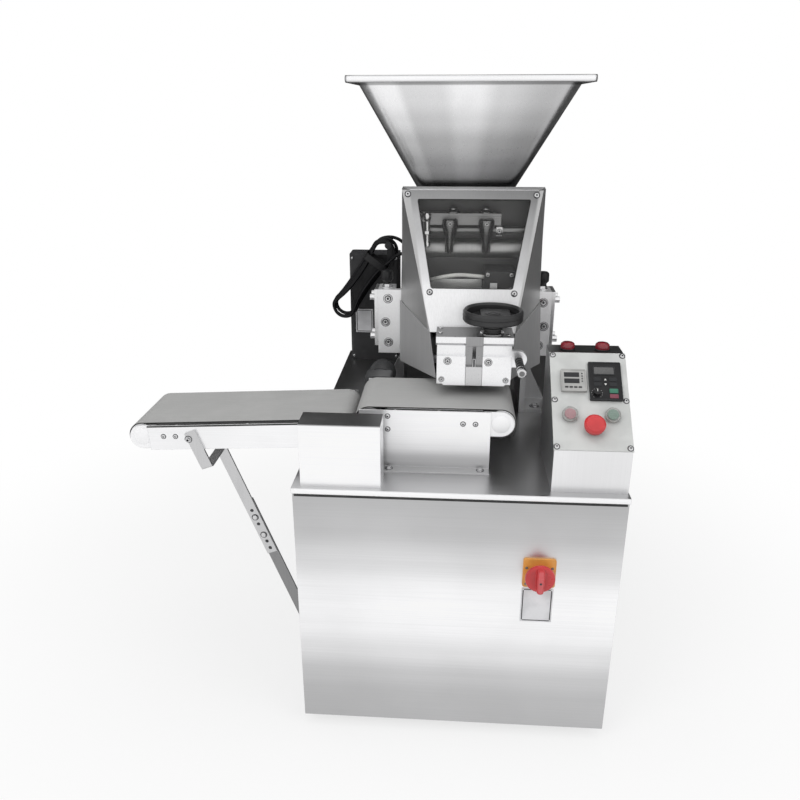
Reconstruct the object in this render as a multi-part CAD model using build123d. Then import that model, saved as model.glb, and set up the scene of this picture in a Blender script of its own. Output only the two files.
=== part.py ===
from build123d import *
import math
import os

# A bakery dough divider: dough goes from a hopper through twin feed screws and a die on to a short
# belt, and from there over a long sloping belt. Millimetres, +Z up, front towards -Y.
# The pieces are laid out with X from the cabinet's left wall, Y from its front face and Z from the
# floor. At the end all are moved so that the origin lies on the floor under the machine's middle.

# Fits and clearances
RUNNING_FIT = 0.05
MOVE_GAP = 0.5
SEAT_GAP = 0.3

# Cabinet
CABINET_WIDTH = 640.0
CABINET_DEPTH = 880.0
CABINET_HEIGHT = 555.0
SHEET = 2.0
DECK_SHEET = 3.0
LIP_HEIGHT = 11.0
PANEL_RETURN = 18.0
ANGLE_LEG = 30.0
ANGLE_SHEET = 3.0
LOUVRE_LENGTH = 120.0
LOUVRE_HEIGHT = 8.0
LOUVRE_ROWS = 7
LOUVRE_PITCH = 24.0

# Levelling feet
FOOT_HEIGHT = 30.0
FOOT_INSET = 60.0
FOOT_PLATE = 100.0
FOOT_PAD_RADIUS = 25.0
FOOT_PAD_HEIGHT = 12.0
FOOT_STUD_RADIUS = 6.0
FOOT_NUT_RADIUS = 11.0
FOOT_NUT_HEIGHT = 9.0

# Main isolator on the front panel
ISOLATOR_X = 482.0
ISOLATOR_RISE = 386.0
ISOLATOR_PLATE = 64.0
ISOLATOR_PLATE_DEPTH = 4.0
ISOLATOR_CORNER = 5.0
ISOLATOR_KNOB_RADIUS = 29.0
ISOLATOR_NECK_RADIUS = 15.0
ISOLATOR_NECK_DEPTH = 14.0
ISOLATOR_DISC_DEPTH = 8.0
ISOLATOR_GRIP_DEPTH = 10.0
ISOLATOR_GRIP_WIDTH = 16.0
ISOLATOR_SPINDLE_RADIUS = 5.0
ISOLATOR_SPINDLE_REACH = 12.0

# Control box with its sloping lid; places on the lid are (across, up the slope)
BOX_WIDTH = 145.0
BOX_FRONT = 18.0
BOX_FRONT_RISE = 88.0
BOX_TOP_DEPTH = 58.0
LID_LENGTH = 208.0
LID_SLOPE = 42.0
LID_SHEET = 2.0
LID_OVERHANG = 1.0
LID_RIM = 11.0
TIMER_AT = (42.0, 144.0)
TIMER_SIZE = 48.0
TIMER_BEZEL = 6.0
TIMER_BODY = 44.0
TIMER_DEPTH = 55.0
KEYPAD_AT = (102.5, 144.0)
KEYPAD_WIDTH = 62.0
KEYPAD_HEIGHT = 83.0
KEYPAD_BEZEL = 5.0
KEYPAD_BODY_INSET = 6.0
KEYPAD_DEPTH = 24.0
KEYPAD_CORNER = 2.0
KEYPAD_EDGE = 0.8
DIAL_AT = (85.0, 117.0)
DIAL_RADIUS = 7.0
DIAL_HEIGHT = 8.0
DIAL_STEM_RADIUS = 3.0
DIAL_STEM_LENGTH = 5.0
CUTOUT_GAP = 0.5
START_AT = (111.5, 71.0)
STOP_AT = (32.0, 71.0)
ESTOP_AT = (75.0, 46.0)
BEZEL_RADIUS = 14.5
BEZEL_HEIGHT = 6.0
BEZEL_NECK_RADIUS = 11.0
BEZEL_NECK_DEPTH = 18.0
BUTTON_RADIUS = 10.6
BUTTON_HEIGHT = 5.5
BUTTON_STEM_RADIUS = 8.0
BUTTON_STEM_LENGTH = 18.0
BUTTON_TRAVEL = 4.0
ESTOP_HEAD_RADIUS = 20.0
ESTOP_HEAD_HEIGHT = 10.0
ESTOP_TRAVEL = 4.0
LAMP_SIDE_INSET = 38.0
LAMP_BASE_RADIUS = 15.0
LAMP_BASE_HEIGHT = 5.0
LAMP_DOME_RADIUS = 13.5
LAMP_DOME_HEIGHT = 17.0

# What both conveyors share
BELT_FRONT = 110.0
BELT_WIDTH = 172.0
BELT_THICKNESS = 2.0
BELT_RUN_GAP = 0.3
BELT_EDGE_GAP = 1.0
PLATE_SHEET = 3.0
END_BLOCK_THICKNESS = 3.0
SHAFT_RADIUS = 8.0
BED_SHEET = 3.0
SPACER_RADIUS = 8.0
CONVEYOR_FOOT = 28.0
SPROCKET_RADIUS = 20.0
SPROCKET_WIDTH = 7.0
SPROCKET_TEETH = 14
TOOTH_DEPTH = 4.0
CHAIN_THICKNESS = 4.5

# Short conveyor under the die
DROP_DRIVE_SETBACK = 186.0
DROP_SPAN = 261.0
DROP_RISE = 129.0
DROP_ROLLER_RADIUS = 28.2
DROP_PLATE_HEIGHT = 124.5
DROP_PLATE_SHORT = 20.0
DROP_BLOCK_RADIUS = 26.0
DROP_BLOCK_LENGTH = 74.0

# Long outfeed conveyor, tilted down to the left about its head roller
HEAD_SETBACK = 65.0
HEAD_DROP = 27.0
OUTFEED_SPAN = 405.0
OUTFEED_TILT = 2.78
OUTFEED_ROLLER_RADIUS = 26.2
RAIL_TOP = 24.0
RAIL_BOTTOM = 29.5
RAIL_PAST_HEAD = 22.0
RAIL_SHORT = 15.0
OUTFEED_BLOCK_LENGTH = 60.0
OUTFEED_BLOCK_END = 26.0
OUTFEED_BLOCK_CORNER = 25.0
LEG_WIDTH = 60.0

# Cover over the conveyor drive, and the motor behind it
COVER_REACH = 125.0
COVER_WIDTH = 156.0
COVER_FRONT = 10.0
COVER_DEPTH = 62.0
COVER_RISE = 129.0
SPROCKET_SETBACK = 36.0
SHAFT_FRONT_STUB = 6.0
CONVEYOR_GEARBOX = 60.0
CONVEYOR_GEARBOX_LENGTH = 45.0
CONVEYOR_MOTOR_RADIUS = 29.0
CONVEYOR_MOTOR_LENGTH = 85.0
SHAFT_IN_GEARBOX = 24.0

# Support strut of the outfeed conveyor, a flat bar bent twice
STRUT_LEAN = 20.5
STRUT_WIDTH = 24.0
STRUT_THICKNESS = 5.0
STRUT_TOP_SETBACK = 272.0
STRUT_TOP_Z = 571.0
STRUT_LEG = 86.0
STRUT_UPPER_LENGTH = 277.0
STRUT_LOWER_START = 136.0
STRUT_HOLE_RADIUS = 3.6
STRUT_HOLE_FIRST = 162.0
STRUT_HOLE_PITCH = 18.5
STRUT_HOLE_GROUP = 66.0
STRUT_BEND = 6.0
LUG_REACH = 30.0
LUG_PLATE = 6.0
LUG_HEIGHT = 60.0

# Extruder body: barrel with two ears, standing on a pedestal
BODY_OFFSET = 6.0
BODY_FRONT = 408.0
SCREW_RISE = 210.0
SCREW_SPREAD = 32.5
SCREW_RADIUS = 30.0
SCREW_BORE = 31.0
SCREW_SHAFT_RADIUS = 15.0
SCREW_PITCH = 44.0
SCREW_FLIGHT = 7.0
SCREW_TAIL = 40.0
BARREL_WALL = 14.0
FRONT_PLATE = 10.0
FRONT_PLATE_HALF = 153.0
SADDLE_HALF = 120.0
SADDLE_FRONT_INSET = 12.0
EAR_INNER = 158.0
EAR_WIDTH = 38.0
EAR_DEPTH = 60.0
EAR_BOTTOM = 146.0
EAR_HEIGHT = 150.0
FLANGE_DEPTH = 14.0
EAR_COVER = 8.0
EAR_COVER_RAISE = 18.0
CAP_SCREW_RADIUS = 7.0
CAP_SCREW_HEIGHT = 11.0
CAP_SCREW_INSET = 12.0
CAP_SCREW_END_INSET = 20.0
CLAMP_STEM_RADIUS = 6.0
CLAMP_STEM_DEPTH = 20.0
CLAMP_NECK = 8.0
CLAMP_KNOB_RADIUS = 14.0
CLAMP_KNOB_HEIGHT = 32.0
CLAMP_FLUTES = 8
CLAMP_FLUTE_RADIUS = 3.0
PEDESTAL_HALF = 150.0
PEDESTAL_TOP = 131.0
PEDESTAL_PLATE = 12.0
PEDESTAL_SHEET = 12.0
PEDESTAL_FOOT_REACH = 54.0
PEDESTAL_FOOT = 8.0
GUSSET_THICKNESS = 10.0

# Throat and hopper
HOPPER_OFFSET = 3.0
THROAT_WIDTH = 198.0
THROAT_DEPTH = 172.0
THROAT_WALL = 5.0
THROAT_RISE = 520.0
HOPPER_SHEET = 2.0
HOPPER_COLLAR_GAP = 1.5
HOPPER_COLLAR = 30.0
HOPPER_BASE_WIDTH = 214.0
HOPPER_BASE_DEPTH = 180.0
HOPPER_COLLAR_CORNER = 18.0
HOPPER_BASE_CORNER = 24.0
HOPPER_TOP_WIDTH = 460.0
HOPPER_TOP_DEPTH = 360.0
HOPPER_TOP_CORNER = 48.0
HOPPER_HEIGHT = 218.0
RIM_WIDTH = 13.0
RIM_LIP = 11.0
RIM_CORNER = 12.0

# Gearmotor of the feed screws
GEARBOX_HALF = 85.0
GEARBOX_DEPTH = 105.0
GEARBOX_HEIGHT = 165.0
GEARBOX_FOOT_HALF = 70.0
GEARBOX_CORNER = 12.0
MOTOR_RADIUS = 64.0
MOTOR_LENGTH = 120.0
MOTOR_FIN = 5.0
MOTOR_FINS = 9
MOTOR_COWL = 45.0
TERMINAL_WIDTH = 72.0
TERMINAL_LENGTH = 60.0
TERMINAL_CORNER = 6.0
TERMINAL_SETBACK = 48.0
TERMINAL_RISE = 94.0

# Die, its gate and the handwheel
DIE_OFFSET = 20.0
DIE_FRONT = 182.0
DIE_HALF = 75.0
DIE_DEPTH = 50.0
DIE_CLEARANCE = 25.0
DIE_HEIGHT = 85.0
DIE_CHANNEL_RADIUS = 18.0
DIE_CHANNEL_RISE = 20.0
DIE_PLATE = 20.0
DIE_PLATE_OVERHANG = 6.0
CLAMP_PLATE = 8.0
CLAMP_PLATE_HEIGHT = 62.0
CLAMP_PLATE_BEVEL = 14.0
GATE_WIDTH = 33.0
GATE_HEIGHT = 40.0
GATE_THICKNESS = 8.0
GATE_GAP = 0.5
GATE_TRAVEL = 12.0
POINTER_WIDTH = 6.0
POINTER_RISE = 16.0
TONGUE_HEIGHT = 8.0
TONGUE_WIDTH = 20.0
SPINDLE_OFFSET = 35.0
WHEEL_HOOD_GAP = 8.0
SPINDLE_RADIUS = 8.0
SPINDLE_LEAD = 4.0
WHEEL_RADIUS = 60.0
WHEEL_RIM = 8.0
WHEEL_RIM_HEIGHT = 23.0
WHEEL_WEB = 6.0
WHEEL_HUB_RADIUS = 18.0
WHEEL_STANDOFF = 26.0
PIN_RADIUS = 6.0
PIN_REACH = 88.0
PIN_HEAD_RADIUS = 9.0
PIN_HEAD_LENGTH = 22.0
PIN_TRAVEL = 12.0
PIN_DEPTH = 25.0
PIN_LUG_RADIUS = 17.0
PIN_LUG_THICKNESS = 14.0
PIN_LUG_OUT = 14.0
PIN_RISE = 55.0

# Manifold from the barrel to the die
MANIFOLD_WALL = 11.0

# Hood over the cutter drive, and the guards beside the die
HOOD_FRONT_LOW = 255.0
HOOD_FRONT_HIGH = 328.5
HOOD_LOW_OFFSET = 17.0
HOOD_HIGH_OFFSET = 9.0
HOOD_LOW_HALF = 88.5
HOOD_HIGH_HALF = 144.5
HOOD_BACK_LOW_HALF = 156.0
HOOD_BACK_HIGH_HALF = 151.0
HOOD_LOW = 242.0
HOOD_HEIGHT = 281.5
HOOD_BACK_LIFT = 33.0
WINDOW_LOW = 91.0
WINDOW_HIGH = 272.5
WINDOW_LOW_HALF = 84.5
WINDOW_HIGH_HALF = 116.0
WINDOW_CORNER = 5.0
PANE_LAP = 8.0
PANE_THICKNESS = 3.0
GUARD_BACK_LOW = 131.0
GUARD_FRONT_LOW = 151.0
GUARD_FRONT_Y = 226.0
GUARD_DIE_GAP = 2.0

# Cutter drive behind the window
ROLLER_Y = 372.0
ROLLER_RISE = 397.0
CUTTER_ROLLER_RADIUS = 19.0
CUTTER_JOURNAL_RADIUS = 9.0
ROCKER_Y = 362.0
ROCKER_RISE = 438.0
ROCKER_RADIUS = 8.0
BEARER_OFFSET = 106.0
BEARER_SPAN = 240.0
BEARER_THICKNESS = 10.0
BEARER_FRONT_LAND = 14.0
BEAM_OFFSET = 98.0
BEAM_LENGTH = 170.0
BEAM_DEPTH = 24.0
BEAM_HEIGHT = 24.0
BEAM_GAP = 4.0
FINGER_WIDTH = 18.0
FINGER_OFFSET = 36.0
FINGER_SPREAD = 78.0
FINGER_DROP = 44.0
FINGER_NOSE = 9.0
FINGER_NOSE_FORWARD = 15.0
LINK_OFFSET = 90.0
LINK_RADIUS = 4.0
LINK_FORWARD = 20.0
LINK_DROP = 30.0
ROCKER_SWING = 5.0
HOSE_RADIUS = 4.5
# Points of the hose as (x from the barrel's middle, distance before the front plate, height above the deck)
HOSE_POINTS = (
    (-95.0, 12.0, 318.0),
    (-95.0, 39.0, 321.0),
    (-81.5, 62.4, 329.0),
    (-58.1, 75.9, 338.0),
    (-26.0, 77.5, 345.5),
    (-4.0, 77.3, 347.5),
    (25.1, 75.9, 349.0),
    (48.5, 62.4, 350.0),
    (62.0, 39.0, 350.5),
    (62.0, 12.0, 350.5),
)
FITTING_RADIUS = 7.0

# Inverter housing at the rear left, with the hank of supply cable on its hook
INVERTER_LEFT = 12.0
INVERTER_WIDTH = 138.0
INVERTER_DEPTH = 78.0
INVERTER_HEIGHT = 303.0
INVERTER_REAR_INSET = 2.0
INVERTER_CORNER = 8.0
HOOK_RADIUS = 4.0
HOOK_PAST = 14.0
HOOK_HEAD_RADIUS = 9.0
HOOK_HEAD = 4.0
HOOK_BAR_WIDTH = 16.0
HOOK_BAR_SHEET = 5.0
HOOK_BAR_LAP = 30.0
CABLE_RADIUS = 4.5
HANK_X = 55.8
HANK_RISE = 242.6
HANK_STANDOFF = 16.0
HANK_LEAN = 54.0
HANK_RUN = 189.0
HANK_ENTRY = 74.0
HANK_INNER = 27.5
HANK_PITCH = 9.6
HANK_FAN = (4.0, 6.0, 1.0, 3.0, 6.0, 7.0, 2.0, 4.0)
HANK_STAGGER = (0.0, 3.0, -4.0, 2.0, -6.0, 5.0, -2.0, 0.0)
TAIL_BEND = 40.0
TAIL_DROP = 120.0
GLAND_RADIUS = 12.0
GLAND_HEIGHT = 22.0
LEAD_RUN_IN = 27.8
# Points of the lead as (x, distance before the inverter, height above the deck), up to the hank
LEAD_POINTS = (
    (178.0, 12.0, 22.0),
    (178.0, 12.0, 86.0),
    (181.5, 14.0, 160.0),
    (178.5, 15.0, 236.0),
    (180.3, 16.0, 286.0),
    (180.1, 16.0, 314.1),
    (166.7, 16.0, 338.4),
    (143.3, 16.0, 353.2),
    (115.7, 16.0, 355.0),
)
PLUG_NECK_RADIUS = 8.0
PLUG_NECK_LENGTH = 14.0
PLUG_RADIUS = 18.0
PLUG_LENGTH = 46.0
PLUG_PIN_RADIUS = 3.0
PLUG_PIN_LENGTH = 18.0
PLUG_PIN_CIRCLE = 9.0

# Heights and places worked out from the sizes above
DECK = FOOT_HEIGHT + CABINET_HEIGHT
DECK_UNDER = DECK - DECK_SHEET
FRAME_X = (SHEET, CABINET_WIDTH - SHEET)
FRAME_Y = (PANEL_RETURN, CABINET_DEPTH - SHEET)
PANEL_TOP = DECK_UNDER - MOVE_GAP
ISOLATOR_Z = FOOT_HEIGHT + ISOLATOR_RISE
ISOLATOR_DISC_BACK = -ISOLATOR_PLATE_DEPTH - MOVE_GAP - ISOLATOR_NECK_DEPTH
ISOLATOR_REACH = ISOLATOR_DISC_DEPTH + ISOLATOR_GRIP_DEPTH - ISOLATOR_DISC_BACK
BOX_LEFT = CABINET_WIDTH - BOX_WIDTH
LID_LOW = DECK + BOX_FRONT_RISE
LID_BACK = BOX_FRONT + LID_LENGTH * math.cos(math.radians(LID_SLOPE))
LID_HIGH = LID_LOW + LID_LENGTH * math.sin(math.radians(LID_SLOPE))
BOX_BACK = LID_BACK + BOX_TOP_DEPTH
LID_NORMAL = (0, -math.sin(math.radians(LID_SLOPE)), math.cos(math.radians(LID_SLOPE)))
LID_PLANE = Plane(origin=(BOX_LEFT, BOX_FRONT, LID_LOW), x_dir=(1, 0, 0), z_dir=LID_NORMAL)
BUTTON_BASE = LID_SHEET + BUTTON_TRAVEL + MOVE_GAP
ESTOP_BASE = LID_SHEET + BEZEL_HEIGHT + ESTOP_TRAVEL + MOVE_GAP

BODY_X = CABINET_WIDTH / 2 + BODY_OFFSET
HOPPER_X = BODY_X - HOPPER_OFFSET
DIE_X = BODY_X + DIE_OFFSET
HOOD_LOW_X = BODY_X + HOOD_LOW_OFFSET
HOOD_HIGH_X = BODY_X + HOOD_HIGH_OFFSET
BEARER_LEFT = BODY_X - BEARER_OFFSET
BEAM_LEFT = BODY_X - BEAM_OFFSET
FINGER_LEFT = BODY_X - FINGER_OFFSET
LINK_X = BODY_X - LINK_OFFSET
DROP_DRIVE_X = BODY_X - DROP_DRIVE_SETBACK
COVER_LEFT = DROP_DRIVE_X - COVER_REACH

BELT_REAR = BELT_FRONT + BELT_WIDTH
PLATE_FRONT = BELT_FRONT - BELT_EDGE_GAP - END_BLOCK_THICKNESS
PLATE_REAR = BELT_REAR + BELT_EDGE_GAP + END_BLOCK_THICKNESS
PLATE_OUTER_FRONT = PLATE_FRONT - PLATE_SHEET
PLATE_OUTER_REAR = PLATE_REAR + PLATE_SHEET
DROP_BELT_INNER = DROP_ROLLER_RADIUS + BELT_RUN_GAP
DROP_Z = DECK + DROP_RISE - BELT_THICKNESS - DROP_BELT_INNER
DROP_TAIL_X = DROP_DRIVE_X + DROP_SPAN
OUTFEED_BELT_INNER = OUTFEED_ROLLER_RADIUS + BELT_RUN_GAP
OUTFEED_REACH = OUTFEED_BELT_INNER + BELT_THICKNESS
HEAD_X = DROP_DRIVE_X - HEAD_SETBACK
HEAD_Z = DROP_Z - HEAD_DROP
STRUT_TOP_X = HEAD_X - STRUT_TOP_SETBACK
TAIL_X = HEAD_X - OUTFEED_SPAN * math.cos(math.radians(OUTFEED_TILT))
TAIL_Z = HEAD_Z - OUTFEED_SPAN * math.sin(math.radians(OUTFEED_TILT))
OUTFEED_PLACE = Pos(HEAD_X, 0, HEAD_Z) * Rot(0, -OUTFEED_TILT, 0)
SPROCKET_FRONT = COVER_FRONT + SPROCKET_SETBACK
STRUT_Y = BELT_FRONT + BELT_WIDTH / 2
STRUT_DIR = (math.sin(math.radians(STRUT_LEAN)), 0, -math.cos(math.radians(STRUT_LEAN)))
STRUT_PLANE = Plane(
    origin=(STRUT_TOP_X, 0, STRUT_TOP_Z),
    x_dir=(0, 1, 0),
    z_dir=(STRUT_DIR[2], 0, -STRUT_DIR[0]),
)

SCREW_Z = DECK + SCREW_RISE
BODY_REAR = BODY_FRONT + THROAT_DEPTH + 2 * THROAT_WALL
HOPPER_Y = (BODY_FRONT + BODY_REAR) / 2
PLATE_FACE = BODY_FRONT - FRONT_PLATE
PLATE_X = (HOOD_LOW_X + HOOD_HIGH_X) / 2
EAR_Z = DECK + EAR_BOTTOM
EAR_TOP = EAR_Z + EAR_HEIGHT
THROAT_TOP = DECK + THROAT_RISE
DROP_BELT_TOP = DECK + DROP_RISE
DIE_Z = DROP_BELT_TOP + DIE_CLEARANCE
DIE_TOP = DIE_Z + DIE_HEIGHT
DIE_REAR = DIE_FRONT + DIE_DEPTH
DIE_CHANNEL_Z = DIE_Z + DIE_CHANNEL_RISE
DIE_OUTLET_Y = DIE_FRONT + DIE_DEPTH / 2
SPINDLE_X = DIE_X + SPINDLE_OFFSET
TONGUE_Z = DIE_Z + GATE_HEIGHT + MOVE_GAP
WHEEL_LOW = DIE_TOP + DIE_PLATE + WHEEL_STANDOFF
HOOD_LOW_Z = DECK + HOOD_LOW
HOOD_TOP_Z = HOOD_LOW_Z + HOOD_HEIGHT
HOOD_SLOPE = (HOOD_FRONT_HIGH - HOOD_FRONT_LOW) / HOOD_HEIGHT
HOOD_AT_WHEEL = HOOD_FRONT_LOW + HOOD_SLOPE * (WHEEL_LOW - HOOD_LOW_Z)
SPINDLE_Y = HOOD_AT_WHEEL - WHEEL_HOOD_GAP - WHEEL_RADIUS
ROLLER_Z = DECK + ROLLER_RISE
ROCKER_Z = DECK + ROCKER_RISE
BEARER_RIGHT = BEARER_LEFT + BEARER_SPAN
INVERTER_RIGHT = INVERTER_LEFT + INVERTER_WIDTH
INVERTER_FRONT = CABINET_DEPTH - INVERTER_REAR_INSET - INVERTER_DEPTH
HANK_REAR_Y = INVERTER_FRONT - HANK_STANDOFF
HANK_Z = DECK + HANK_RISE
HANK_FRONT_Y = HANK_REAR_Y - HANK_PITCH * len(HANK_FAN) / 2
HANK_ALONG = (math.cos(math.radians(HANK_LEAN)), math.sin(math.radians(HANK_LEAN)))

# The origin is on the floor, midway between the outermost faces
LEFT_END = TAIL_X - OUTFEED_REACH
RIGHT_END = CABINET_WIDTH + SHEET
ORIGIN_X = (LEFT_END + RIGHT_END) / 2
ORIGIN_Y = (CABINET_DEPTH - ISOLATOR_REACH) / 2


def box(x0, x1, y0, y1, z0, z1):
    """A box between two corners."""
    middle = Pos((x0 + x1) / 2, (y0 + y1) / 2, (z0 + z1) / 2)
    return middle * Box(x1 - x0, y1 - y0, z1 - z0)


def rod_x(y, z, radius, x0, x1):
    """A round bar along X."""
    bar = Cylinder(radius, x1 - x0, align=(Align.CENTER, Align.CENTER, Align.MIN))
    return Pos(x0, y, z) * Rot(0, 90, 0) * bar


def rod_y(x, z, radius, y0, y1):
    """A round bar along Y."""
    bar = Cylinder(radius, y1 - y0, align=(Align.CENTER, Align.CENTER, Align.MIN))
    return Pos(x, y0, z) * Rot(-90, 0, 0) * bar


def rod_z(x, y, radius, z0, z1):
    """A round bar along Z."""
    bar = Cylinder(radius, z1 - z0, align=(Align.CENTER, Align.CENTER, Align.MIN))
    return Pos(x, y, z0) * bar


def outline(points):
    """A flat face from corner points, always with its normal up."""
    turn = sum(a[0] * b[1] - b[0] * a[1] for a, b in zip(points, points[1:] + points[:1]))
    return Polygon(*(points if turn > 0 else points[::-1]), align=None)


def prism_x(face, x0, x1):
    """A face drawn in (y, z), pulled from x0 to x1."""
    return extrude(Plane.YZ.offset(x0) * face, amount=x1 - x0)


def prism_y(face, y0, y1):
    """A face drawn in (x, z), pulled from y0 to y1."""
    return extrude(Plane.XZ.offset(-y0) * face, amount=y0 - y1)


def prism_z(face, z0, z1):
    """A face drawn in (x, y), pulled from z0 to z1."""
    return extrude(Plane.XY.offset(z0) * face, amount=z1 - z0)


def turned(points):
    """A body of revolution about Z from (radius, height) points."""
    return revolve(Plane.XZ * outline(points), axis=Axis.Z)


def on_lid(place, height, shape):
    """Put a shape modelled along +Z on the control lid's outer slope."""
    return LID_PLANE.location * Pos(place[0], place[1], height) * shape


def base_frame():
    """Welded angle-iron frame with a plate for each foot."""
    (x0, x1), (y0, y1), (z0, z1) = FRAME_X, FRAME_Y, (FOOT_HEIGHT, DECK_UNDER)
    t, leg = ANGLE_SHEET, ANGLE_LEG
    frame = box(x0, x1, y0, y1, z0, z1)
    frame -= box(x0 + t, x1 - t, y0 + t, y1 - t, z0 + t, z1 - t)
    frame -= box(x0 - t, x1 + t, y0 + leg, y1 - leg, z0 + leg, z1 - leg)
    frame -= box(x0 + leg, x1 - leg, y0 - t, y1 + t, z0 + leg, z1 - leg)
    frame -= box(x0 + leg, x1 - leg, y0 + leg, y1 - leg, z0 - t, z1 + t)
    for x in (x0, x1 - FOOT_PLATE):
        for y in (y0, y1 - FOOT_PLATE):
            frame += box(x, x + FOOT_PLATE, y, y + FOOT_PLATE, z0, z0 + t)
    return frame


def levelling_feet():
    """Four pads on studs with lock nuts."""
    pad = turned([
        (0, 0),
        (FOOT_PAD_RADIUS, 0),
        (FOOT_PAD_RADIUS, FOOT_PAD_HEIGHT / 2),
        (FOOT_STUD_RADIUS * 2, FOOT_PAD_HEIGHT),
        (0, FOOT_PAD_HEIGHT),
    ])
    stud = rod_z(0, 0, FOOT_STUD_RADIUS, FOOT_PAD_HEIGHT / 2, FOOT_HEIGHT)
    nut = prism_z(RegularPolygon(FOOT_NUT_RADIUS, 6), FOOT_HEIGHT - FOOT_NUT_HEIGHT, FOOT_HEIGHT)
    foot = pad + stud + nut
    feet = Part()
    for x in (FRAME_X[0] + FOOT_INSET, FRAME_X[1] - FOOT_INSET):
        for y in (FRAME_Y[0] + FOOT_INSET, FRAME_Y[1] - FOOT_INSET):
            feet += Pos(x, y, 0) * foot
    return feet


def front_panel():
    """Folded front panel with the hole for the isolator's spindle."""
    panel = box(0, CABINET_WIDTH, 0, PANEL_RETURN, FOOT_HEIGHT, PANEL_TOP)
    panel -= box(
        SHEET, CABINET_WIDTH - SHEET, SHEET, PANEL_RETURN + SHEET,
        FOOT_HEIGHT + SHEET, PANEL_TOP - SHEET,
    )
    hole = ISOLATOR_SPINDLE_RADIUS + MOVE_GAP
    return panel - rod_y(ISOLATOR_X, ISOLATOR_Z, hole, -SHEET, PANEL_RETURN)


def side_panels():
    """The flat left and right panels."""
    panels = Part()
    for x in (0, CABINET_WIDTH - SHEET):
        panels += box(x, x + SHEET, PANEL_RETURN + MOVE_GAP, CABINET_DEPTH, FOOT_HEIGHT, PANEL_TOP)
    return panels


def rear_panel():
    """The rear panel with two banks of ventilation slots."""
    panel = box(*FRAME_X, FRAME_Y[1], CABINET_DEPTH, FOOT_HEIGHT, PANEL_TOP)
    slot = SlotOverall(LOUVRE_LENGTH, LOUVRE_HEIGHT)
    middle = FOOT_HEIGHT + CABINET_HEIGHT / 2
    for x in (CABINET_WIDTH / 4, CABINET_WIDTH * 3 / 4):
        for row in range(LOUVRE_ROWS):
            z = middle + (row - (LOUVRE_ROWS - 1) / 2) * LOUVRE_PITCH
            panel -= prism_y(Pos(x, z) * slot, FRAME_Y[1] - SHEET, CABINET_DEPTH + SHEET)
    return panel


def deck_plate():
    """The cabinet's top with a folded lip at the front and both sides."""
    low = DECK - LIP_HEIGHT
    plate = box(-SHEET, CABINET_WIDTH + SHEET, -SHEET, CABINET_DEPTH, low, DECK)
    plate -= box(0, CABINET_WIDTH, 0, CABINET_DEPTH + SHEET, low - SHEET, DECK_UNDER)
    rims = plate.edges().filter_by(Axis.X).group_by(Axis.Y)[0].group_by(Axis.Z)[-1]
    return fillet(rims, SHEET * 0.75)


def isolator_plate():
    """Square plate behind the isolator's handle."""
    face = RectangleRounded(ISOLATOR_PLATE, ISOLATOR_PLATE, ISOLATOR_CORNER)
    plate = prism_y(Pos(ISOLATOR_X, ISOLATOR_Z) * face, -ISOLATOR_PLATE_DEPTH, 0)
    bore = ISOLATOR_SPINDLE_RADIUS + RUNNING_FIT
    return plate - rod_y(ISOLATOR_X, ISOLATOR_Z, bore, -ISOLATOR_PLATE_DEPTH * 2, SHEET)


def isolator_knob():
    """Round handle with an upright grip, on a neck, and its spindle."""
    back = -ISOLATOR_PLATE_DEPTH - MOVE_GAP
    front = ISOLATOR_DISC_BACK - ISOLATOR_DISC_DEPTH
    disc = rod_y(ISOLATOR_X, ISOLATOR_Z, ISOLATOR_KNOB_RADIUS, front, ISOLATOR_DISC_BACK)
    disc = chamfer(disc.edges().filter_by(GeomType.CIRCLE).group_by(Axis.Y)[0], 2)
    grip_face = SlotOverall(ISOLATOR_KNOB_RADIUS * 1.9, ISOLATOR_GRIP_WIDTH, rotation=90)
    grip = prism_y(Pos(ISOLATOR_X, ISOLATOR_Z) * grip_face, -ISOLATOR_REACH, ISOLATOR_DISC_BACK - SHEET)
    grip = fillet(grip.edges().group_by(Axis.Y)[0], 3)
    spindle = rod_y(
        ISOLATOR_X, ISOLATOR_Z, ISOLATOR_SPINDLE_RADIUS, back - SHEET, ISOLATOR_SPINDLE_REACH
    )
    neck = rod_y(ISOLATOR_X, ISOLATOR_Z, ISOLATOR_NECK_RADIUS, ISOLATOR_DISC_BACK - SHEET, back)
    return disc + grip + neck + spindle


def control_box():
    """Folded box with a sloping front; the lid closes its window."""
    side = outline([
        (BOX_FRONT, DECK),
        (BOX_FRONT, LID_LOW),
        (LID_BACK, LID_HIGH),
        (BOX_BACK, LID_HIGH),
        (BOX_BACK, DECK),
    ])
    housing = prism_x(side, BOX_LEFT, CABINET_WIDTH)
    inside = offset(side, amount=-SHEET, kind=Kind.INTERSECTION)
    housing -= prism_x(inside, BOX_LEFT + SHEET, CABINET_WIDTH - SHEET)
    window = Box(BOX_WIDTH - 2 * LID_RIM, LID_LENGTH - 2 * LID_RIM, SHEET * 4)
    return housing - on_lid((BOX_WIDTH / 2, LID_LENGTH / 2), 0, window)


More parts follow.
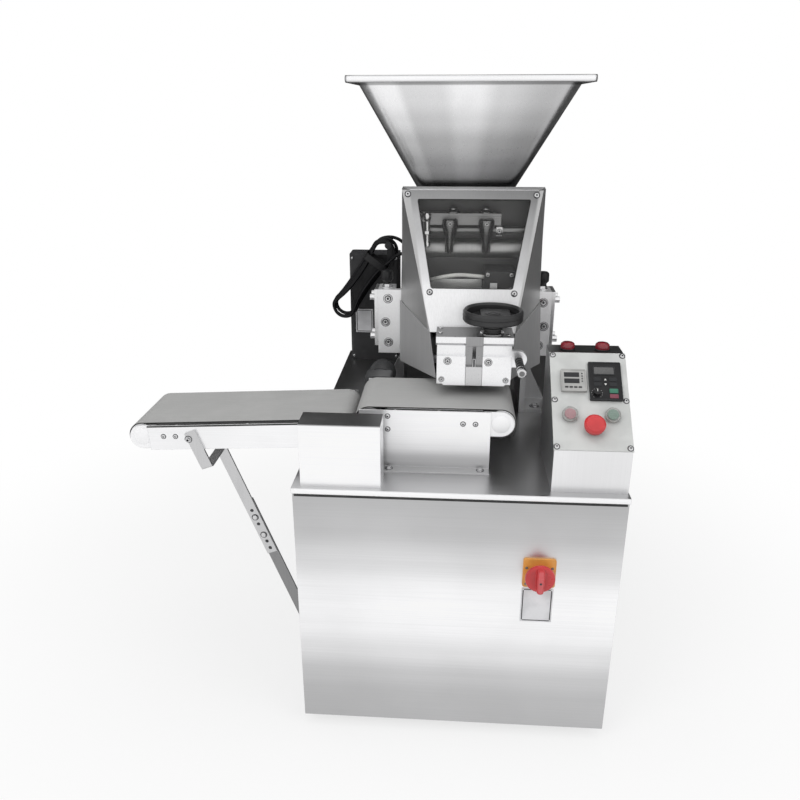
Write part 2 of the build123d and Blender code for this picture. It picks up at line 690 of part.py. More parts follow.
def control_lid():
    """Screwed lid with cut-outs for the controls."""
    lid = on_lid(
        (BOX_WIDTH / 2, LID_LENGTH / 2), LID_SHEET / 2,
        Box(BOX_WIDTH + 2 * LID_OVERHANG, LID_LENGTH + 2 * LID_OVERHANG, LID_SHEET),
    )
    timer = TIMER_BODY + 2 * CUTOUT_GAP
    lid -= on_lid(TIMER_AT, 0, Box(timer, timer, LID_SHEET * 4))
    width = KEYPAD_WIDTH - 2 * KEYPAD_BODY_INSET + 2 * CUTOUT_GAP
    height = KEYPAD_HEIGHT - 2 * KEYPAD_BODY_INSET + 2 * CUTOUT_GAP
    lid -= on_lid(KEYPAD_AT, 0, Box(width, height, LID_SHEET * 4))
    for place in (START_AT, STOP_AT, ESTOP_AT):
        lid -= on_lid(place, 0, Cylinder(BEZEL_NECK_RADIUS + CUTOUT_GAP, LID_SHEET * 4))
    return lid


def timer_relay():
    """Square panel timer with its body behind the lid."""
    low = (Align.CENTER, Align.CENTER, Align.MIN)
    bezel = fillet(Box(TIMER_SIZE, TIMER_SIZE, TIMER_BEZEL, align=low).edges().filter_by(Axis.Z), 2)
    body = Pos(0, 0, -TIMER_DEPTH) * Box(TIMER_BODY, TIMER_BODY, TIMER_DEPTH, align=low)
    return on_lid(TIMER_AT, LID_SHEET, bezel + body)


def speed_keypad():
    """Operator keypad with the seat of its dial."""
    low = (Align.CENTER, Align.CENTER, Align.MIN)
    bezel = Box(KEYPAD_WIDTH, KEYPAD_HEIGHT, KEYPAD_BEZEL, align=low)
    bezel = fillet(bezel.edges().filter_by(Axis.Z), KEYPAD_CORNER)
    bezel = chamfer(bezel.faces().sort_by(Axis.Z)[-1].edges(), KEYPAD_EDGE)
    inset = 2 * KEYPAD_BODY_INSET
    body = Box(KEYPAD_WIDTH - inset, KEYPAD_HEIGHT - inset, KEYPAD_DEPTH, align=low)
    keypad = on_lid(KEYPAD_AT, LID_SHEET, bezel + Pos(0, 0, -KEYPAD_DEPTH) * body)
    seat = Cylinder(DIAL_STEM_RADIUS + RUNNING_FIT, 2 * (DIAL_STEM_LENGTH + MOVE_GAP))
    return keypad - on_lid(DIAL_AT, LID_SHEET + KEYPAD_BEZEL, seat)


def speed_dial():
    """Knurled dial on the keypad."""
    dial = turned([
        (0, -DIAL_STEM_LENGTH),
        (DIAL_STEM_RADIUS, -DIAL_STEM_LENGTH),
        (DIAL_STEM_RADIUS, MOVE_GAP),
        (DIAL_RADIUS, MOVE_GAP),
        (DIAL_RADIUS * 0.9, DIAL_HEIGHT),
        (0, DIAL_HEIGHT),
    ])
    return on_lid(DIAL_AT, LID_SHEET + KEYPAD_BEZEL, dial)


def push_button(place):
    """Round push button with the stem that guides it."""
    top = BUTTON_BASE + BUTTON_HEIGHT
    button = turned([
        (0, BUTTON_BASE - BUTTON_STEM_LENGTH),
        (BUTTON_STEM_RADIUS, BUTTON_BASE - BUTTON_STEM_LENGTH),
        (BUTTON_STEM_RADIUS, BUTTON_BASE),
        (BUTTON_RADIUS, BUTTON_BASE),
        (BUTTON_RADIUS, top - 1),
        (BUTTON_RADIUS - 1, top),
        (0, top),
    ])
    return on_lid(place, 0, button)


def estop_button():
    """Mushroom head of the emergency stop."""
    top = ESTOP_BASE + ESTOP_HEAD_HEIGHT
    foot = ESTOP_BASE - BUTTON_STEM_LENGTH
    button = turned([
        (0, foot),
        (BUTTON_STEM_RADIUS, foot),
        (BUTTON_STEM_RADIUS, ESTOP_BASE),
        (ESTOP_HEAD_RADIUS * 0.8, ESTOP_BASE),
        (ESTOP_HEAD_RADIUS, ESTOP_BASE + ESTOP_HEAD_HEIGHT * 0.35),
        (ESTOP_HEAD_RADIUS, ESTOP_BASE + ESTOP_HEAD_HEIGHT * 0.65),
        (ESTOP_HEAD_RADIUS * 0.8, top),
        (0, top),
    ])
    return on_lid(ESTOP_AT, 0, button)


def button_bezels():
    """Bezels of the three buttons, with necks through the lid."""
    top = LID_SHEET + BEZEL_HEIGHT
    bore = BUTTON_STEM_RADIUS + RUNNING_FIT
    ring = turned([
        (bore, LID_SHEET - BEZEL_NECK_DEPTH),
        (BEZEL_NECK_RADIUS, LID_SHEET - BEZEL_NECK_DEPTH),
        (BEZEL_NECK_RADIUS, LID_SHEET),
        (BEZEL_RADIUS, LID_SHEET),
        (BEZEL_RADIUS, top - 1.5),
        (BEZEL_RADIUS - 1.5, top),
        (BUTTON_RADIUS + MOVE_GAP, top),
        (BUTTON_RADIUS + MOVE_GAP, LID_SHEET),
        (bore, LID_SHEET),
    ])
    return sum((on_lid(place, 0, ring) for place in (START_AT, STOP_AT, ESTOP_AT)), Part())


def pilot_lamps():
    """Two domed lamps on the flat top of the control box."""
    shoulder = LAMP_BASE_HEIGHT + LAMP_DOME_HEIGHT - LAMP_DOME_RADIUS
    lamp = rod_z(0, 0, LAMP_BASE_RADIUS, 0, LAMP_BASE_HEIGHT)
    lamp += rod_z(0, 0, LAMP_DOME_RADIUS, LAMP_BASE_HEIGHT / 2, shoulder)
    lamp += Pos(0, 0, shoulder) * Sphere(LAMP_DOME_RADIUS, arc_size1=0)
    y = LID_BACK + BOX_TOP_DEPTH / 2
    places = (BOX_LEFT + LAMP_SIDE_INSET, CABINET_WIDTH - LAMP_SIDE_INSET)
    return sum((Pos(x, y, LID_HIGH) * lamp for x in places), Part())


def belt_loop(span, inner):
    """Endless belt round two equal rollers, drawn about the middle of its span."""
    face = SlotCenterToCenter(span, 2 * (inner + BELT_THICKNESS)) - SlotCenterToCenter(span, 2 * inner)
    return prism_y(face, BELT_FRONT, BELT_REAR)


def belt_roller(radius, front, rear):
    """Belt roller on a shaft that runs from front to rear along Y."""
    return rod_y(0, 0, radius, BELT_FRONT, BELT_REAR) + rod_y(0, 0, SHAFT_RADIUS, front, rear)


def sprocket():
    """Chain wheel round the Y axis, at the front end of a drive shaft."""
    tooth = 360 / SPROCKET_TEETH
    root = SPROCKET_RADIUS - TOOTH_DEPTH
    points = []
    for k in range(SPROCKET_TEETH):
        for share, radius in ((-0.28, root), (-0.1, SPROCKET_RADIUS), (0.1, SPROCKET_RADIUS), (0.28, root)):
            angle = math.radians((k + share) * tooth)
            points.append((radius * math.cos(angle), radius * math.sin(angle)))
    return prism_y(outline(points), SPROCKET_FRONT, SPROCKET_FRONT + SPROCKET_WIDTH)


def shaft_hole(x, z):
    """Running bore for a roller shaft through both side plates."""
    return rod_y(
        x, z, SHAFT_RADIUS + RUNNING_FIT, PLATE_OUTER_FRONT - PLATE_SHEET, PLATE_OUTER_REAR + PLATE_SHEET
    )


def drop_frame():
    """Side plates with feet, spacer bars and slider bed of the short conveyor."""
    left, right = DROP_DRIVE_X - DROP_PLATE_SHORT, DROP_TAIL_X - DROP_PLATE_SHORT
    top = DECK + DROP_PLATE_HEIGHT
    foot = DECK + PLATE_SHEET
    frame = box(left, right, PLATE_OUTER_FRONT, PLATE_FRONT, DECK, top)
    frame += box(left, right, PLATE_REAR, PLATE_OUTER_REAR, DECK, top)
    frame += box(left, right, PLATE_FRONT - CONVEYOR_FOOT, PLATE_FRONT, DECK, foot)
    frame += box(left, right, PLATE_REAR, PLATE_REAR + CONVEYOR_FOOT, DECK, foot)
    bed_top = DROP_Z + DROP_BELT_INNER - BELT_RUN_GAP
    clear = DROP_ROLLER_RADIUS + SPACER_RADIUS
    spacer_z = bed_top - BED_SHEET / 2 - SPACER_RADIUS
    bed_left, bed_right = DROP_DRIVE_X + clear, DROP_TAIL_X - clear
    frame += box(bed_left, bed_right, BELT_FRONT, BELT_REAR, bed_top - BED_SHEET, bed_top)
    for x in (bed_left + 2 * SPACER_RADIUS, (bed_left + bed_right) / 2 + SPACER_RADIUS):
        frame += rod_y(x, spacer_z, SPACER_RADIUS, PLATE_OUTER_FRONT, PLATE_OUTER_REAR)
    return frame - shaft_hole(DROP_DRIVE_X, DROP_Z)


def drop_belt():
    """Belt of the short conveyor."""
    middle = Pos(DROP_DRIVE_X + DROP_SPAN / 2, 0, DROP_Z)
    return middle * belt_loop(DROP_SPAN, DROP_BELT_INNER)


def drop_drive_roller():
    """Driven roller, from its sprocket at the front to the gearbox at the rear."""
    roller = belt_roller(
        DROP_ROLLER_RADIUS, SPROCKET_FRONT - SHAFT_FRONT_STUB, PLATE_OUTER_REAR + SHAFT_IN_GEARBOX
    )
    return Pos(DROP_DRIVE_X, 0, DROP_Z) * (roller + sprocket())


def tail_roller(radius):
    """Idle roller between the two end blocks."""
    return belt_roller(radius, PLATE_FRONT + SEAT_GAP, PLATE_REAR - SEAT_GAP)


def drop_tail_roller():
    """Idle roller of the short conveyor."""
    return Pos(DROP_TAIL_X, 0, DROP_Z) * tail_roller(DROP_ROLLER_RADIUS)


def outfeed_frame():
    """Side rails, spacer bars, slider bed and legs of the long conveyor."""
    left, right = RAIL_SHORT - OUTFEED_SPAN, RAIL_PAST_HEAD
    frame = box(left, right, PLATE_OUTER_FRONT, PLATE_FRONT, -RAIL_BOTTOM, RAIL_TOP)
    frame += box(left, right, PLATE_REAR, PLATE_OUTER_REAR, -RAIL_BOTTOM, RAIL_TOP)
    bed_top = OUTFEED_BELT_INNER - BELT_RUN_GAP
    clear = OUTFEED_ROLLER_RADIUS + SPACER_RADIUS
    bed_left, bed_right = clear - OUTFEED_SPAN, -clear
    frame += box(bed_left, bed_right, BELT_FRONT, BELT_REAR, bed_top - BED_SHEET, bed_top)
    spacer_z = bed_top - BED_SHEET / 2 - SPACER_RADIUS
    block_end = OUTFEED_BLOCK_LENGTH - OUTFEED_SPAN + 2 * SPACER_RADIUS
    for x in (bed_right - 2 * SPACER_RADIUS, (block_end + bed_right) / 2, block_end):
        frame += rod_y(x, spacer_z, SPACER_RADIUS, PLATE_OUTER_FRONT, PLATE_OUTER_REAR)
    frame = OUTFEED_PLACE * frame
    leg_left, leg_right = HEAD_X - LEG_WIDTH / 2, HEAD_X + LEG_WIDTH / 2 - PLATE_SHEET * 3
    for outer, inner, toe in (
        (PLATE_OUTER_FRONT, PLATE_FRONT, PLATE_FRONT + CONVEYOR_FOOT),
        (PLATE_OUTER_REAR, PLATE_REAR, PLATE_REAR - CONVEYOR_FOOT),
    ):
        low_y, high_y = min(outer, inner), max(outer, inner)
        frame += box(leg_left, leg_right, low_y, high_y, DECK, HEAD_Z)
        frame += box(leg_left, leg_right, min(outer, toe), max(outer, toe), DECK, DECK + PLATE_SHEET)
    return frame - shaft_hole(HEAD_X, HEAD_Z)


def outfeed_belt():
    """Belt of the long conveyor."""
    return OUTFEED_PLACE * Pos(-OUTFEED_SPAN / 2, 0, 0) * belt_loop(OUTFEED_SPAN, OUTFEED_BELT_INNER)


def outfeed_head_roller():
    """Driven roller of the long conveyor, with its sprocket."""
    roller = belt_roller(
        OUTFEED_ROLLER_RADIUS, SPROCKET_FRONT - SHAFT_FRONT_STUB, PLATE_OUTER_REAR + SHAFT_FRONT_STUB
    )
    return Pos(HEAD_X, 0, HEAD_Z) * (roller + sprocket())


def outfeed_tail_roller():
    """Idle roller of the long conveyor."""
    return Pos(TAIL_X, 0, TAIL_Z) * tail_roller(OUTFEED_ROLLER_RADIUS)


def roller_end_blocks():
    """Round-ended bearing blocks that carry both idle rollers."""
    bore = Circle(SHAFT_RADIUS + RUNNING_FIT)
    drop_bar = Pos(-DROP_BLOCK_LENGTH / 2, 0) * Rectangle(DROP_BLOCK_LENGTH, 2 * DROP_BLOCK_RADIUS)
    drop_face = drop_bar + Circle(DROP_BLOCK_RADIUS) - bore
    low, high = -RAIL_BOTTOM + PLATE_SHEET, RAIL_TOP
    bar = outline([
        (-OUTFEED_BLOCK_END, low),
        (OUTFEED_BLOCK_LENGTH, low),
        (OUTFEED_BLOCK_LENGTH, high),
        (-OUTFEED_BLOCK_END, high),
    ])
    out_face = fillet(bar.vertices().group_by(Axis.X)[0], OUTFEED_BLOCK_CORNER) - bore
    blocks = Part()
    for y in (PLATE_FRONT, PLATE_REAR - END_BLOCK_THICKNESS):
        drop_block = prism_y(drop_face, y, y + END_BLOCK_THICKNESS)
        out_block = prism_y(out_face, y, y + END_BLOCK_THICKNESS)
        blocks += Pos(DROP_TAIL_X, 0, DROP_Z) * drop_block
        blocks += OUTFEED_PLACE * Pos(-OUTFEED_SPAN, 0, 0) * out_block
    return blocks


def drive_cover():
    """Box over the sprockets and chain, open at the back and below."""
    left, right = COVER_LEFT, COVER_LEFT + COVER_WIDTH
    back, top = COVER_FRONT + COVER_DEPTH, DECK + COVER_RISE
    cover = box(left, right, COVER_FRONT, back, DECK, top)
    return cover - box(
        left + SHEET, right - SHEET, COVER_FRONT + SHEET, back + SHEET, DECK - SHEET, top - SHEET
    )


def conveyor_gearmotor():
    """Small gearmotor on the rear side plate of the short conveyor."""
    front = PLATE_OUTER_REAR
    middle = front + CONVEYOR_GEARBOX_LENGTH
    face = RectangleRounded(CONVEYOR_GEARBOX, CONVEYOR_GEARBOX, 6)
    motor = prism_y(Pos(DROP_DRIVE_X, DROP_Z) * face, front, middle)
    motor += rod_y(
        DROP_DRIVE_X, DROP_Z, CONVEYOR_MOTOR_RADIUS, middle, middle + CONVEYOR_MOTOR_LENGTH
    )
    bore = SHAFT_RADIUS + RUNNING_FIT
    return motor - rod_y(
        DROP_DRIVE_X, DROP_Z, bore, front - SHEET, front + SHAFT_IN_GEARBOX + MOVE_GAP
    )


def conveyor_chain():
    """Chain band round the two sprockets."""
    inner = SPROCKET_RADIUS + SEAT_GAP
    span = math.hypot(HEAD_SETBACK, HEAD_DROP)
    lean = math.degrees(math.atan2(HEAD_DROP, HEAD_SETBACK))
    face = SlotCenterToCenter(span, 2 * (inner + CHAIN_THICKNESS), rotation=lean)
    face -= SlotCenterToCenter(span, 2 * inner, rotation=lean)
    middle = Pos(HEAD_X + HEAD_SETBACK / 2, HEAD_Z + HEAD_DROP / 2)
    return prism_y(middle * face, SPROCKET_FRONT, SPROCKET_FRONT + SPROCKET_WIDTH)


def strut_holes():
    """Distances down the bar of its two groups of three holes."""
    groups = (STRUT_HOLE_FIRST, STRUT_HOLE_FIRST + STRUT_HOLE_GROUP)
    return [first + k * STRUT_HOLE_PITCH for first in groups for k in range(3)]


def drill_strut(bar, first_y, last_y):
    """Drill the strut's holes through a bar lying between two depths."""
    drill = Cylinder(STRUT_HOLE_RADIUS, last_y - first_y)
    for down in strut_holes():
        bar -= STRUT_PLANE.location * Pos((first_y + last_y) / 2, down, 0) * Rot(0, 90, 0) * drill
    return bar


def strut_upper_bar():
    """Flat bar bent into a leg on the front rail, a step in depth and the upper strut."""
    t = STRUT_THICKNESS
    leg, bar = PLATE_OUTER_FRONT - t, STRUT_Y
    side = outline([
        (leg, -STRUT_LEG),
        (leg + t, -STRUT_LEG),
        (leg + t, -t),
        (bar + t, -t),
        (bar + t, STRUT_UPPER_LENGTH),
        (bar, STRUT_UPPER_LENGTH),
        (bar, 0),
        (leg, 0),
    ])
    outer_bends = [v for v in side.vertices() if v.Y in (0, -t)]
    side = fillet([v for v in outer_bends if (v.X, v.Y) in ((leg, 0), (bar + t, -t))], STRUT_BEND)
    strip = extrude(STRUT_PLANE * side, amount=STRUT_WIDTH / 2, both=True)
    return drill_strut(strip, bar - t, bar + 2 * t)


def strut_end():
    """Distance down the strut where its middle is a lug's half reach from the wall."""
    return (-LUG_REACH / 2 - STRUT_TOP_X) / STRUT_DIR[0]


def strut_lower_bar():
    """Flat bar behind the upper one, down to the lug on the cabinet."""
    t = STRUT_THICKNESS
    low_y = STRUT_Y + t
    face = outline([
        (low_y, STRUT_LOWER_START),
        (low_y + t, STRUT_LOWER_START),
        (low_y + t, strut_end()),
        (low_y, strut_end()),
    ])
    strip = extrude(STRUT_PLANE * face, amount=STRUT_WIDTH / 2, both=True)
    return drill_strut(strip, low_y - t, low_y + 2 * t)


def strut_lug():
    """Angle bracket on the cabinet's left wall that holds the strut's foot."""
    z = STRUT_TOP_Z + strut_end() * STRUT_DIR[2]
    low, high = z - LUG_HEIGHT / 4, z + LUG_HEIGHT * 3 / 4
    y = STRUT_Y + 2 * STRUT_THICKNESS
    lug = box(-LUG_REACH, 0, y, y + LUG_PLATE, low, high)
    return lug + box(-LUG_PLATE, 0, y, y + LUG_REACH, low, high)


def pedestal():
    """Trestle with outward feet and gussets that carries the barrel."""
    top = DECK + PEDESTAL_TOP
    half = PEDESTAL_HALF
    y0, y1 = BODY_FRONT + SADDLE_FRONT_INSET, BODY_REAR - SADDLE_FRONT_INSET
    stand = box(BODY_X - half, BODY_X + half, y0, y1, top - PEDESTAL_PLATE, top)
    middle = (y0 + y1) / 2
    for side in (-1, 1):
        wall = sorted((BODY_X + side * half, BODY_X + side * (half - PEDESTAL_SHEET)))
        foot = sorted((BODY_X + side * half, BODY_X + side * (half + PEDESTAL_FOOT_REACH)))
        stand += box(*wall, y0, y1, DECK, top)
        stand += box(*foot, y0, y1, DECK, DECK + PEDESTAL_FOOT)
        gusset = outline([
            (BODY_X + side * half, DECK),
            (BODY_X + side * (half + PEDESTAL_FOOT_REACH), DECK),
            (BODY_X + side * (half + PEDESTAL_FOOT_REACH), DECK + PEDESTAL_FOOT),
            (BODY_X + side * half, top - PEDESTAL_PLATE),
        ])
        stand += prism_y(gusset, middle - GUSSET_THICKNESS / 2, middle + GUSSET_THICKNESS / 2)
    return stand


def ear_sides():
    """Sign and middle X of the left and right ear."""
    middle = EAR_INNER + EAR_WIDTH / 2
    return [(-1, BODY_X - middle), (1, BODY_X + middle)]


def barrel_housing():
    """Twin-bore barrel with throat, front plate, saddle and two clamping ears."""
    wall = SCREW_BORE + BARREL_WALL
    barrel = SlotCenterToCenter(2 * SCREW_SPREAD, 2 * wall)
    housing = prism_y(Pos(BODY_X, SCREW_Z) * barrel, BODY_FRONT, BODY_REAR)
    housing += box(
        BODY_X - SADDLE_HALF, BODY_X + SADDLE_HALF,
        BODY_FRONT + SADDLE_FRONT_INSET, BODY_REAR - SADDLE_FRONT_INSET,
        DECK + PEDESTAL_TOP, SCREW_Z,
    )
    housing += box(
        PLATE_X - FRONT_PLATE_HALF, PLATE_X + FRONT_PLATE_HALF, PLATE_FACE, BODY_FRONT, EAR_Z, THROAT_TOP
    )
    housing += box(
        BODY_X - EAR_INNER, BODY_X + EAR_INNER, BODY_FRONT, BODY_FRONT + FLANGE_DEPTH, EAR_Z, EAR_TOP
    )
    for side, x in ear_sides():
        ear = box(
            x - EAR_WIDTH / 2, x + EAR_WIDTH / 2, BODY_FRONT, BODY_FRONT + EAR_DEPTH, EAR_Z, EAR_TOP
        )
        stem = CLAMP_STEM_RADIUS + RUNNING_FIT
        low = EAR_TOP - CLAMP_STEM_DEPTH - MOVE_GAP
        housing += ear - rod_z(x, BODY_FRONT + EAR_DEPTH / 2, stem, low, EAR_TOP + SHEET)
    for face, y in bearer_faces():
        housing += prism_x(face, y, y + BEARER_THICKNESS)
    x, y = HOPPER_X, HOPPER_Y
    w, d, t = THROAT_WIDTH / 2, THROAT_DEPTH / 2, THROAT_WALL
    housing += box(x - w - t, x + w + t, BODY_FRONT, y + d + t, SCREW_Z, THROAT_TOP)
    housing -= box(x - w, x + w, y - d, y + d, SCREW_Z + wall, THROAT_TOP + SHEET)
    mouth = SCREW_SPREAD + SCREW_BORE - t
    housing -= box(BODY_X - mouth, BODY_X + mouth, y - d, y + d, SCREW_Z, SCREW_Z + wall + t)
    for side in (-1, 1):
        housing -= rod_y(
            BODY_X + side * SCREW_SPREAD, SCREW_Z, SCREW_BORE, PLATE_FACE - SHEET, BODY_REAR + SHEET
        )
    return housing


def bearer_faces():
    """Bracket outlines in (y, z) with bores for the rocker and roller, and their left X."""
    low, high = ROLLER_Z - CUTTER_ROLLER_RADIUS, ROCKER_Z + BEARER_FRONT_LAND
    front = ROCKER_Y - BEARER_FRONT_LAND
    face = outline([
        (PLATE_FACE, low - BEARER_FRONT_LAND),
        (PLATE_FACE, high),
        (front, high),
        (front, low + BEARER_FRONT_LAND),
        (ROLLER_Y, low),
    ])
    face -= Pos(ROCKER_Y, ROCKER_Z) * Circle(ROCKER_RADIUS + RUNNING_FIT)
    face -= Pos(ROLLER_Y, ROLLER_Z) * Circle(CUTTER_JOURNAL_RADIUS + RUNNING_FIT)
    return [(face, BEARER_LEFT - BEARER_THICKNESS), (face, BEARER_RIGHT)]


def ear_covers():
    """Plates on the ears' outer sides, each with the heads of its four cap screws."""
    covers = Part()
    y0, y1 = BODY_FRONT, BODY_FRONT + EAR_DEPTH
    z0, z1 = EAR_Z + EAR_COVER_RAISE, EAR_TOP
    for side, middle in ear_sides():
        face = middle + side * EAR_WIDTH / 2
        back = face + side * EAR_COVER
        tip = back + side * CAP_SCREW_HEIGHT
        cover = box(min(face, back), max(face, back), y0, y1, z0, z1)
        for y in (y0 + CAP_SCREW_INSET, y1 - CAP_SCREW_INSET):
            for z in (z0 + CAP_SCREW_END_INSET, z1 - CAP_SCREW_END_INSET):
                cover += rod_x(y, z, CAP_SCREW_RADIUS, min(face, tip), max(face, tip))
        covers += cover
    return covers


def feed_screw(side):
    """Feed screw with a helical flight; the two screws are of opposite hand."""
    length = BODY_REAR - BODY_FRONT - SCREW_FLIGHT
    middle = (SCREW_RADIUS + SCREW_SHAFT_RADIUS) / 2
    turns = length - 2 * SCREW_FLIGHT
    path = Helix(SCREW_PITCH, turns, middle, lefthand=side > 0)
    start = Plane(origin=path @ 0, x_dir=(1, 0, 0), z_dir=path % 0)
    flight = sweep(
        start * Rectangle(SCREW_RADIUS - SCREW_SHAFT_RADIUS + 2, SCREW_FLIGHT), path=path, is_frenet=True
    )
    shaft = rod_z(0, 0, SCREW_SHAFT_RADIUS, -SCREW_FLIGHT, length + SCREW_TAIL)
    screw = shaft + flight
    rim = Cylinder(SCREW_RADIUS, 4 * length) - Cylinder(SCREW_SHAFT_RADIUS / 2, 4 * length)
    screw = screw & (rim + shaft)
    return Pos(BODY_X + side * SCREW_SPREAD, BODY_FRONT + SCREW_FLIGHT, SCREW_Z) * Rot(-90, 0, 0) * screw


def main_gearmotor():
    """Gearbox with two outputs and a finned motor behind the barrel."""
    rear = BODY_REAR + GEARBOX_DEPTH
    face = RectangleRounded(2 * GEARBOX_HALF, GEARBOX_HEIGHT, GEARBOX_CORNER)
    unit = prism_y(Pos(BODY_X, SCREW_Z) * face, BODY_REAR, rear)
    unit += box(
        BODY_X - GEARBOX_FOOT_HALF, BODY_X + GEARBOX_FOOT_HALF,
        BODY_REAR + GEARBOX_CORNER, rear - GEARBOX_CORNER, DECK, SCREW_Z,
    )
    unit += rod_y(BODY_X, SCREW_Z, MOTOR_RADIUS - MOTOR_FIN, rear, rear + MOTOR_LENGTH)
    pitch = MOTOR_LENGTH / MOTOR_FINS
    for k in range(MOTOR_FINS):
        y = rear + (k + 0.25) * pitch
        unit += rod_y(BODY_X, SCREW_Z, MOTOR_RADIUS, y, y + pitch / 2)
    cowl = rod_y(
        BODY_X, SCREW_Z, MOTOR_RADIUS, rear + MOTOR_LENGTH, rear + MOTOR_LENGTH + MOTOR_COWL
    )
    unit += chamfer(cowl.edges().filter_by(GeomType.CIRCLE).group_by(Axis.Y)[-1], MOTOR_FIN)
    terminals = RectangleRounded(TERMINAL_WIDTH, TERMINAL_LENGTH, TERMINAL_CORNER)
    terminals = prism_z(Pos(BODY_X, rear + TERMINAL_SETBACK) * terminals, SCREW_Z, SCREW_Z + TERMINAL_RISE)
    unit += chamfer(terminals.faces().sort_by(Axis.Z)[-1].edges(), MOTOR_FIN / 2)
    tail = SCREW_TAIL + MOVE_GAP
    for side in (-1, 1):
        unit -= rod_y(
            BODY_X + side * SCREW_SPREAD, SCREW_Z, SCREW_SHAFT_RADIUS + RUNNING_FIT,
            BODY_REAR - SHEET, BODY_REAR + tail,
        )
    return unit


def rounded_section(width, depth, corner, z):
    """Rounded rectangle about the hopper's axis at one height."""
    return Pos(HOPPER_X, HOPPER_Y, z) * RectangleRounded(width, depth, corner)


def hopper():
    """Tapered hopper with a collar in the throat and a folded rim."""
    t = HOPPER_SHEET
    top = THROAT_TOP + HOPPER_HEIGHT
    base = (HOPPER_BASE_WIDTH, HOPPER_BASE_DEPTH, HOPPER_BASE_CORNER)
    mouth = (HOPPER_TOP_WIDTH, HOPPER_TOP_DEPTH, HOPPER_TOP_CORNER)
    body = loft([rounded_section(*base, THROAT_TOP), rounded_section(*mouth, top)], ruled=True)
    collar_width = THROAT_WIDTH - 2 * HOPPER_COLLAR_GAP
    collar_depth = THROAT_DEPTH - 2 * HOPPER_COLLAR_GAP
    collar = rounded_section(collar_width, collar_depth, HOPPER_COLLAR_CORNER, 0)
    body += prism_z(collar, THROAT_TOP - HOPPER_COLLAR, THROAT_TOP + t)
    rim = (HOPPER_TOP_WIDTH + 2 * RIM_WIDTH, HOPPER_TOP_DEPTH + 2 * RIM_WIDTH)
    flange = prism_z(rounded_section(*rim, RIM_CORNER, 0), top - RIM_LIP, top + t)
    hollow = rounded_section(rim[0] - 2 * t, rim[1] - 2 * t, RIM_CORNER - t, 0)
    body += flange - prism_z(hollow, top - RIM_LIP - t, top)
    inner = loft(
        [
            rounded_section(base[0] - 2 * t, base[1] - 2 * t, base[2] - t, THROAT_TOP + t),
            rounded_section(mouth[0] - 2 * t, mouth[1] - 2 * t, mouth[2] - t, top + t),
        ],
        ruled=True,
    )
    body -= inner
    neck = rounded_section(collar_width - 2 * t, collar_depth - 2 * t, HOPPER_COLLAR_CORNER - t, 0)
    return body - prism_z(neck, THROAT_TOP - HOPPER_COLLAR - t, THROAT_TOP + 2 * t)


def manifold_section(wall, y, near_die):
    """Section of the manifold, grown by a wall, at one depth."""
    if near_die:
        size = 2 * (DIE_CHANNEL_RADIUS + wall)
        face = RectangleRounded(size, size, DIE_CHANNEL_RADIUS + wall - 1)
        return Plane.XZ.offset(-y) * Pos(DIE_X, DIE_CHANNEL_Z) * face
    height = 2 * (SCREW_BORE + wall)
    face = RectangleRounded(2 * SCREW_SPREAD + height, height, SCREW_BORE + wall - 1)
    return Plane.XZ.offset(-y) * Pos(BODY_X, SCREW_Z) * face


def nozzle_manifold():
    """Tapered duct from the twin bores to the die's round channel."""
    outside = loft(
        [manifold_section(MANIFOLD_WALL, PLATE_FACE, False), manifold_section(MANIFOLD_WALL, DIE_REAR, True)],
        ruled=True,
    )
    inside = loft([manifold_section(0, PLATE_FACE, False), manifold_section(0, DIE_REAR, True)], ruled=True)
    return outside - inside


def die_block():
    """Block that turns the dough down to the belt, with the gate's groove and the pin's lug."""
    left, right = DIE_X - DIE_HALF, DIE_X + DIE_HALF
    block = box(left, right, DIE_FRONT, DIE_REAR, DIE_Z, DIE_TOP)
    lug_x, lug_z = right + PIN_LUG_OUT, DIE_Z + PIN_RISE
    lug = rod_y(lug_x, lug_z, PIN_LUG_RADIUS, DIE_FRONT, DIE_FRONT + PIN_LUG_THICKNESS)
    lug += box(
        right - SHEET, lug_x, DIE_FRONT, DIE_FRONT + PIN_LUG_THICKNESS,
        lug_z - PIN_LUG_RADIUS, lug_z + PIN_LUG_RADIUS,
    )
    block += lug
    block -= rod_y(DIE_X, DIE_CHANNEL_Z, DIE_CHANNEL_RADIUS, DIE_OUTLET_Y, DIE_REAR + SHEET)
    block -= rod_z(DIE_X, DIE_OUTLET_Y, DIE_CHANNEL_RADIUS, DIE_Z - SHEET, DIE_CHANNEL_Z)
    block -= Pos(DIE_X, DIE_OUTLET_Y, DIE_CHANNEL_Z) * Sphere(DIE_CHANNEL_RADIUS)
    groove = GATE_WIDTH / 2 + GATE_GAP
    depth = DIE_FRONT + GATE_THICKNESS - CLAMP_PLATE + GATE_GAP
    block -= box(DIE_X - groove, DIE_X + groove, DIE_FRONT - SHEET, depth, DIE_Z - SHEET, DIE_TOP + SHEET)
    pocket_low = TONGUE_Z - GATE_GAP
    nut = TONGUE_WIDTH / 2 + GATE_GAP
    block -= box(
        DIE_X - groove, SPINDLE_X + nut, DIE_FRONT + CLAMP_PLATE / 2, SPINDLE_Y + nut,
        pocket_low, DIE_TOP + SHEET,
    )
    pointer = POINTER_WIDTH / 2 + GATE_GAP
    block -= box(
        DIE_X - pointer, DIE_X + pointer, DIE_FRONT - SHEET, DIE_FRONT + CLAMP_PLATE,
        pocket_low, DIE_TOP + SHEET,
    )
    bore = PIN_RADIUS + RUNNING_FIT
    return block - rod_y(lug_x, lug_z, bore, DIE_FRONT - SHEET, DIE_FRONT + PIN_LUG_THICKNESS + SHEET)


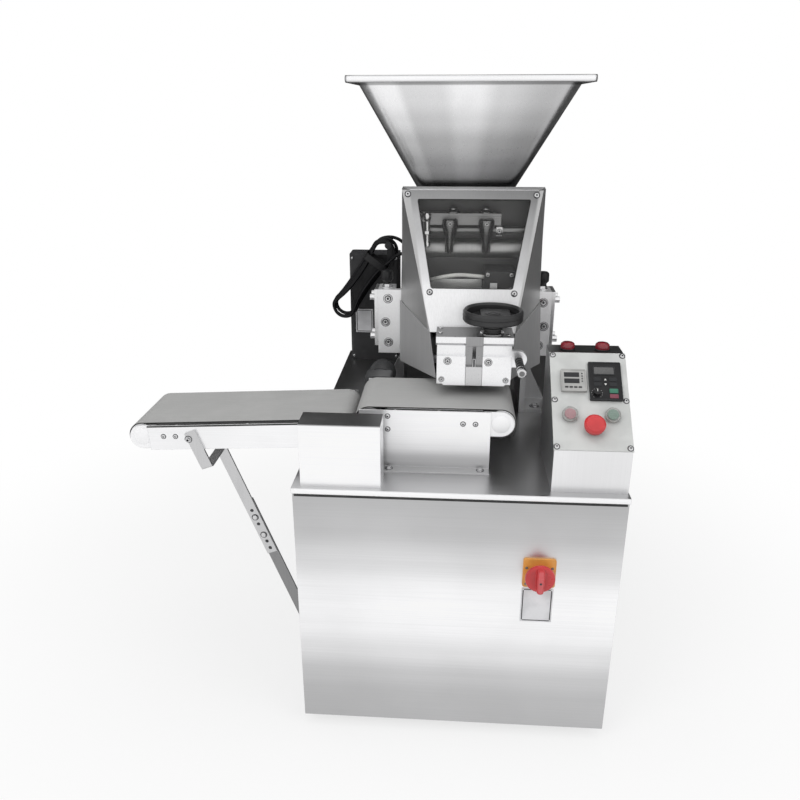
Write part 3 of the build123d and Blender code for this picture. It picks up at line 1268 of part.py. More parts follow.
def die_cover_plates():
    """Top plate with the spindle's bore, and the two clamp plates beside the gate."""
    over = DIE_PLATE_OVERHANG
    left, right = DIE_X - DIE_HALF, DIE_X + DIE_HALF
    side = outline([
        (DIE_FRONT - CLAMP_PLATE, DIE_TOP),
        (DIE_FRONT - CLAMP_PLATE - over, DIE_TOP + over),
        (DIE_FRONT - CLAMP_PLATE - over, DIE_TOP + DIE_PLATE),
        (DIE_REAR + over, DIE_TOP + DIE_PLATE),
        (DIE_REAR + over, DIE_TOP),
    ])
    plates = prism_x(side, left - SHEET, right + SHEET)
    plates -= rod_z(SPINDLE_X, SPINDLE_Y, SPINDLE_RADIUS + RUNNING_FIT, DIE_TOP - SHEET, WHEEL_LOW)
    inner = GATE_WIDTH / 2 + GATE_GAP
    bevel = CLAMP_PLATE_BEVEL
    for side in (-1, 1):
        face = outline([
            (DIE_X + side * inner, DIE_Z),
            (DIE_X + side * (DIE_HALF - bevel), DIE_Z),
            (DIE_X + side * DIE_HALF, DIE_Z + bevel),
            (DIE_X + side * DIE_HALF, DIE_Z + CLAMP_PLATE_HEIGHT),
            (DIE_X + side * inner, DIE_Z + CLAMP_PLATE_HEIGHT),
        ])
        plates += prism_y(face, DIE_FRONT - CLAMP_PLATE, DIE_FRONT)
    return plates


def portion_gate():
    """Gate block with its pointer and the tongue that the spindle lifts."""
    half = GATE_WIDTH / 2
    front = DIE_FRONT - CLAMP_PLATE
    gate = box(DIE_X - half, DIE_X + half, front, front + GATE_THICKNESS, DIE_Z, DIE_Z + GATE_HEIGHT)
    pointer = POINTER_WIDTH / 2
    top = TONGUE_Z + POINTER_RISE
    gate += box(
        DIE_X - pointer, DIE_X + pointer, front + GATE_GAP, front + GATE_THICKNESS,
        DIE_Z + GATE_HEIGHT / 2, top,
    )
    nut = TONGUE_WIDTH / 2
    tongue_front = DIE_FRONT + CLAMP_PLATE / 2 + GATE_GAP
    high = TONGUE_Z + TONGUE_HEIGHT
    gate += box(DIE_X - pointer, DIE_X + pointer, front + GATE_GAP, tongue_front + nut, TONGUE_Z, high)
    gate += box(DIE_X - pointer, SPINDLE_X + nut, tongue_front, SPINDLE_Y + nut, TONGUE_Z, high)
    return gate - rod_z(SPINDLE_X, SPINDLE_Y, SPINDLE_RADIUS + RUNNING_FIT, TONGUE_Z - SHEET, high + SHEET)


def handwheel():
    """Dished handwheel on the spindle that lifts the gate."""
    rim_top = WHEEL_LOW + WHEEL_RIM_HEIGHT
    inner = WHEEL_RADIUS - WHEEL_RIM
    seat = DIE_TOP + DIE_PLATE + MOVE_GAP
    wheel = turned([
        (0, TONGUE_Z),
        (SPINDLE_RADIUS, TONGUE_Z),
        (SPINDLE_RADIUS, seat),
        (WHEEL_HUB_RADIUS, seat),
        (WHEEL_HUB_RADIUS, WHEEL_LOW),
        (WHEEL_RADIUS - 2, WHEEL_LOW),
        (WHEEL_RADIUS, WHEEL_LOW + 3),
        (WHEEL_RADIUS, rim_top - 4),
        (WHEEL_RADIUS - 3, rim_top),
        (inner + 3, rim_top),
        (inner, rim_top - 4),
        (inner, WHEEL_LOW + WHEEL_WEB),
        (WHEEL_HUB_RADIUS, WHEEL_LOW + WHEEL_WEB),
        (WHEEL_HUB_RADIUS - 3, rim_top - WHEEL_RIM),
        (0, rim_top - WHEEL_RIM),
    ])
    return Pos(SPINDLE_X, SPINDLE_Y, 0) * wheel


def lock_pin():
    """Locking pin with a turned grip, in the die's lug."""
    head = -PIN_REACH + PIN_HEAD_LENGTH
    pin = turned([
        (0, -PIN_REACH),
        (PIN_HEAD_RADIUS - 2, -PIN_REACH),
        (PIN_HEAD_RADIUS, 2 - PIN_REACH),
        (PIN_HEAD_RADIUS, head),
        (PIN_RADIUS, head),
        (PIN_RADIUS, PIN_DEPTH),
        (0, PIN_DEPTH),
    ])
    x = DIE_X + DIE_HALF + PIN_LUG_OUT
    return Pos(x, DIE_FRONT, DIE_Z + PIN_RISE) * Rot(-90, 0, 0) * pin


def hood_section(low, grow, z):
    """Outline of the hood in (x, y) at its lower or upper end, grown or drawn in."""
    x = HOOD_LOW_X if low else HOOD_HIGH_X
    front = HOOD_FRONT_LOW if low else HOOD_FRONT_HIGH
    half = HOOD_LOW_HALF if low else HOOD_HIGH_HALF
    back_half = HOOD_BACK_LOW_HALF if low else HOOD_BACK_HIGH_HALF
    back = PLATE_FACE - min(grow, 0)
    points = [
        (x - half - grow, front - grow),
        (x + half + grow, front - grow),
        (PLATE_X + back_half + grow, back),
        (PLATE_X - back_half - grow, back),
    ]
    return Pos(0, 0, z) * outline(points)


def hood_plane():
    """Plane of the hood's front, origin at the middle of its lower edge."""
    rise = math.hypot(HOOD_FRONT_HIGH - HOOD_FRONT_LOW, HOOD_HEIGHT)
    normal = (0, -HOOD_HEIGHT / rise, (HOOD_FRONT_HIGH - HOOD_FRONT_LOW) / rise)
    return Plane(origin=(PLATE_X, HOOD_FRONT_LOW, HOOD_LOW_Z), x_dir=(1, 0, 0), z_dir=normal)


def window_face(grow):
    """Window outline on the hood's front plane, grown by a lap."""
    face = outline([
        (-WINDOW_LOW_HALF - grow, WINDOW_LOW - grow),
        (WINDOW_LOW_HALF + grow, WINDOW_LOW - grow),
        (WINDOW_HIGH_HALF + grow, WINDOW_HIGH + grow),
        (-WINDOW_HIGH_HALF - grow, WINDOW_HIGH + grow),
    ])
    return fillet(face.vertices(), WINDOW_CORNER)


def hood_shell():
    """Bent sheet hood, open at the back and below, with its window cut out."""
    outside = loft([hood_section(True, 0, HOOD_LOW_Z), hood_section(False, 0, HOOD_TOP_Z)], ruled=True)
    inside = loft(
        [hood_section(True, -SHEET, HOOD_LOW_Z), hood_section(False, -SHEET, HOOD_TOP_Z)], ruled=True
    )
    inside -= box(0, CABINET_WIDTH, 0, BODY_REAR, HOOD_TOP_Z - SHEET, HOOD_TOP_Z + SHEET)
    shell = outside - inside
    slope = outline([
        (HOOD_FRONT_LOW, HOOD_LOW_Z),
        (PLATE_FACE, HOOD_LOW_Z + HOOD_BACK_LIFT),
        (PLATE_FACE + SHEET, HOOD_LOW_Z - SHEET),
        (HOOD_FRONT_LOW, HOOD_LOW_Z - SHEET),
    ])
    shell -= prism_x(slope, 0, CABINET_WIDTH)
    cut = extrude(hood_plane() * window_face(0), amount=SHEET * 3, both=True)
    return shell - cut


def hood_window():
    """Clear pane against the inside of the hood's front sheet."""
    plane = hood_plane()
    return extrude(plane.offset(-SHEET) * window_face(PANE_LAP), amount=-PANE_THICKNESS)


def lower_guards():
    """Flat guards from the front plate to the sides of the die."""
    guards = Part()
    back_half = HOOD_BACK_LOW_HALF
    for side in (-1, 1):
        top = HOOD_LOW_Z - SEAT_GAP
        a = Vector(HOOD_LOW_X + side * HOOD_LOW_HALF, HOOD_FRONT_LOW, top)
        b = Vector(PLATE_X + side * back_half, PLATE_FACE, top + HOOD_BACK_LIFT)
        die_side = DIE_X + side * (DIE_HALF + GUARD_DIE_GAP)
        c = Vector(die_side, GUARD_FRONT_Y, DECK + GUARD_FRONT_LOW)
        normal = (b - a).cross(c - a).normalized()
        low_z = DECK + GUARD_BACK_LOW
        low_x = a.X - (normal.Y * (PLATE_FACE - a.Y) + normal.Z * (low_z - a.Z)) / normal.X
        d = Vector(low_x, PLATE_FACE, low_z)
        face = make_face(Polyline(a, b, d, c, close=True))
        guards += extrude(face, amount=SHEET, dir=normal * (side if normal.X > 0 else -side))
    room = box(0, CABINET_WIDTH, PLATE_FACE, CABINET_DEPTH, DECK, HOOD_TOP_Z)
    return guards - room


def clamp_knob(x):
    """Fluted black knob screwed into the top of an ear."""
    face = Circle(CLAMP_KNOB_RADIUS)
    for k in range(CLAMP_FLUTES):
        angle = 2 * math.pi * k / CLAMP_FLUTES
        radius = CLAMP_KNOB_RADIUS + CLAMP_FLUTE_RADIUS / 2
        face -= Pos(radius * math.cos(angle), radius * math.sin(angle)) * Circle(CLAMP_FLUTE_RADIUS)
    low = EAR_TOP + CLAMP_NECK
    knob = prism_z(face, low, low + CLAMP_KNOB_HEIGHT)
    knob = Pos(x, BODY_FRONT + EAR_DEPTH / 2, 0) * knob
    stem = rod_z(x, BODY_FRONT + EAR_DEPTH / 2, CLAMP_STEM_RADIUS, EAR_TOP - CLAMP_STEM_DEPTH, low)
    return knob + stem


def rocker():
    """Rocker shaft with its cross beam, two tapered fingers and adjusting link."""
    shaft = rod_x(
        ROCKER_Y, ROCKER_Z, ROCKER_RADIUS, BEARER_LEFT - BEARER_THICKNESS, BEARER_RIGHT + BEARER_THICKNESS
    )
    beam_low = ROCKER_Z + ROCKER_RADIUS + BEAM_GAP
    front, back = ROCKER_Y - BEAM_DEPTH / 2, ROCKER_Y + BEAM_DEPTH / 2
    arm = shaft + box(
        BEAM_LEFT, BEAM_LEFT + BEAM_LENGTH, front, back, beam_low, beam_low + BEAM_HEIGHT
    )
    nose = ROCKER_Y - FINGER_NOSE_FORWARD
    tip = ROCKER_Z - FINGER_DROP
    clamp_low = ROCKER_Z - ROCKER_RADIUS - BEAM_GAP
    face = outline([
        (front, beam_low + BEAM_GAP),
        (back, beam_low + BEAM_GAP),
        (back, clamp_low + BEAM_GAP),
        (ROCKER_Y, clamp_low),
        (nose, tip + BEAM_DEPTH / 2),
        (nose, tip),
        (nose - FINGER_NOSE, tip),
        (nose - FINGER_NOSE, tip + BEAM_DEPTH * 0.75),
        (front, clamp_low),
    ])
    for x in (FINGER_LEFT, FINGER_LEFT + FINGER_SPREAD):
        arm += prism_x(face, x - FINGER_WIDTH / 2, x + FINGER_WIDTH / 2)
    link_y = ROCKER_Y - LINK_FORWARD
    lug_z = beam_low + BEAM_HEIGHT / 2
    arm += box(
        LINK_X - LINK_RADIUS * 2, LINK_X + LINK_RADIUS * 2, link_y - LINK_RADIUS * 2, front + SHEET,
        lug_z - LINK_RADIUS, lug_z + LINK_RADIUS,
    )
    return arm + rod_z(LINK_X, link_y, LINK_RADIUS, ROCKER_Z - LINK_DROP, beam_low + BEAM_HEIGHT + LINK_RADIUS)


def cutter_roller():
    """Roller in front of the throat, between the two bearers."""
    body = rod_x(
        ROLLER_Y, ROLLER_Z, CUTTER_ROLLER_RADIUS, BEARER_LEFT + MOVE_GAP, BEARER_RIGHT - MOVE_GAP
    )
    return body + rod_x(
        ROLLER_Y, ROLLER_Z, CUTTER_JOURNAL_RADIUS,
        BEARER_LEFT - BEARER_THICKNESS, BEARER_RIGHT + BEARER_THICKNESS,
    )


def bend_radii(points):
    """Largest bend at each inner point of a route, for tangent arcs that clear each other."""
    radii = []
    for before, here, after in zip(points, points[1:], points[2:]):
        into, out = here - before, after - here
        half_turn = math.radians(into.get_angle(out)) / 2
        radii.append(0.45 * min(into.length, out.length) / math.tan(half_turn))
    return radii


def tube(name, points, radius):
    """Round tube along straight runs joined by tangent arcs."""
    radii = bend_radii(points)
    path = FilletPolyline(*points, radius=radii)
    start = Plane(origin=path @ 0, z_dir=path % 0)
    print(f"{name} length {path.length:.0f} mm, bends {[round(r) for r in radii]}")
    return sweep(start * Circle(radius), path=path)


def hood_hose():
    """Hose between two fittings on the front plate, below the roller."""
    points = [Vector(BODY_X + x, PLATE_FACE - forward, DECK + rise) for x, forward, rise in HOSE_POINTS]
    hose = tube("hose", points, HOSE_RADIUS)
    for end in (points[0], points[-1]):
        hose += rod_y(end.X, end.Z, FITTING_RADIUS, end.Y, PLATE_FACE)
    return hose


def hank_place(along, across, y):
    """Point of the hank from its own axes: along it, across it, and in depth."""
    ca, sa = HANK_ALONG
    return Vector(HANK_X + along * ca - across * sa, y, HANK_Z + along * sa + across * ca)


def hank_turns():
    """Half turns of the hank as (along, middle across, radius), in order."""
    heights = [HANK_INNER + fan for fan in HANK_FAN]
    turns = []
    for k, (here, after) in enumerate(zip(heights, heights[1:])):
        towards = -1 if k % 2 == 0 else 1
        along = towards * (HANK_RUN / 2 + HANK_STAGGER[k])
        turns.append((along, -towards * (here - after) / 2, (here + after) / 2))
    return turns


def hank_path():
    """One unbroken line: runs that climb to the front, joined by half turns, and a hanging tail."""
    turns = hank_turns()
    start_along = HANK_ENTRY - 2 * CABLE_RADIUS
    first_across = HANK_INNER + HANK_FAN[0]
    edges = [Line(
        hank_place(HANK_ENTRY, first_across, HANK_REAR_Y), hank_place(start_along, first_across, HANK_REAR_Y)
    )]
    for k, fan in enumerate(HANK_FAN):
        towards = -1 if k % 2 == 0 else 1
        across = -towards * (HANK_INNER + fan)
        y0 = HANK_REAR_Y - HANK_PITCH * k / 2
        y1 = y0 - HANK_PITCH / 2
        end_along = turns[k][0] if k < len(turns) else HANK_RUN / 2
        start, end = hank_place(start_along, across, y0), hank_place(end_along, across, y1)
        heading = hank_place(towards, 0, 0) - hank_place(0, 0, 0)
        middle = (start + end) / 2
        first = TangentArc(start, middle, tangent=heading)
        edges += [first, TangentArc(middle, end, tangent=first % 1)]
        if k < len(turns):
            along, centre, radius = turns[k]
            crown = hank_place(along + towards * radius, centre, y1)
            edges.append(ThreePointArc(end, crown, hank_place(along, 2 * centre - across, y1)))
        start_along = end_along
    ca, sa = HANK_ALONG
    centre = end + Vector(sa, 0, -ca) * TAIL_BEND
    half_turn = math.radians(90 + HANK_LEAN) / 2
    crown = centre + Vector(math.cos(half_turn), 0, math.sin(half_turn)) * TAIL_BEND
    low = centre + Vector(TAIL_BEND, 0, 0)
    edges.append(ThreePointArc(end, crown, low))
    edges.append(Line(low, low - Vector(0, 0, TAIL_DROP)))
    return edges


def hank_ends():
    """Where the cable enters the hank and where its tail ends."""
    edges = hank_path()
    return edges[0] @ 0, edges[-1] @ 1


def least_self_gap(edges):
    """Least clear gap between stretches of the cable that are not next to each other."""
    step = CABLE_RADIUS / 2
    points = []
    for edge in edges:
        count = max(2, round(edge.length / step))
        points += [tuple(edge @ (k / count)) for k in range(count)]
    skip = round(HANK_RUN / 2 / step)
    gap = min(
        math.dist(points[i], points[j]) for i in range(len(points)) for j in range(i + skip, len(points))
    )
    return gap - 2 * CABLE_RADIUS


def cable_hank():
    """The coiled part of the supply cable."""
    edges = hank_path()
    path = Wire(edges)
    start = Plane(origin=edges[0] @ 0, z_dir=edges[0] % 0)
    print(f"hank length {path.length:.0f} mm, least self gap {least_self_gap(edges):.2f} mm")
    return sweep(start * Circle(CABLE_RADIUS), path=path)


def supply_lead():
    """The cable from its gland on the deck up to the hank."""
    entry = hank_ends()[0]
    run_in = Vector(HANK_ALONG[0], 0, HANK_ALONG[1]) * LEAD_RUN_IN
    points = [Vector(x, INVERTER_FRONT - before, DECK + rise) for x, before, rise in LEAD_POINTS]
    points += [entry + run_in, entry]
    return tube("lead", points, CABLE_RADIUS)


def cable_gland():
    """Gland where the cable comes out of the deck."""
    x, before, rise = LEAD_POINTS[0]
    gland = prism_z(RegularPolygon(GLAND_RADIUS, 6), 0, GLAND_HEIGHT / 2)
    gland += turned([
        (0, 0),
        (GLAND_RADIUS * 0.8, 0),
        (GLAND_RADIUS * 0.8, GLAND_HEIGHT * 0.8),
        (CABLE_RADIUS + SHEET, GLAND_HEIGHT),
        (0, GLAND_HEIGHT),
    ])
    return Pos(x, INVERTER_FRONT - before, DECK + rise - GLAND_HEIGHT) * gland


def power_plug():
    """Round plug on the hanging tail of the hank."""
    end = hank_ends()[1]
    plug = turned([
        (0, 0),
        (PLUG_NECK_RADIUS, 0),
        (PLUG_NECK_RADIUS + 2, PLUG_NECK_LENGTH),
        (PLUG_RADIUS, PLUG_NECK_LENGTH + PLUG_RADIUS / 2),
        (PLUG_RADIUS, PLUG_NECK_LENGTH + PLUG_LENGTH),
        (0, PLUG_NECK_LENGTH + PLUG_LENGTH),
    ])
    face = PLUG_NECK_LENGTH + PLUG_LENGTH
    for k in range(3):
        angle = 2 * math.pi * k / 3
        x, y = PLUG_PIN_CIRCLE * math.cos(angle), PLUG_PIN_CIRCLE * math.sin(angle)
        plug += rod_z(x, y, PLUG_PIN_RADIUS, face - PLUG_PIN_RADIUS, face + PLUG_PIN_LENGTH)
    return Plane(origin=end, z_dir=(0, 0, -1)).location * plug


def inverter_housing():
    """Inverter case with the hook that the hank hangs on."""
    case = box(
        INVERTER_LEFT, INVERTER_RIGHT, INVERTER_FRONT, CABINET_DEPTH - INVERTER_REAR_INSET,
        DECK, DECK + INVERTER_HEIGHT,
    )
    case = fillet(case.edges().filter_by(Axis.Z), INVERTER_CORNER)
    room = CABLE_RADIUS + SEAT_GAP + HOOK_RADIUS
    along = min(
        place + math.sqrt((radius - room) ** 2 - centre ** 2)
        for place, centre, radius in hank_turns()[1::2]
    )
    place = hank_place(along, 0, 0)
    tip_y = HANK_FRONT_Y - HOOK_PAST
    bar_front = INVERTER_FRONT - HOOK_BAR_SHEET
    hook = rod_y(place.X, place.Z, HOOK_RADIUS, tip_y, INVERTER_FRONT)
    hook += rod_y(place.X, place.Z, HOOK_HEAD_RADIUS, tip_y, tip_y + HOOK_HEAD)
    hook += box(
        place.X - HOOK_BAR_WIDTH / 2, place.X + HOOK_BAR_WIDTH / 2, bar_front, INVERTER_FRONT,
        DECK + INVERTER_HEIGHT - HOOK_BAR_LAP, place.Z + HOOK_BAR_WIDTH / 2,
    )
    return case + hook


PIECES = {
    "base_frame": base_frame,
    "levelling_feet": levelling_feet,
    "front_panel": front_panel,
    "side_panels": side_panels,
    "rear_panel": rear_panel,
    "deck_plate": deck_plate,
    "isolator_plate": isolator_plate,
    "isolator_knob": isolator_knob,
    "control_box": control_box,
    "control_lid": control_lid,
    "timer_relay": timer_relay,
    "speed_keypad": speed_keypad,
    "speed_dial": speed_dial,
    "start_button": lambda: push_button(START_AT),
    "stop_button": lambda: push_button(STOP_AT),
    "estop_button": estop_button,
    "button_bezels": button_bezels,
    "pilot_lamps": pilot_lamps,
    "drop_frame": drop_frame,
    "drop_belt": drop_belt,
    "drop_drive_roller": drop_drive_roller,
    "drop_tail_roller": drop_tail_roller,
    "outfeed_frame": outfeed_frame,
    "outfeed_belt": outfeed_belt,
    "outfeed_head_roller": outfeed_head_roller,
    "outfeed_tail_roller": outfeed_tail_roller,
    "roller_end_blocks": roller_end_blocks,
    "drive_cover": drive_cover,
    "conveyor_gearmotor": conveyor_gearmotor,
    "conveyor_chain": conveyor_chain,
    "strut_upper_bar": strut_upper_bar,
    "strut_lower_bar": strut_lower_bar,
    "strut_lug": strut_lug,
    "pedestal": pedestal,
    "barrel_housing": barrel_housing,
    "ear_covers": ear_covers,
    "feed_screw_left": lambda: feed_screw(-1),
    "feed_screw_right": lambda: feed_screw(1),
    "main_gearmotor": main_gearmotor,
    "hopper": hopper,
    "nozzle_manifold": nozzle_manifold,
    "die_block": die_block,
    "die_cover_plates": die_cover_plates,
    "portion_gate": portion_gate,
    "handwheel": handwheel,
    "lock_pin": lock_pin,
    "hood_shell": hood_shell,
    "hood_window": hood_window,
    "lower_guards": lower_guards,
    "clamp_knob_left": lambda: clamp_knob(ear_sides()[0][1]),
    "clamp_knob_right": lambda: clamp_knob(ear_sides()[1][1]),
    "rocker": rocker,
    "cutter_roller": cutter_roller,
    "hood_hose": hood_hose,
    "inverter_housing": inverter_housing,
    "cable_gland": cable_gland,
    "supply_lead": supply_lead,
    "cable_hank": cable_hank,
    "power_plug": power_plug,
}


def main():
    """Model every piece, move it to the machine's origin and write it."""
    os.makedirs("parts", exist_ok=True)
    for name, piece in PIECES.items():
        export_step(Pos(-ORIGIN_X, -ORIGIN_Y, 0) * piece(), f"parts/{name}.step")


if __name__ == "__main__":
    main()
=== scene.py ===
import logging
import math
from collections.abc import Iterable, Sequence
from dataclasses import dataclass, field
from enum import Enum

import bmesh
import bpy
import numpy as np
from mathutils import Matrix, Vector


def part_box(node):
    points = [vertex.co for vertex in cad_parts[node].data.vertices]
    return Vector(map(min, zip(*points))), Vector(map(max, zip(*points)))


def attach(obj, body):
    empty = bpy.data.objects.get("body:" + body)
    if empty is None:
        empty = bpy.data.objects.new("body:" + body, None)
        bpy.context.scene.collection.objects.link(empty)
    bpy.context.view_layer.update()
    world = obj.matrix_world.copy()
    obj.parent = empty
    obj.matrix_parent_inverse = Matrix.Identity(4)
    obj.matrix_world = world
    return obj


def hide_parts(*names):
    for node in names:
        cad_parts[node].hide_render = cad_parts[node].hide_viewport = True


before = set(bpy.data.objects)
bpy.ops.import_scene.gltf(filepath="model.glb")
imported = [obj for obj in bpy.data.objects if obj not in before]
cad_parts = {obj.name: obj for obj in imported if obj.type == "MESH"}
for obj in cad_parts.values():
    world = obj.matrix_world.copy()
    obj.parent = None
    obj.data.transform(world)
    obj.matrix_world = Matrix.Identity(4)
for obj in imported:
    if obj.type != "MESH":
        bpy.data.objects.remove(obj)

LOG = logging.getLogger("dough_divider")
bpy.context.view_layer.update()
MM = 0.001
# Where the shared frame's origin stands, and the level of the deck, in machine millimetres
ORIGIN = np.array((141.988, 421.75, 0.0))
DECK = 585.0
# How far a plate reaches into what it lies on, in millimetres
BED = 0.2
# Distances in metres below which points are merged and slivers are dropped
MERGE = 2e-6
SLIVER = 1e-6

Vec = tuple[float, float, float]
Pair = tuple[float, float]
Pairs = tuple[Pair, ...]
Floats = tuple[float, ...]
Spots = tuple[Vec, ...]
# A turned ring: radius, height and, where it isn't round, its number of flat sides
Ring = Floats
Profile = tuple[Ring, ...]
# A rectangular plate: width, height, depth, ease of its edges and, where it isn't the ease, its corner radius
Slab = Floats
Color = tuple[float, float, float, float]
Socket = bpy.types.NodeSocket
Sockets = bpy.types.bpy_prop_collection
Piece = bpy.types.Object


def metres(points: np.ndarray | Sequence[float]) -> np.ndarray:
    """Return machine millimetres as metres in the shared frame."""
    return (np.asarray(points, float) - ORIGIN) * MM


def reach_of(corner: Vector, axis: int) -> float:
    """Return where a corner of a CAD node's box lies along an axis, in machine millimetres."""
    return corner[axis] / MM + ORIGIN[axis]


@dataclass(frozen=True)
class Seat:
    """A flat place on the machine, in millimetres, with its right and up directions."""

    at: Vec
    right: Vec = (1.0, 0.0, 0.0)
    up: Vec = (0.0, 0.0, 1.0)

    def axes(self) -> np.ndarray:
        """Return right, up and outward as the rows of a matrix."""
        right, up = np.array(self.right, float), np.array(self.up, float)
        return np.stack([right, up, np.cross(right, up)])

    def place(self, points: np.ndarray | Sequence[float]) -> np.ndarray:
        """Return points given along right, up and outward as machine points."""
        return np.array(self.at, float) + np.asarray(points, float) @ self.axes()

    def moved(self, right: float, up: float, out: float = 0.0) -> "Seat":
        """Return the same seat shifted within itself."""
        return Seat(tuple(self.place((right, up, out))), self.right, self.up)

    def spread(self, spots: Iterable[Pair], out: float = 0.0) -> list["Seat"]:
        """Return one seat for each (right, up) spot."""
        return [self.moved(right, up, out) for right, up in spots]


class Facing(Enum):
    """The side of the machine a seat looks to, as its right and up directions."""

    FRONT = ((1.0, 0.0, 0.0), (0.0, 0.0, 1.0))
    REAR = ((-1.0, 0.0, 0.0), (0.0, 0.0, 1.0))
    LEFT = ((0.0, -1.0, 0.0), (0.0, 0.0, 1.0))
    RIGHT = ((0.0, 1.0, 0.0), (0.0, 0.0, 1.0))
    TOP = ((1.0, 0.0, 0.0), (0.0, 1.0, 0.0))

    def seat(self, x: float, y: float, z: float) -> Seat:
        """Return the seat at a machine point."""
        return Seat((x, y, z), *self.value)

    def seats(self, spots: Iterable[Vec]) -> list[Seat]:
        """Return one seat for each machine point."""
        return [self.seat(*spot) for spot in spots]

    def row(self, y: float, spots: Iterable[Pair]) -> list[Seat]:
        """Return one seat for each (x, z) spot on a plane across the machine."""
        return [self.seat(x, y, z) for x, z in spots]


FRONT, REAR, LEFT, RIGHT, TOP = Facing


def rounded(width: float, height: float, radius: float, steps: int = 5) -> np.ndarray:
    """Outline of a rectangle with round corners about its middle.

    Each corner is a quarter circle, so the outline is corner centre plus radius times (cos t, sin t).

    Args:
        width: Size along right.
        height: Size along up.
        radius: Corner radius.
        steps: Points on each corner.

    Returns:
        Points anticlockwise, one row each.
    """
    turn = np.radians(np.arange(4)[:, None] * 90 + np.linspace(0, 90, steps)[None, :])
    sign = np.array(((1, 1), (-1, 1), (-1, -1), (1, -1)), float)[:, None, :]
    centre = sign * (width / 2 - radius, height / 2 - radius)
    return (centre + radius * np.stack([np.cos(turn), np.sin(turn)], -1)).reshape(-1, 2)


def softened(corners: Sequence[Pair], radius: float, steps: int = 5) -> np.ndarray:
    """Outline of a polygon whose corners are eased by a parabola of that reach.

    Args:
        corners: Corners anticlockwise.
        radius: Reach of the easing along both edges of a corner.
        steps: Points on each corner.

    Returns:
        Points anticlockwise, one row each.
    """
    here = np.array(corners, float)
    before, after = np.roll(here, 1, 0) - here, np.roll(here, -1, 0) - here
    before *= radius / np.linalg.norm(before, axis=1, keepdims=True)
    after *= radius / np.linalg.norm(after, axis=1, keepdims=True)
    t = np.linspace(0, 1, steps)[None, :, None]
    eased = here[:, None] + before[:, None] * (1 - t) ** 2 + after[:, None] * t ** 2
    return eased.reshape(-1, 2)


def capsule(first: Pair, second: Pair, radius: float, steps: int = 24) -> np.ndarray:
    """Outline round two points: a half circle about each, joined by straight sides.

    Args:
        first: Point at one end.
        second: Point at the other end.
        radius: Radius of both half circles.
        steps: Points on each half circle.

    Returns:
        Points anticlockwise, one row each.
    """
    start, end = np.array(first, float), np.array(second, float)
    heading = math.atan2(*(end - start)[::-1])
    turn = heading + np.radians(np.linspace(-90, 90, steps))
    arc = radius * np.stack([np.cos(turn), np.sin(turn)], -1)
    return np.concatenate([end + arc, start - arc])


def band_faces(rows: int, columns: int, closed: bool = False) -> np.ndarray:
    """Number the four-cornered faces of a grid whose columns run round.

    Args:
        rows: Rows of the grid.
        columns: Points in each row.
        closed: Whether the last row is joined to the first.

    Returns:
        Corners of the faces, one row each.
    """
    row = np.arange(rows if closed else rows - 1)[:, None]
    column = np.arange(columns)[None, :]
    next_row, next_column = (row + 1) % rows, (column + 1) % columns
    corners = (row * columns + column, row * columns + next_column,
               next_row * columns + next_column, next_row * columns + column)
    return np.stack(np.broadcast_arrays(*corners), -1).reshape(-1, 4)


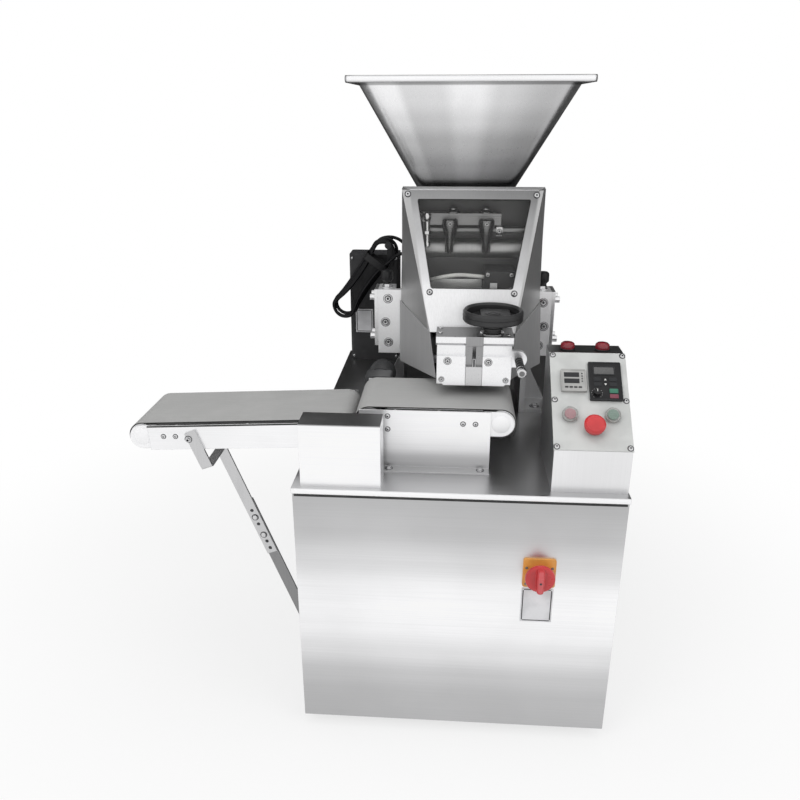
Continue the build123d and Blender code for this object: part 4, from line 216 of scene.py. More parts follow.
@dataclass
class Form:
    """Points and faces of one piece in machine millimetres, gathered patch by patch."""

    points: list[np.ndarray] = field(default_factory=list)
    faces: list[list[int]] = field(default_factory=list)
    count: int = 0

    def add(self, local: np.ndarray, faces: Sequence[np.ndarray], seats: Iterable[Seat]) -> "Form":
        """Take in one patch on each seat.

        Args:
            local: Points along the seat's right, up and outward directions.
            faces: Groups of faces, numbered within the patch.
            seats: Where the patch stands.

        Returns:
            This form.
        """
        for seat in seats:
            flat = seat.place(local).reshape(-1, 3)
            for group in faces:
                self.faces.extend((group + self.count).tolist())
            self.points.append(flat)
            self.count += len(flat)
        return self

    def spun(self, rings: Sequence[Ring], seats: Iterable[Seat], steps: int = 36) -> "Form":
        """Add a turned solid on each seat.

        A ring of radius r and height h gives (r f cos t, r f sin t, h). The factor f is 1 on a round
        ring, and cos(pi/n) / cos(t mod 2pi/n - pi/n) on a ring with n flat sides.

        Args:
            rings: The rings from one pole to the other, or round a closed section back to the first.
            seats: Where the axis stands.
            steps: Points round each ring.

        Returns:
            This form.
        """
        full = [(*ring, 0)[:3] for ring in rings]
        radius, height, sides = (np.array(column, float)[:, None] for column in zip(*full))
        t = np.linspace(0, 2 * math.pi, steps, endpoint=False)[None, :]
        part = 2 * math.pi / np.maximum(sides, 3)
        flat = np.cos(part / 2) / np.cos(np.mod(t, part) - part / 2)
        reach = radius * np.where(sides > 2, flat, 1.0)
        local = np.stack([reach * np.cos(t), reach * np.sin(t), height + 0 * t], -1)
        return self.add(local, [band_faces(len(rings), steps)], seats)

    def plate(self, outline: np.ndarray, layers: Sequence[Pair], seats: Iterable[Seat]) -> "Form":
        """Add a plate on each seat: an outline carried through layers, closed by a flat face at both ends.

        A layer (inset, height) gives outline + inset n at that height, where n is the inward direction
        at a point, the sum of its two edge normals over 1 plus their product.

        Args:
            outline: Points anticlockwise.
            layers: Inset and height of each layer, from the seat outwards.
            seats: Where the plate lies.

        Returns:
            This form.
        """
        edge = np.roll(outline, -1, 0) - outline
        edge /= np.linalg.norm(edge, axis=1, keepdims=True)
        after = np.stack([-edge[:, 1], edge[:, 0]], -1)
        before = np.roll(after, 1, 0)
        inward = (before + after) / (1 + np.sum(before * after, 1, keepdims=True))
        inset, height = (np.array(column, float)[:, None, None] for column in zip(*layers))
        flat = outline[None] + inset * inward[None]
        local = np.concatenate([flat, np.broadcast_to(height, flat.shape[:2] + (1,))], -1)
        around = len(outline)
        ends = np.stack([np.arange(around)[::-1], np.arange(around) + around * (len(layers) - 1)])
        return self.add(local, [band_faces(len(layers), around), ends], seats)

    def hoop(self, outlines: Sequence[np.ndarray], heights: Sequence[float], seats: Iterable[Seat]) -> "Form":
        """Add a closed ring on each seat, its section running through outlines at heights and back."""
        local = np.stack([np.insert(outline, 2, height, 1) for outline, height in zip(outlines, heights)])
        return self.add(local, [band_faces(len(outlines), len(outlines[0]), True)], seats)

    def band(self, outer: np.ndarray, inner: np.ndarray, levels: Pair, seats: Iterable[Seat]) -> "Form":
        """Add a ring of square section between two outlines and two levels on each seat."""
        low, high = levels
        return self.hoop((outer, outer, inner, inner), (low, high, high, low), seats)

    def block(self, size: Slab, seats: Iterable[Seat]) -> "Form":
        """Add a rectangular plate with eased edges on each seat.

        Args:
            size: Width, height, depth and ease, and the corner radius where it isn't the ease.
            seats: Where the plate lies.

        Returns:
            This form.
        """
        width, height, deep, ease = size[:4]
        layers = ((0, -BED), (0, deep - ease), (0.3 * ease, deep - 0.3 * ease), (ease, deep))
        return self.plate(rounded(width, height, size[-1]), layers, seats)


def grey(tone: float) -> Color:
    """Return a grey with full alpha."""
    return (tone, tone, tone, 1.0)


def tinted(color: Vec, times: float = 1.0, plus: float = 0.0) -> Color:
    """Return a colour multiplied and raised, at most 1, with full alpha."""
    return tuple(min(1.0, times * part + plus) for part in color) + (1.0,)


class Board:
    """Short calls that add nodes to one tree and join them."""

    def __init__(self, tree: bpy.types.NodeTree) -> None:
        """Keep the tree."""
        self.tree = tree

    @classmethod
    def cleared(cls, owner: bpy.types.Material | bpy.types.World) -> "Board":
        """Return a board on the owner's tree, emptied.

        Args:
            owner: Material or world that gets the nodes.

        Returns:
            The board.
        """
        owner.use_nodes = True
        owner.node_tree.nodes.clear()
        return cls(owner.node_tree)

    def node(self, kind: str, inputs: dict | None = None, **settings: object) -> bpy.types.Node:
        """Add a node.

        Args:
            kind: Its type, without the leading ShaderNode.
            inputs: Socket or value for each input that is fed.
            settings: Its own settings.

        Returns:
            The node.
        """
        made = self.tree.nodes.new("ShaderNode" + kind)
        for key, value in settings.items():
            setattr(made, key, value)
        for key, value in (inputs or {}).items():
            self.feed(made.inputs[key], value)
        return made

    def feed(self, socket: Socket, value: object) -> None:
        """Join an input to a socket, or set its value.

        Args:
            socket: The input.
            value: Socket that feeds it, or a plain value.
        """
        if isinstance(value, Socket):
            self.tree.links.new(value, socket)
        else:
            socket.default_value = value

    def place(self) -> Socket:
        """Return the point in the piece's own frame."""
        return self.node("TexCoord").outputs["Object"]

    def noise(self, place: Socket, scale: object, detail: float, roughness: float = 0.5) -> Socket:
        """Return a noise's value."""
        inputs = {"Vector": place, "Scale": scale, "Detail": detail, "Roughness": roughness}
        return self.node("TexNoise", inputs).outputs[0]

    def sum(self, operation: str, first: object, second: object, clamp: bool = False) -> Socket:
        """Return a math node's value."""
        return self.node("Math", {0: first, 1: second}, operation=operation, use_clamp=clamp).outputs[0]

    def spread(self, value: Socket, low: object, high: object, start: float = 0.0,
               end: float = 1.0) -> Socket:
        """Return a value eased from the range low to high into the range start to end."""
        inputs = {"Value": value, "From Min": low, "From Max": high, "To Min": start, "To Max": end}
        return self.node("MapRange", inputs, interpolation_type="SMOOTHSTEP").outputs[0]

    def blend(self, factor: object, first: object, second: object, mode: str = "MIX") -> Socket:
        """Return a mix of two colours."""
        inputs = {0: factor, 6: first, 7: second}
        return self.node("Mix", inputs, data_type="RGBA", blend_type=mode).outputs[2]

    def mixed(self, factor: Socket, first: Socket, second: Socket) -> Socket:
        """Return a mix of two shaders."""
        return self.node("MixShader", {0: factor, 1: first, 2: second}).outputs[0]

    def bump(self, height: Socket, strength: float, distance: float, normal: Socket | None = None) -> Socket:
        """Return a normal roughened by a height.

        Args:
            height: The height.
            strength: Share of it that shows.
            distance: What a height of 1 stands for, in metres.
            normal: Normal that it starts from, where not the face's own.

        Returns:
            The normal.
        """
        inputs = {"Height": height, "Strength": strength, "Distance": distance}
        if normal is not None:
            inputs["Normal"] = normal
        return self.node("Bump", inputs).outputs[0]

    def use(self, group: "Shared", **inputs: object) -> Sockets:
        """Add a shared group with its inputs, and return its outputs."""
        return self.node("Group", inputs, node_tree=group.tree()).outputs

    def seen(self) -> Socket:
        """Tell a camera ray, and a ray that a mirror or a pane sends on, from the rest.

        Returns:
            1 on such a ray, and 0 on others.
        """
        path = self.node("LightPath").outputs
        sent_on = self.sum("MAXIMUM", path["Is Glossy Ray"], path["Is Transmission Ray"])
        return self.sum("MAXIMUM", path["Is Camera Ray"], sent_on)

    def surface(self, **inputs: object) -> None:
        """Join a principled surface to the output, with its inputs' names written with underscores."""
        fed = {key.replace("_", " "): value for key, value in inputs.items()}
        self.end(self.node("BsdfPrincipled", fed).outputs[0])

    def end(self, shader: Socket, output: str = "OutputMaterial") -> None:
        """Join a shader to the tree's output."""
        self.tree.links.new(shader, self.node(output).inputs["Surface"])


class Shared(Enum):
    """The shared shader groups: name, inputs and outputs with their socket kinds."""

    GRAIN = ("Brush grain", (("Stretch", "Vector"),), (("Grain", "Float"), ("Cloud", "Float")))
    EDGE = ("Worn edge", (("Radius", "Float"),), (("Edge", "Float"), ("Normal", "Vector")))
    SMUDGE = ("Smudge", (("Scale", "Float"), ("Low", "Float"), ("High", "Float")), (("Mask", "Float"),))
    SPECKLE = ("Moulded speckle", (("Scale", "Float"),), (("Height", "Float"), ("Tone", "Float")))

    def tree(self) -> bpy.types.NodeTree:
        """Build the group when first asked for.

        Returns:
            The group's tree.
        """
        name, inputs, outputs = self.value
        found = bpy.data.node_groups.get(name)
        if found:
            return found
        tree = bpy.data.node_groups.new(name, "ShaderNodeTree")
        for label, kind in inputs:
            tree.interface.new_socket(label, in_out="INPUT", socket_type="NodeSocket" + kind)
        for label, kind in outputs:
            tree.interface.new_socket(label, in_out="OUTPUT", socket_type="NodeSocket" + kind)
        board = Board(tree)
        made = BUILDERS[self](board, tree.nodes.new("NodeGroupInput").outputs)
        given = tree.nodes.new("NodeGroupOutput").inputs
        for label, value in made.items():
            board.feed(given[label], value)
        return tree


def build_grain(board: Board, taken: Sockets) -> dict[str, Socket]:
    """Lay out long fine streaks, and slow clouds over the sheet.

    Args:
        board: Board of the group.
        taken: The group's inputs.

    Returns:
        What each output gives.
    """
    place = board.place()
    stretched = board.node("Mapping", {"Vector": place, "Scale": taken["Stretch"]}).outputs[0]
    return {"Grain": board.noise(stretched, 1.0, 3.0, 0.6), "Cloud": board.noise(place, 3.1, 3.0, 0.55)}


def build_edge(board: Board, taken: Sockets) -> dict[str, Socket]:
    """Lay out a softened normal, and a mask where it leaves the true one.

    Args:
        board: Board of the group.
        taken: The group's inputs.

    Returns:
        What each output gives.
    """
    soft = board.node("Bevel", {"Radius": taken["Radius"]}, samples=4).outputs[0]
    true = board.node("NewGeometry").outputs["Normal"]
    agree = board.node("VectorMath", {0: soft, 1: true}, operation="DOT_PRODUCT").outputs["Value"]
    return {"Edge": board.spread(agree, 0.995, 0.90), "Normal": soft}


def build_smudge(board: Board, taken: Sockets) -> dict[str, Socket]:
    """Lay out uneven patches between two levels of a cloud."""
    cloud = board.noise(board.place(), taken["Scale"], 4.0, 0.62)
    return {"Mask": board.spread(cloud, taken["Low"], taken["High"])}


def build_speckle(board: Board, taken: Sockets) -> dict[str, Socket]:
    """Lay out the fine grain of a mould, and a slow drift of tone."""
    place = board.place()
    return {"Height": board.noise(place, taken["Scale"], 2.0), "Tone": board.noise(place, 24.0, 3.0)}


BUILDERS = {
    Shared.GRAIN: build_grain,
    Shared.EDGE: build_edge,
    Shared.SMUDGE: build_smudge,
    Shared.SPECKLE: build_speckle,
}


class Brush(Enum):
    """The way the grain of a steel face runs, as streaks per metre along X, Y and Z."""

    ALONG_X = (3.0, 420.0, 420.0)
    ALONG_Y = (420.0, 3.0, 420.0)
    ALONG_Z = (420.0, 420.0, 3.0)
    ABOUT_X = (900.0, 6.0, 6.0)
    ABOUT_Y = (6.0, 900.0, 6.0)
    ABOUT_Z = (6.0, 6.0, 900.0)
    MILLED = (300.0, 180.0, 240.0)


@dataclass(frozen=True)
class Finish:
    """A finish worked out by shader nodes, made into one material when first asked for."""

    name: str
    slot: str

    def material(self) -> bpy.types.Material:
        """Build the material when first asked for.

        Returns:
            The material.
        """
        found = bpy.data.materials.get(self.name)
        if found:
            return found
        made = bpy.data.materials.new(self.name)
        self.build(Board.cleared(made))
        return made

    def build(self, board: Board) -> None:
        """Lay out the nodes; each kind of finish does its own."""
        raise NotImplementedError


@dataclass(frozen=True)
class Tones:
    """Tones of a sheet along one axis, as (place in machine millimetres, tone) pairs.

    Where an apex is given the tones fan out from it: the place is the distance from the middle, over the
    height above the apex.
    """

    axis: int
    stops: Pairs
    middle: float = 0.0
    apex: float | None = None

    def color(self, board: Board) -> Socket:
        """Lay out a ramp of the tones.

        Args:
            board: Board of the material.

        Returns:
            The tone at a point, as a colour.
        """
        place = board.node("SeparateXYZ", {0: board.place()}).outputs
        along = place[self.axis]
        ends = [(spot - ORIGIN[self.axis]) * MM for spot, _ in self.stops]
        if self.apex is not None:
            off = board.sum("SUBTRACT", along, (self.middle - ORIGIN[self.axis]) * MM)
            along = board.sum("DIVIDE", off, board.sum("SUBTRACT", place[2], self.apex * MM))
            ends = [spot for spot, _ in self.stops]
        share = board.node("MapRange", {"Value": along, "From Min": ends[0], "From Max": ends[-1]})
        ramp = board.node("ValToRGB", {"Fac": share.outputs[0]})
        ramp.color_ramp.interpolation = "EASE"
        marks = ramp.color_ramp.elements
        while len(marks) < len(ends):
            marks.new(0.5)
        for mark, end, (_, tone) in zip(marks, ends, self.stops):
            mark.position = (end - ends[0]) / (ends[-1] - ends[0])
            mark.color = grey(tone)
        return ramp.outputs[0]


@dataclass(frozen=True)
class Steel(Finish):
    """Brushed or machined stainless steel, with painted reflection and shade, where given, as tones along an
    axis or two.

    A matt share takes the place of metal; a side shade is a mask and the tone of painted shade laid there.
    """

    tone: float = 1.0
    roughness: float = 0.3
    brush: Brush = Brush.ALONG_X
    contrast: float = 0.1
    relief: float = 0.04
    bevel: float = 0.0012
    tones: tuple[Tones, ...] = ()
    matt: float = 0.0
    side_shade: tuple[Tones, float] | None = None
    cool: float = 1.01
    worn: Color = (0.9, 0.9, 0.91, 1.0)
    wear: float = 0.3
    smear: float = 0.06

    def build(self, board: Board) -> None:
        """Lay out streaks, clouds, finger smudges and bright worn edges over the tone and its painted light
        and shade.

        Args:
            board: Board of the material.
        """
        grain = board.use(Shared.GRAIN, Stretch=self.brush.value)
        edge = board.use(Shared.EDGE, Radius=self.bevel)
        smudge = board.use(Shared.SMUDGE, Scale=9.0, Low=0.52, High=0.72)
        streak = board.spread(grain["Grain"], 0.28, 0.72, 1.0 - self.contrast, 1.0 + self.contrast * 0.5)
        cloud = board.spread(grain["Cloud"], 0.3, 0.7, 0.95, 1.04)
        base = (self.tone, self.tone, self.tone * self.cool, 1.0)
        color = board.blend(1.0, base, board.sum("MULTIPLY", streak, cloud), "MULTIPLY")
        for tones in self.tones:
            color = board.blend(1.0, color, tones.color(board), "MULTIPLY")
        # Painted shade on the faces that the mask picks out
        if self.side_shade:
            mask, tone = self.side_shade
            color = board.blend(mask.color(board), color, grey(tone))
        color = board.blend(board.sum("MULTIPLY", edge["Edge"], self.wear), color, self.worn)
        rough = board.spread(smudge["Mask"], 0.0, 1.0, self.roughness, self.roughness + self.smear)
        streaky = board.spread(grain["Grain"], 0.2, 0.8, -0.04, 0.05)
        board.surface(Base_Color=color, Metallic=1.0 - self.matt,
                      Roughness=board.sum("ADD", rough, streaky, clamp=True),
                      Normal=board.bump(grain["Grain"], self.relief, 0.0004, edge["Normal"]))


@dataclass(frozen=True)
class Paint(Finish):
    """Sprayed paint on metal, with a slight orange peel and scuffed edges."""

    color: Vec = (0.5, 0.5, 0.5)
    roughness: float = 0.4
    peel: float = 260.0
    relief: float = 0.07
    wear: float = 0.4
    smear: float = 0.12

    def build(self, board: Board) -> None:
        """Lay out the colour, its drift, rubbed edges and the peel of the spray.

        Args:
            board: Board of the material.
        """
        speckle = board.use(Shared.SPECKLE, Scale=self.peel)
        edge = board.use(Shared.EDGE, Radius=0.0012)
        smudge = board.use(Shared.SMUDGE, Scale=14.0, Low=0.5, High=0.75)
        drift = board.spread(speckle["Tone"], 0.35, 0.65)
        color = board.blend(drift, tinted(self.color), tinted(self.color, 0.88))
        rubbed = board.sum("MULTIPLY", edge["Edge"], self.wear)
        color = board.blend(rubbed, color, tinted(self.color, 1.3, 0.06))
        rough = board.spread(smudge["Mask"], 0.0, 1.0, self.roughness, self.roughness + self.smear)
        board.surface(Base_Color=color, Roughness=rough,
                      Normal=board.bump(speckle["Height"], self.relief, 0.0006, edge["Normal"]))


@dataclass(frozen=True)
class Plastic(Finish):
    """Moulded plastic or rubber with a fine mould grain and a little dust."""

    color: Vec = (0.03, 0.03, 0.03)
    roughness: float = 0.3
    speckle: float = 900.0
    relief: float = 0.08
    dust: float = 0.05
    coat: float = 0.0
    shine: float = 0.5
    flour: Color = (0.75, 0.74, 0.7, 1.0)
    wear: float = 0.45

    def build(self, board: Board) -> None:
        """Lay out the colour, flour dust, edges and mould grain.

        Args:
            board: Board of the material.
        """
        speckle = board.use(Shared.SPECKLE, Scale=self.speckle)
        edge = board.use(Shared.EDGE, Radius=0.0009)
        smudge = board.use(Shared.SMUDGE, Scale=30.0, Low=0.5, High=0.8)
        drift = board.spread(speckle["Tone"], 0.35, 0.65)
        color = board.blend(drift, tinted(self.color), tinted(self.color, 0.82))
        color = board.blend(board.sum("MULTIPLY", smudge["Mask"], self.dust), color, self.flour)
        rubbed = board.sum("MULTIPLY", edge["Edge"], self.wear)
        color = board.blend(rubbed, color, tinted(self.color, 1.25, 0.05))
        rough = board.spread(speckle["Tone"], 0.3, 0.7, self.roughness - 0.05, self.roughness + 0.06)
        board.surface(Base_Color=color, Roughness=rough, Coat_Weight=self.coat, Coat_Roughness=0.08,
                      Specular_IOR_Level=self.shine,
                      Normal=board.bump(speckle["Height"], self.relief, 0.0004, edge["Normal"]))


@dataclass(frozen=True)
class Belt(Finish):
    """Woven food belt: crossing threads under a thin coat, with flour rubbed in."""

    color: Vec = (0.42, 0.42, 0.415)
    roughness: float = 0.62
    threads: float = 520.0
    flour: Color = (0.6, 0.6, 0.59, 1.0)
    dust: float = 0.12

    def build(self, board: Board) -> None:
        """Lay out threads along and across the belt, worn tracks and flour.

        Args:
            board: Board of the material.
        """
        scale = {"Vector": board.place(), "Scale": self.threads, "Distortion": 0.4, "Detail": 1.0}
        along = board.node("TexWave", scale, bands_direction="X").outputs["Fac"]
        across = board.node("TexWave", scale, bands_direction="Y").outputs["Fac"]
        weave = board.sum("MULTIPLY", along, across)
        smudge = board.use(Shared.SMUDGE, Scale=11.0, Low=0.42, High=0.75)
        grain = board.use(Shared.GRAIN, Stretch=Brush.ALONG_X.value)
        color = board.blend(weave, tinted(self.color, 0.86), tinted(self.color))
        color = board.blend(board.sum("MULTIPLY", smudge["Mask"], self.dust), color, self.flour)
        color = board.blend(1.0, color, board.spread(grain["Grain"], 0.35, 0.7, 0.96, 1.02), "MULTIPLY")
        board.surface(Base_Color=color, Roughness=self.roughness, Normal=board.bump(weave, 0.18, 0.0006))


@dataclass(frozen=True)
class ClearPane(Finish):
    """Clear acrylic or silicone that mirrors at a slant, with faint wiping marks."""

    tint: Vec = (0.95, 0.95, 0.945)
    index: float = 1.24
    haze: float = 0.01
    mirror: float = 0.92
    film: float = 0.82

    def build(self, board: Board) -> None:
        """Lay out a see-through face with a mirror that grows with the slant.

        Args:
            board: Board of the material.
        """
        smudge = board.use(Shared.SMUDGE, Scale=16.0, Low=0.45, High=0.8)
        grain = board.use(Shared.GRAIN, Stretch=Brush.ALONG_X.value)
        clear = board.node("BsdfTransparent", {"Color": tinted(self.tint)})
        inputs = {"Color": grey(self.mirror), "Roughness": board.spread(smudge["Mask"], 0.0, 1.0, 0.03, 0.16),
                  "Normal": board.bump(grain["Cloud"], 0.02, 0.002)}
        mirror = board.node("BsdfGlossy", inputs)
        haze = board.node("BsdfDiffuse", {"Color": grey(self.film)})
        slant = board.node("Fresnel", {"IOR": self.index}).outputs[0]
        marks = board.sum("MAXIMUM", board.sum("MULTIPLY", smudge["Mask"], 0.02), self.haze)
        film = board.mixed(marks, clear.outputs[0], haze.outputs[0])
        board.end(board.mixed(slant, film, mirror.outputs[0]))


@dataclass(frozen=True)
class LampDome(Finish):
    """Clear coloured dome with ribs pressed inside it."""

    color: Vec = (0.25, 0.006, 0.018)
    ribs: float = 240.0

    def build(self, board: Board) -> None:
        """Lay out a coloured see-through body over ribs that run up the dome.

        Args:
            board: Board of the material.
        """
        inputs = {"Vector": board.place(), "Scale": self.ribs}
        wave = board.node("TexWave", inputs, bands_direction="X").outputs["Fac"]
        speckle = board.use(Shared.SPECKLE, Scale=700.0)
        color = board.blend(wave, tinted(self.color, 0.6), tinted(self.color))
        rough = board.spread(speckle["Tone"], 0.3, 0.7, 0.10, 0.2)
        board.surface(Base_Color=color, Roughness=rough, Subsurface_Weight=0.2, Coat_Weight=0.6,
                      Coat_Roughness=0.04, Normal=board.bump(wave, 0.25, 0.0008))


# Painted reflection: the front sheet is lightest in a band at about half its height and darker above and
# below
PANEL_PAINTED_REFLECTION = Tones(2, ((30, 0.52), (100, 0.53), (150, 0.6), (210, 0.79), (270, 0.94),
                        (320, 0.98), (360, 0.95), (430, 0.74), (500, 0.57), (581, 0.51)))
# Painted highlight and shade: the hopper darkens towards its bottom, with bright bands fanning up its left
# bend and its middle
HOPPER_PAINTED_LIGHT = (
    Tones(2, ((1105, 0.18), (1150, 0.36), (1200, 0.56), (1240, 0.78), (1280, 0.97), (1306, 1.0),
              (1309, 0.45), (1326, 0.5))),
    Tones(0, ((-0.62, 0.25), (-0.59, 0.45), (-0.54, 1.0), (-0.4, 1.0), (-0.34, 0.78), (-0.16, 0.82),
              (-0.05, 1.0), (0.04, 1.0), (0.18, 0.76), (0.44, 0.55), (0.53, 0.6), (0.575, 0.85), (0.62, 0.2)),
          middle=323.0, apex=925.0),
)
# Painted reflection and shade: the hood is brightest just above its foot, dims towards its roof and darkens
# to the right
HOOD_PAINTED_LIGHT = (
    Tones(2, ((790, 0.6), (827, 0.95), (905, 0.92), (960, 0.7), (1040, 0.5), (1110, 0.3))),
    Tones(0, ((180, 1.0), (300, 1.0), (440, 0.8), (490, 0.6))),
)
# Painted shade: picks out the hood's sloping sides, which its finish darkens to half tone
HOOD_SIDES_PAINTED_SHADE = Tones(0, ((-0.3, 1.0), (-0.158, 1.0), (-0.153, 0.0), (0.153, 0.0), (0.158, 1.0), (0.3, 1.0)),
                   middle=339.0, apex=254.0)
# Painted shade: the barrel's wall behind the hood's pane is dark, and the barrel darkens upwards inside the
# hood
BARREL_PAINTED_SHADE = (
    Tones(1, ((397, 0.14), (407, 0.16), (407.8, 1.0), (470, 0.85), (590, 0.8))),
    Tones(2, ((731, 1.0), (945, 1.0), (1000, 0.7), (1060, 0.45), (1105, 0.4))),
)
# Painted highlight and shade: the rolled bead is bright along its middle and darker at its top and bottom
RIM_PAINTED_LIGHT = Tones(2, ((1311, 0.4), (1313.6, 0.74), (1317.4, 1.0), (1320.6, 1.0), (1323.6, 0.8),
                      (1326, 0.5)))
# Painted shade: the lower guards darken to the right of their middle
GUARD_PAINTED_SHADE = Tones(0, ((180, 1.0), (330, 1.0), (360, 0.85), (500, 0.8)))
# Painted highlight and reflection: the lip's front is white, and the deck darkens towards the rear
DECK_PAINTED_LIGHT = Tones(1, ((-3, 1.0), (-1.2, 1.0), (0.4, 0.6), (330, 0.55), (470, 0.36), (880, 0.34)))
# Painted shade: the rocker is dark below 997 mm, so its finger blocks read as shadow behind the cones
ROCKER_PAINTED_SHADE = Tones(2, ((930, 0.2), (997, 0.2), (999, 1.0), (1060, 1.0)))
STRIP_TONES = Tones(0, ((270, 1.0), (327.6, 1.0), (328.4, 0.36), (363.6, 0.36), (364.4, 1.0), (422, 1.0)))
# Painted reflection: the control box is dark on its top
BOX_TOP_PAINTED_SHADE = Tones(2, ((585, 1.0), (809, 1.0), (811.6, 0.25), (813, 0.22)))
# Painted reflection: the drive cover is dark on its top
COVER_TOP_PAINTED_SHADE = Tones(2, ((585, 1.0), (711, 1.0), (713.4, 0.3), (715, 0.28)))
# Painted shade: the drop plate darkens towards the deck
DROP_PAINTED_SHADE = Tones(2, ((585, 0.55), (605, 0.62), (632, 0.96), (645, 1.0), (712, 1.0)))
# Painted reflection: the die cover is dark on its top
DIE_TOP_PAINTED_SHADE = Tones(2, ((739, 1.0), (842, 1.0), (843.6, 0.2), (845, 0.2)))

PANEL = Steel("front sheet", "stainless", roughness=0.38, contrast=0.035, relief=0.025, tones=(PANEL_PAINTED_REFLECTION,))
SIDE = Steel("side sheet", "stainless", tone=0.62, brush=Brush.ALONG_Y, roughness=0.5, matt=0.25)
DECKING = Steel("deck sheet", "stainless", roughness=0.32, contrast=0.03, relief=0.006, tones=(DECK_PAINTED_LIGHT,))
BOXING = Steel("control box sheet", "stainless", tone=0.84, brush=Brush.ALONG_Z, roughness=0.34,
               contrast=0.02, relief=0.01, tones=(BOX_TOP_PAINTED_SHADE,))
HOODING = Steel("hood sheet", "stainless", brush=Brush.ALONG_Z, roughness=0.4, contrast=0.05, matt=0.15,
                tones=HOOD_PAINTED_LIGHT, side_shade=(HOOD_SIDES_PAINTED_SHADE, 0.5))
GUARDING = Steel("guard sheet", "stainless", tone=0.47, brush=Brush.ALONG_Z, roughness=0.75, matt=0.3,
                 tones=(GUARD_PAINTED_SHADE,))
HOPPING = Steel("hopper sheet", "stainless", brush=Brush.ALONG_Z, contrast=0.04, relief=0.01,
                tones=HOPPER_PAINTED_LIGHT)
RIM = Steel("hopper rim", "stainless", roughness=0.28, contrast=0.03, matt=0.15, tones=(RIM_PAINTED_LIGHT,))
# Pale steel laid on as painted highlight and painted reflection: the lip's front, the hood's roof and behind
# the hose
HIGHLIGHT_SHEET = Steel("pale sheet of painted highlight", "stainless", roughness=0.34, contrast=0.03, matt=0.35)
COVERING = Steel("cover sheet", "stainless", tone=0.97, roughness=0.34, contrast=0.03, relief=0.02,
                 tones=(COVER_TOP_PAINTED_SHADE,))
RAILS = Steel("rail plate", "stainless", tone=0.95, roughness=0.34, contrast=0.03, relief=0.02)
DROPPING = Steel("drop plate", "stainless", roughness=0.36, contrast=0.03, relief=0.02, matt=0.3,
                 tones=(DROP_PAINTED_SHADE,))
BAR = Steel("strut bar", "stainless", tone=0.62, brush=Brush.ALONG_Z, contrast=0.05)
LOWER_BAR = Steel("lower strut bar", "stainless", tone=0.28, brush=Brush.ALONG_Z, contrast=0.05)
STAND = Steel("pedestal plate", "bright_steel", tone=0.55, brush=Brush.ALONG_Z, roughness=0.36, contrast=0.04)
BARREL = Steel("barrel steel", "bright_steel", brush=Brush.MILLED, roughness=0.32, contrast=0.03,
               relief=0.008, matt=0.45, tones=BARREL_PAINTED_SHADE)
MILLED = Steel("milled steel", "bright_steel", tone=0.88, brush=Brush.MILLED, contrast=0.05, relief=0.02)
DIE_COVER = Steel("die cover steel", "bright_steel", tone=0.92, brush=Brush.MILLED, contrast=0.04,
                  relief=0.02, tones=(DIE_TOP_PAINTED_SHADE,))
DIE_BLOCK = Steel("die block steel", "bright_steel", tone=0.9, brush=Brush.MILLED, contrast=0.04, relief=0.02,
                  tones=(STRIP_TONES,))
GATE = Steel("gate steel", "bright_steel", tone=0.62, brush=Brush.MILLED, contrast=0.04, relief=0.02)
STRIP = Steel("gate slide steel", "bright_steel", tone=0.34, brush=Brush.ALONG_Z, roughness=0.34,
              contrast=0.06)
# Painted shade: dark copies of bright steel for the parts inside the hood
DRIVE = Steel("drive steel", "bright_steel", tone=0.24, contrast=0.06, relief=0.01)
ROCKING = Steel("rocker steel", "bright_steel", tone=0.26, contrast=0.06, relief=0.01, tones=(ROCKER_PAINTED_SHADE,))
FINGER = Steel("finger steel", "bright_steel", tone=0.2, brush=Brush.ABOUT_Z, roughness=0.24, contrast=0.07,
               relief=0.006)
CHROME = Steel("chromed rod", "bright_steel", tone=0.78, brush=Brush.ABOUT_Z, roughness=0.12, contrast=0.05)
TURNED_X = Steel("steel turned about X", "bright_steel", tone=0.5, brush=Brush.ABOUT_X, roughness=0.4)
TURNED_Y = Steel("steel turned about Y", "bright_steel", tone=0.7, brush=Brush.ABOUT_Y, roughness=0.24)
BOLTING = Steel("bolt steel", "bright_steel", tone=0.66, brush=Brush.MILLED, roughness=0.2, bevel=0.0005)
DARK_STEEL = Steel("oiled chain steel", "chain_steel", tone=0.2, brush=Brush.MILLED, roughness=0.4)
WHITE = Steel("white end blocks", "pale_plastic", tone=0.97, brush=Brush.MILLED, roughness=0.42,
              contrast=0.02, relief=0.01, matt=0.5)
PRIMER = Paint("grey primer", "frame_steel", (0.19, 0.2, 0.21), 0.5)
MOTOR = Paint("motor paint", "motor_paint", (0.055, 0.056, 0.058), 0.38)
LID = Paint("lid paint", "pale_paint", (0.55, 0.56, 0.55), 0.42, peel=420.0)
BLACK = Plastic("black plastic", "black_plastic", (0.01, 0.01, 0.011), 0.36, dust=0.012, shine=0.35)
DARK = Plastic("dark housing", "dark_housing", (0.034, 0.034, 0.036), 0.45, dust=0.02, shine=0.35)
WHEEL = Plastic("handwheel plastic", "dark_housing", (0.022, 0.022, 0.023), 0.4, relief=0.04, dust=0.015)
PALE = Plastic("pale plastic", "pale_plastic", (0.42, 0.42, 0.41), 0.4)
RED = Plastic("red plastic", "red_plastic", (0.58, 0.03, 0.035), relief=0.03, coat=0.3, dust=0.02)
GRIP = Plastic("red grip", "red_plastic", (0.66, 0.09, 0.1), relief=0.03, coat=0.3)
PINK = Plastic("faded red plastic", "red_plastic", (0.42, 0.10, 0.14), relief=0.03, coat=0.3)
GREEN = Plastic("green plastic", "green_plastic", (0.04, 0.19, 0.12), relief=0.03, coat=0.3)
AMBER = Plastic("amber plastic", "amber_plastic", (0.8, 0.37, 0.08), 0.36, relief=0.04)
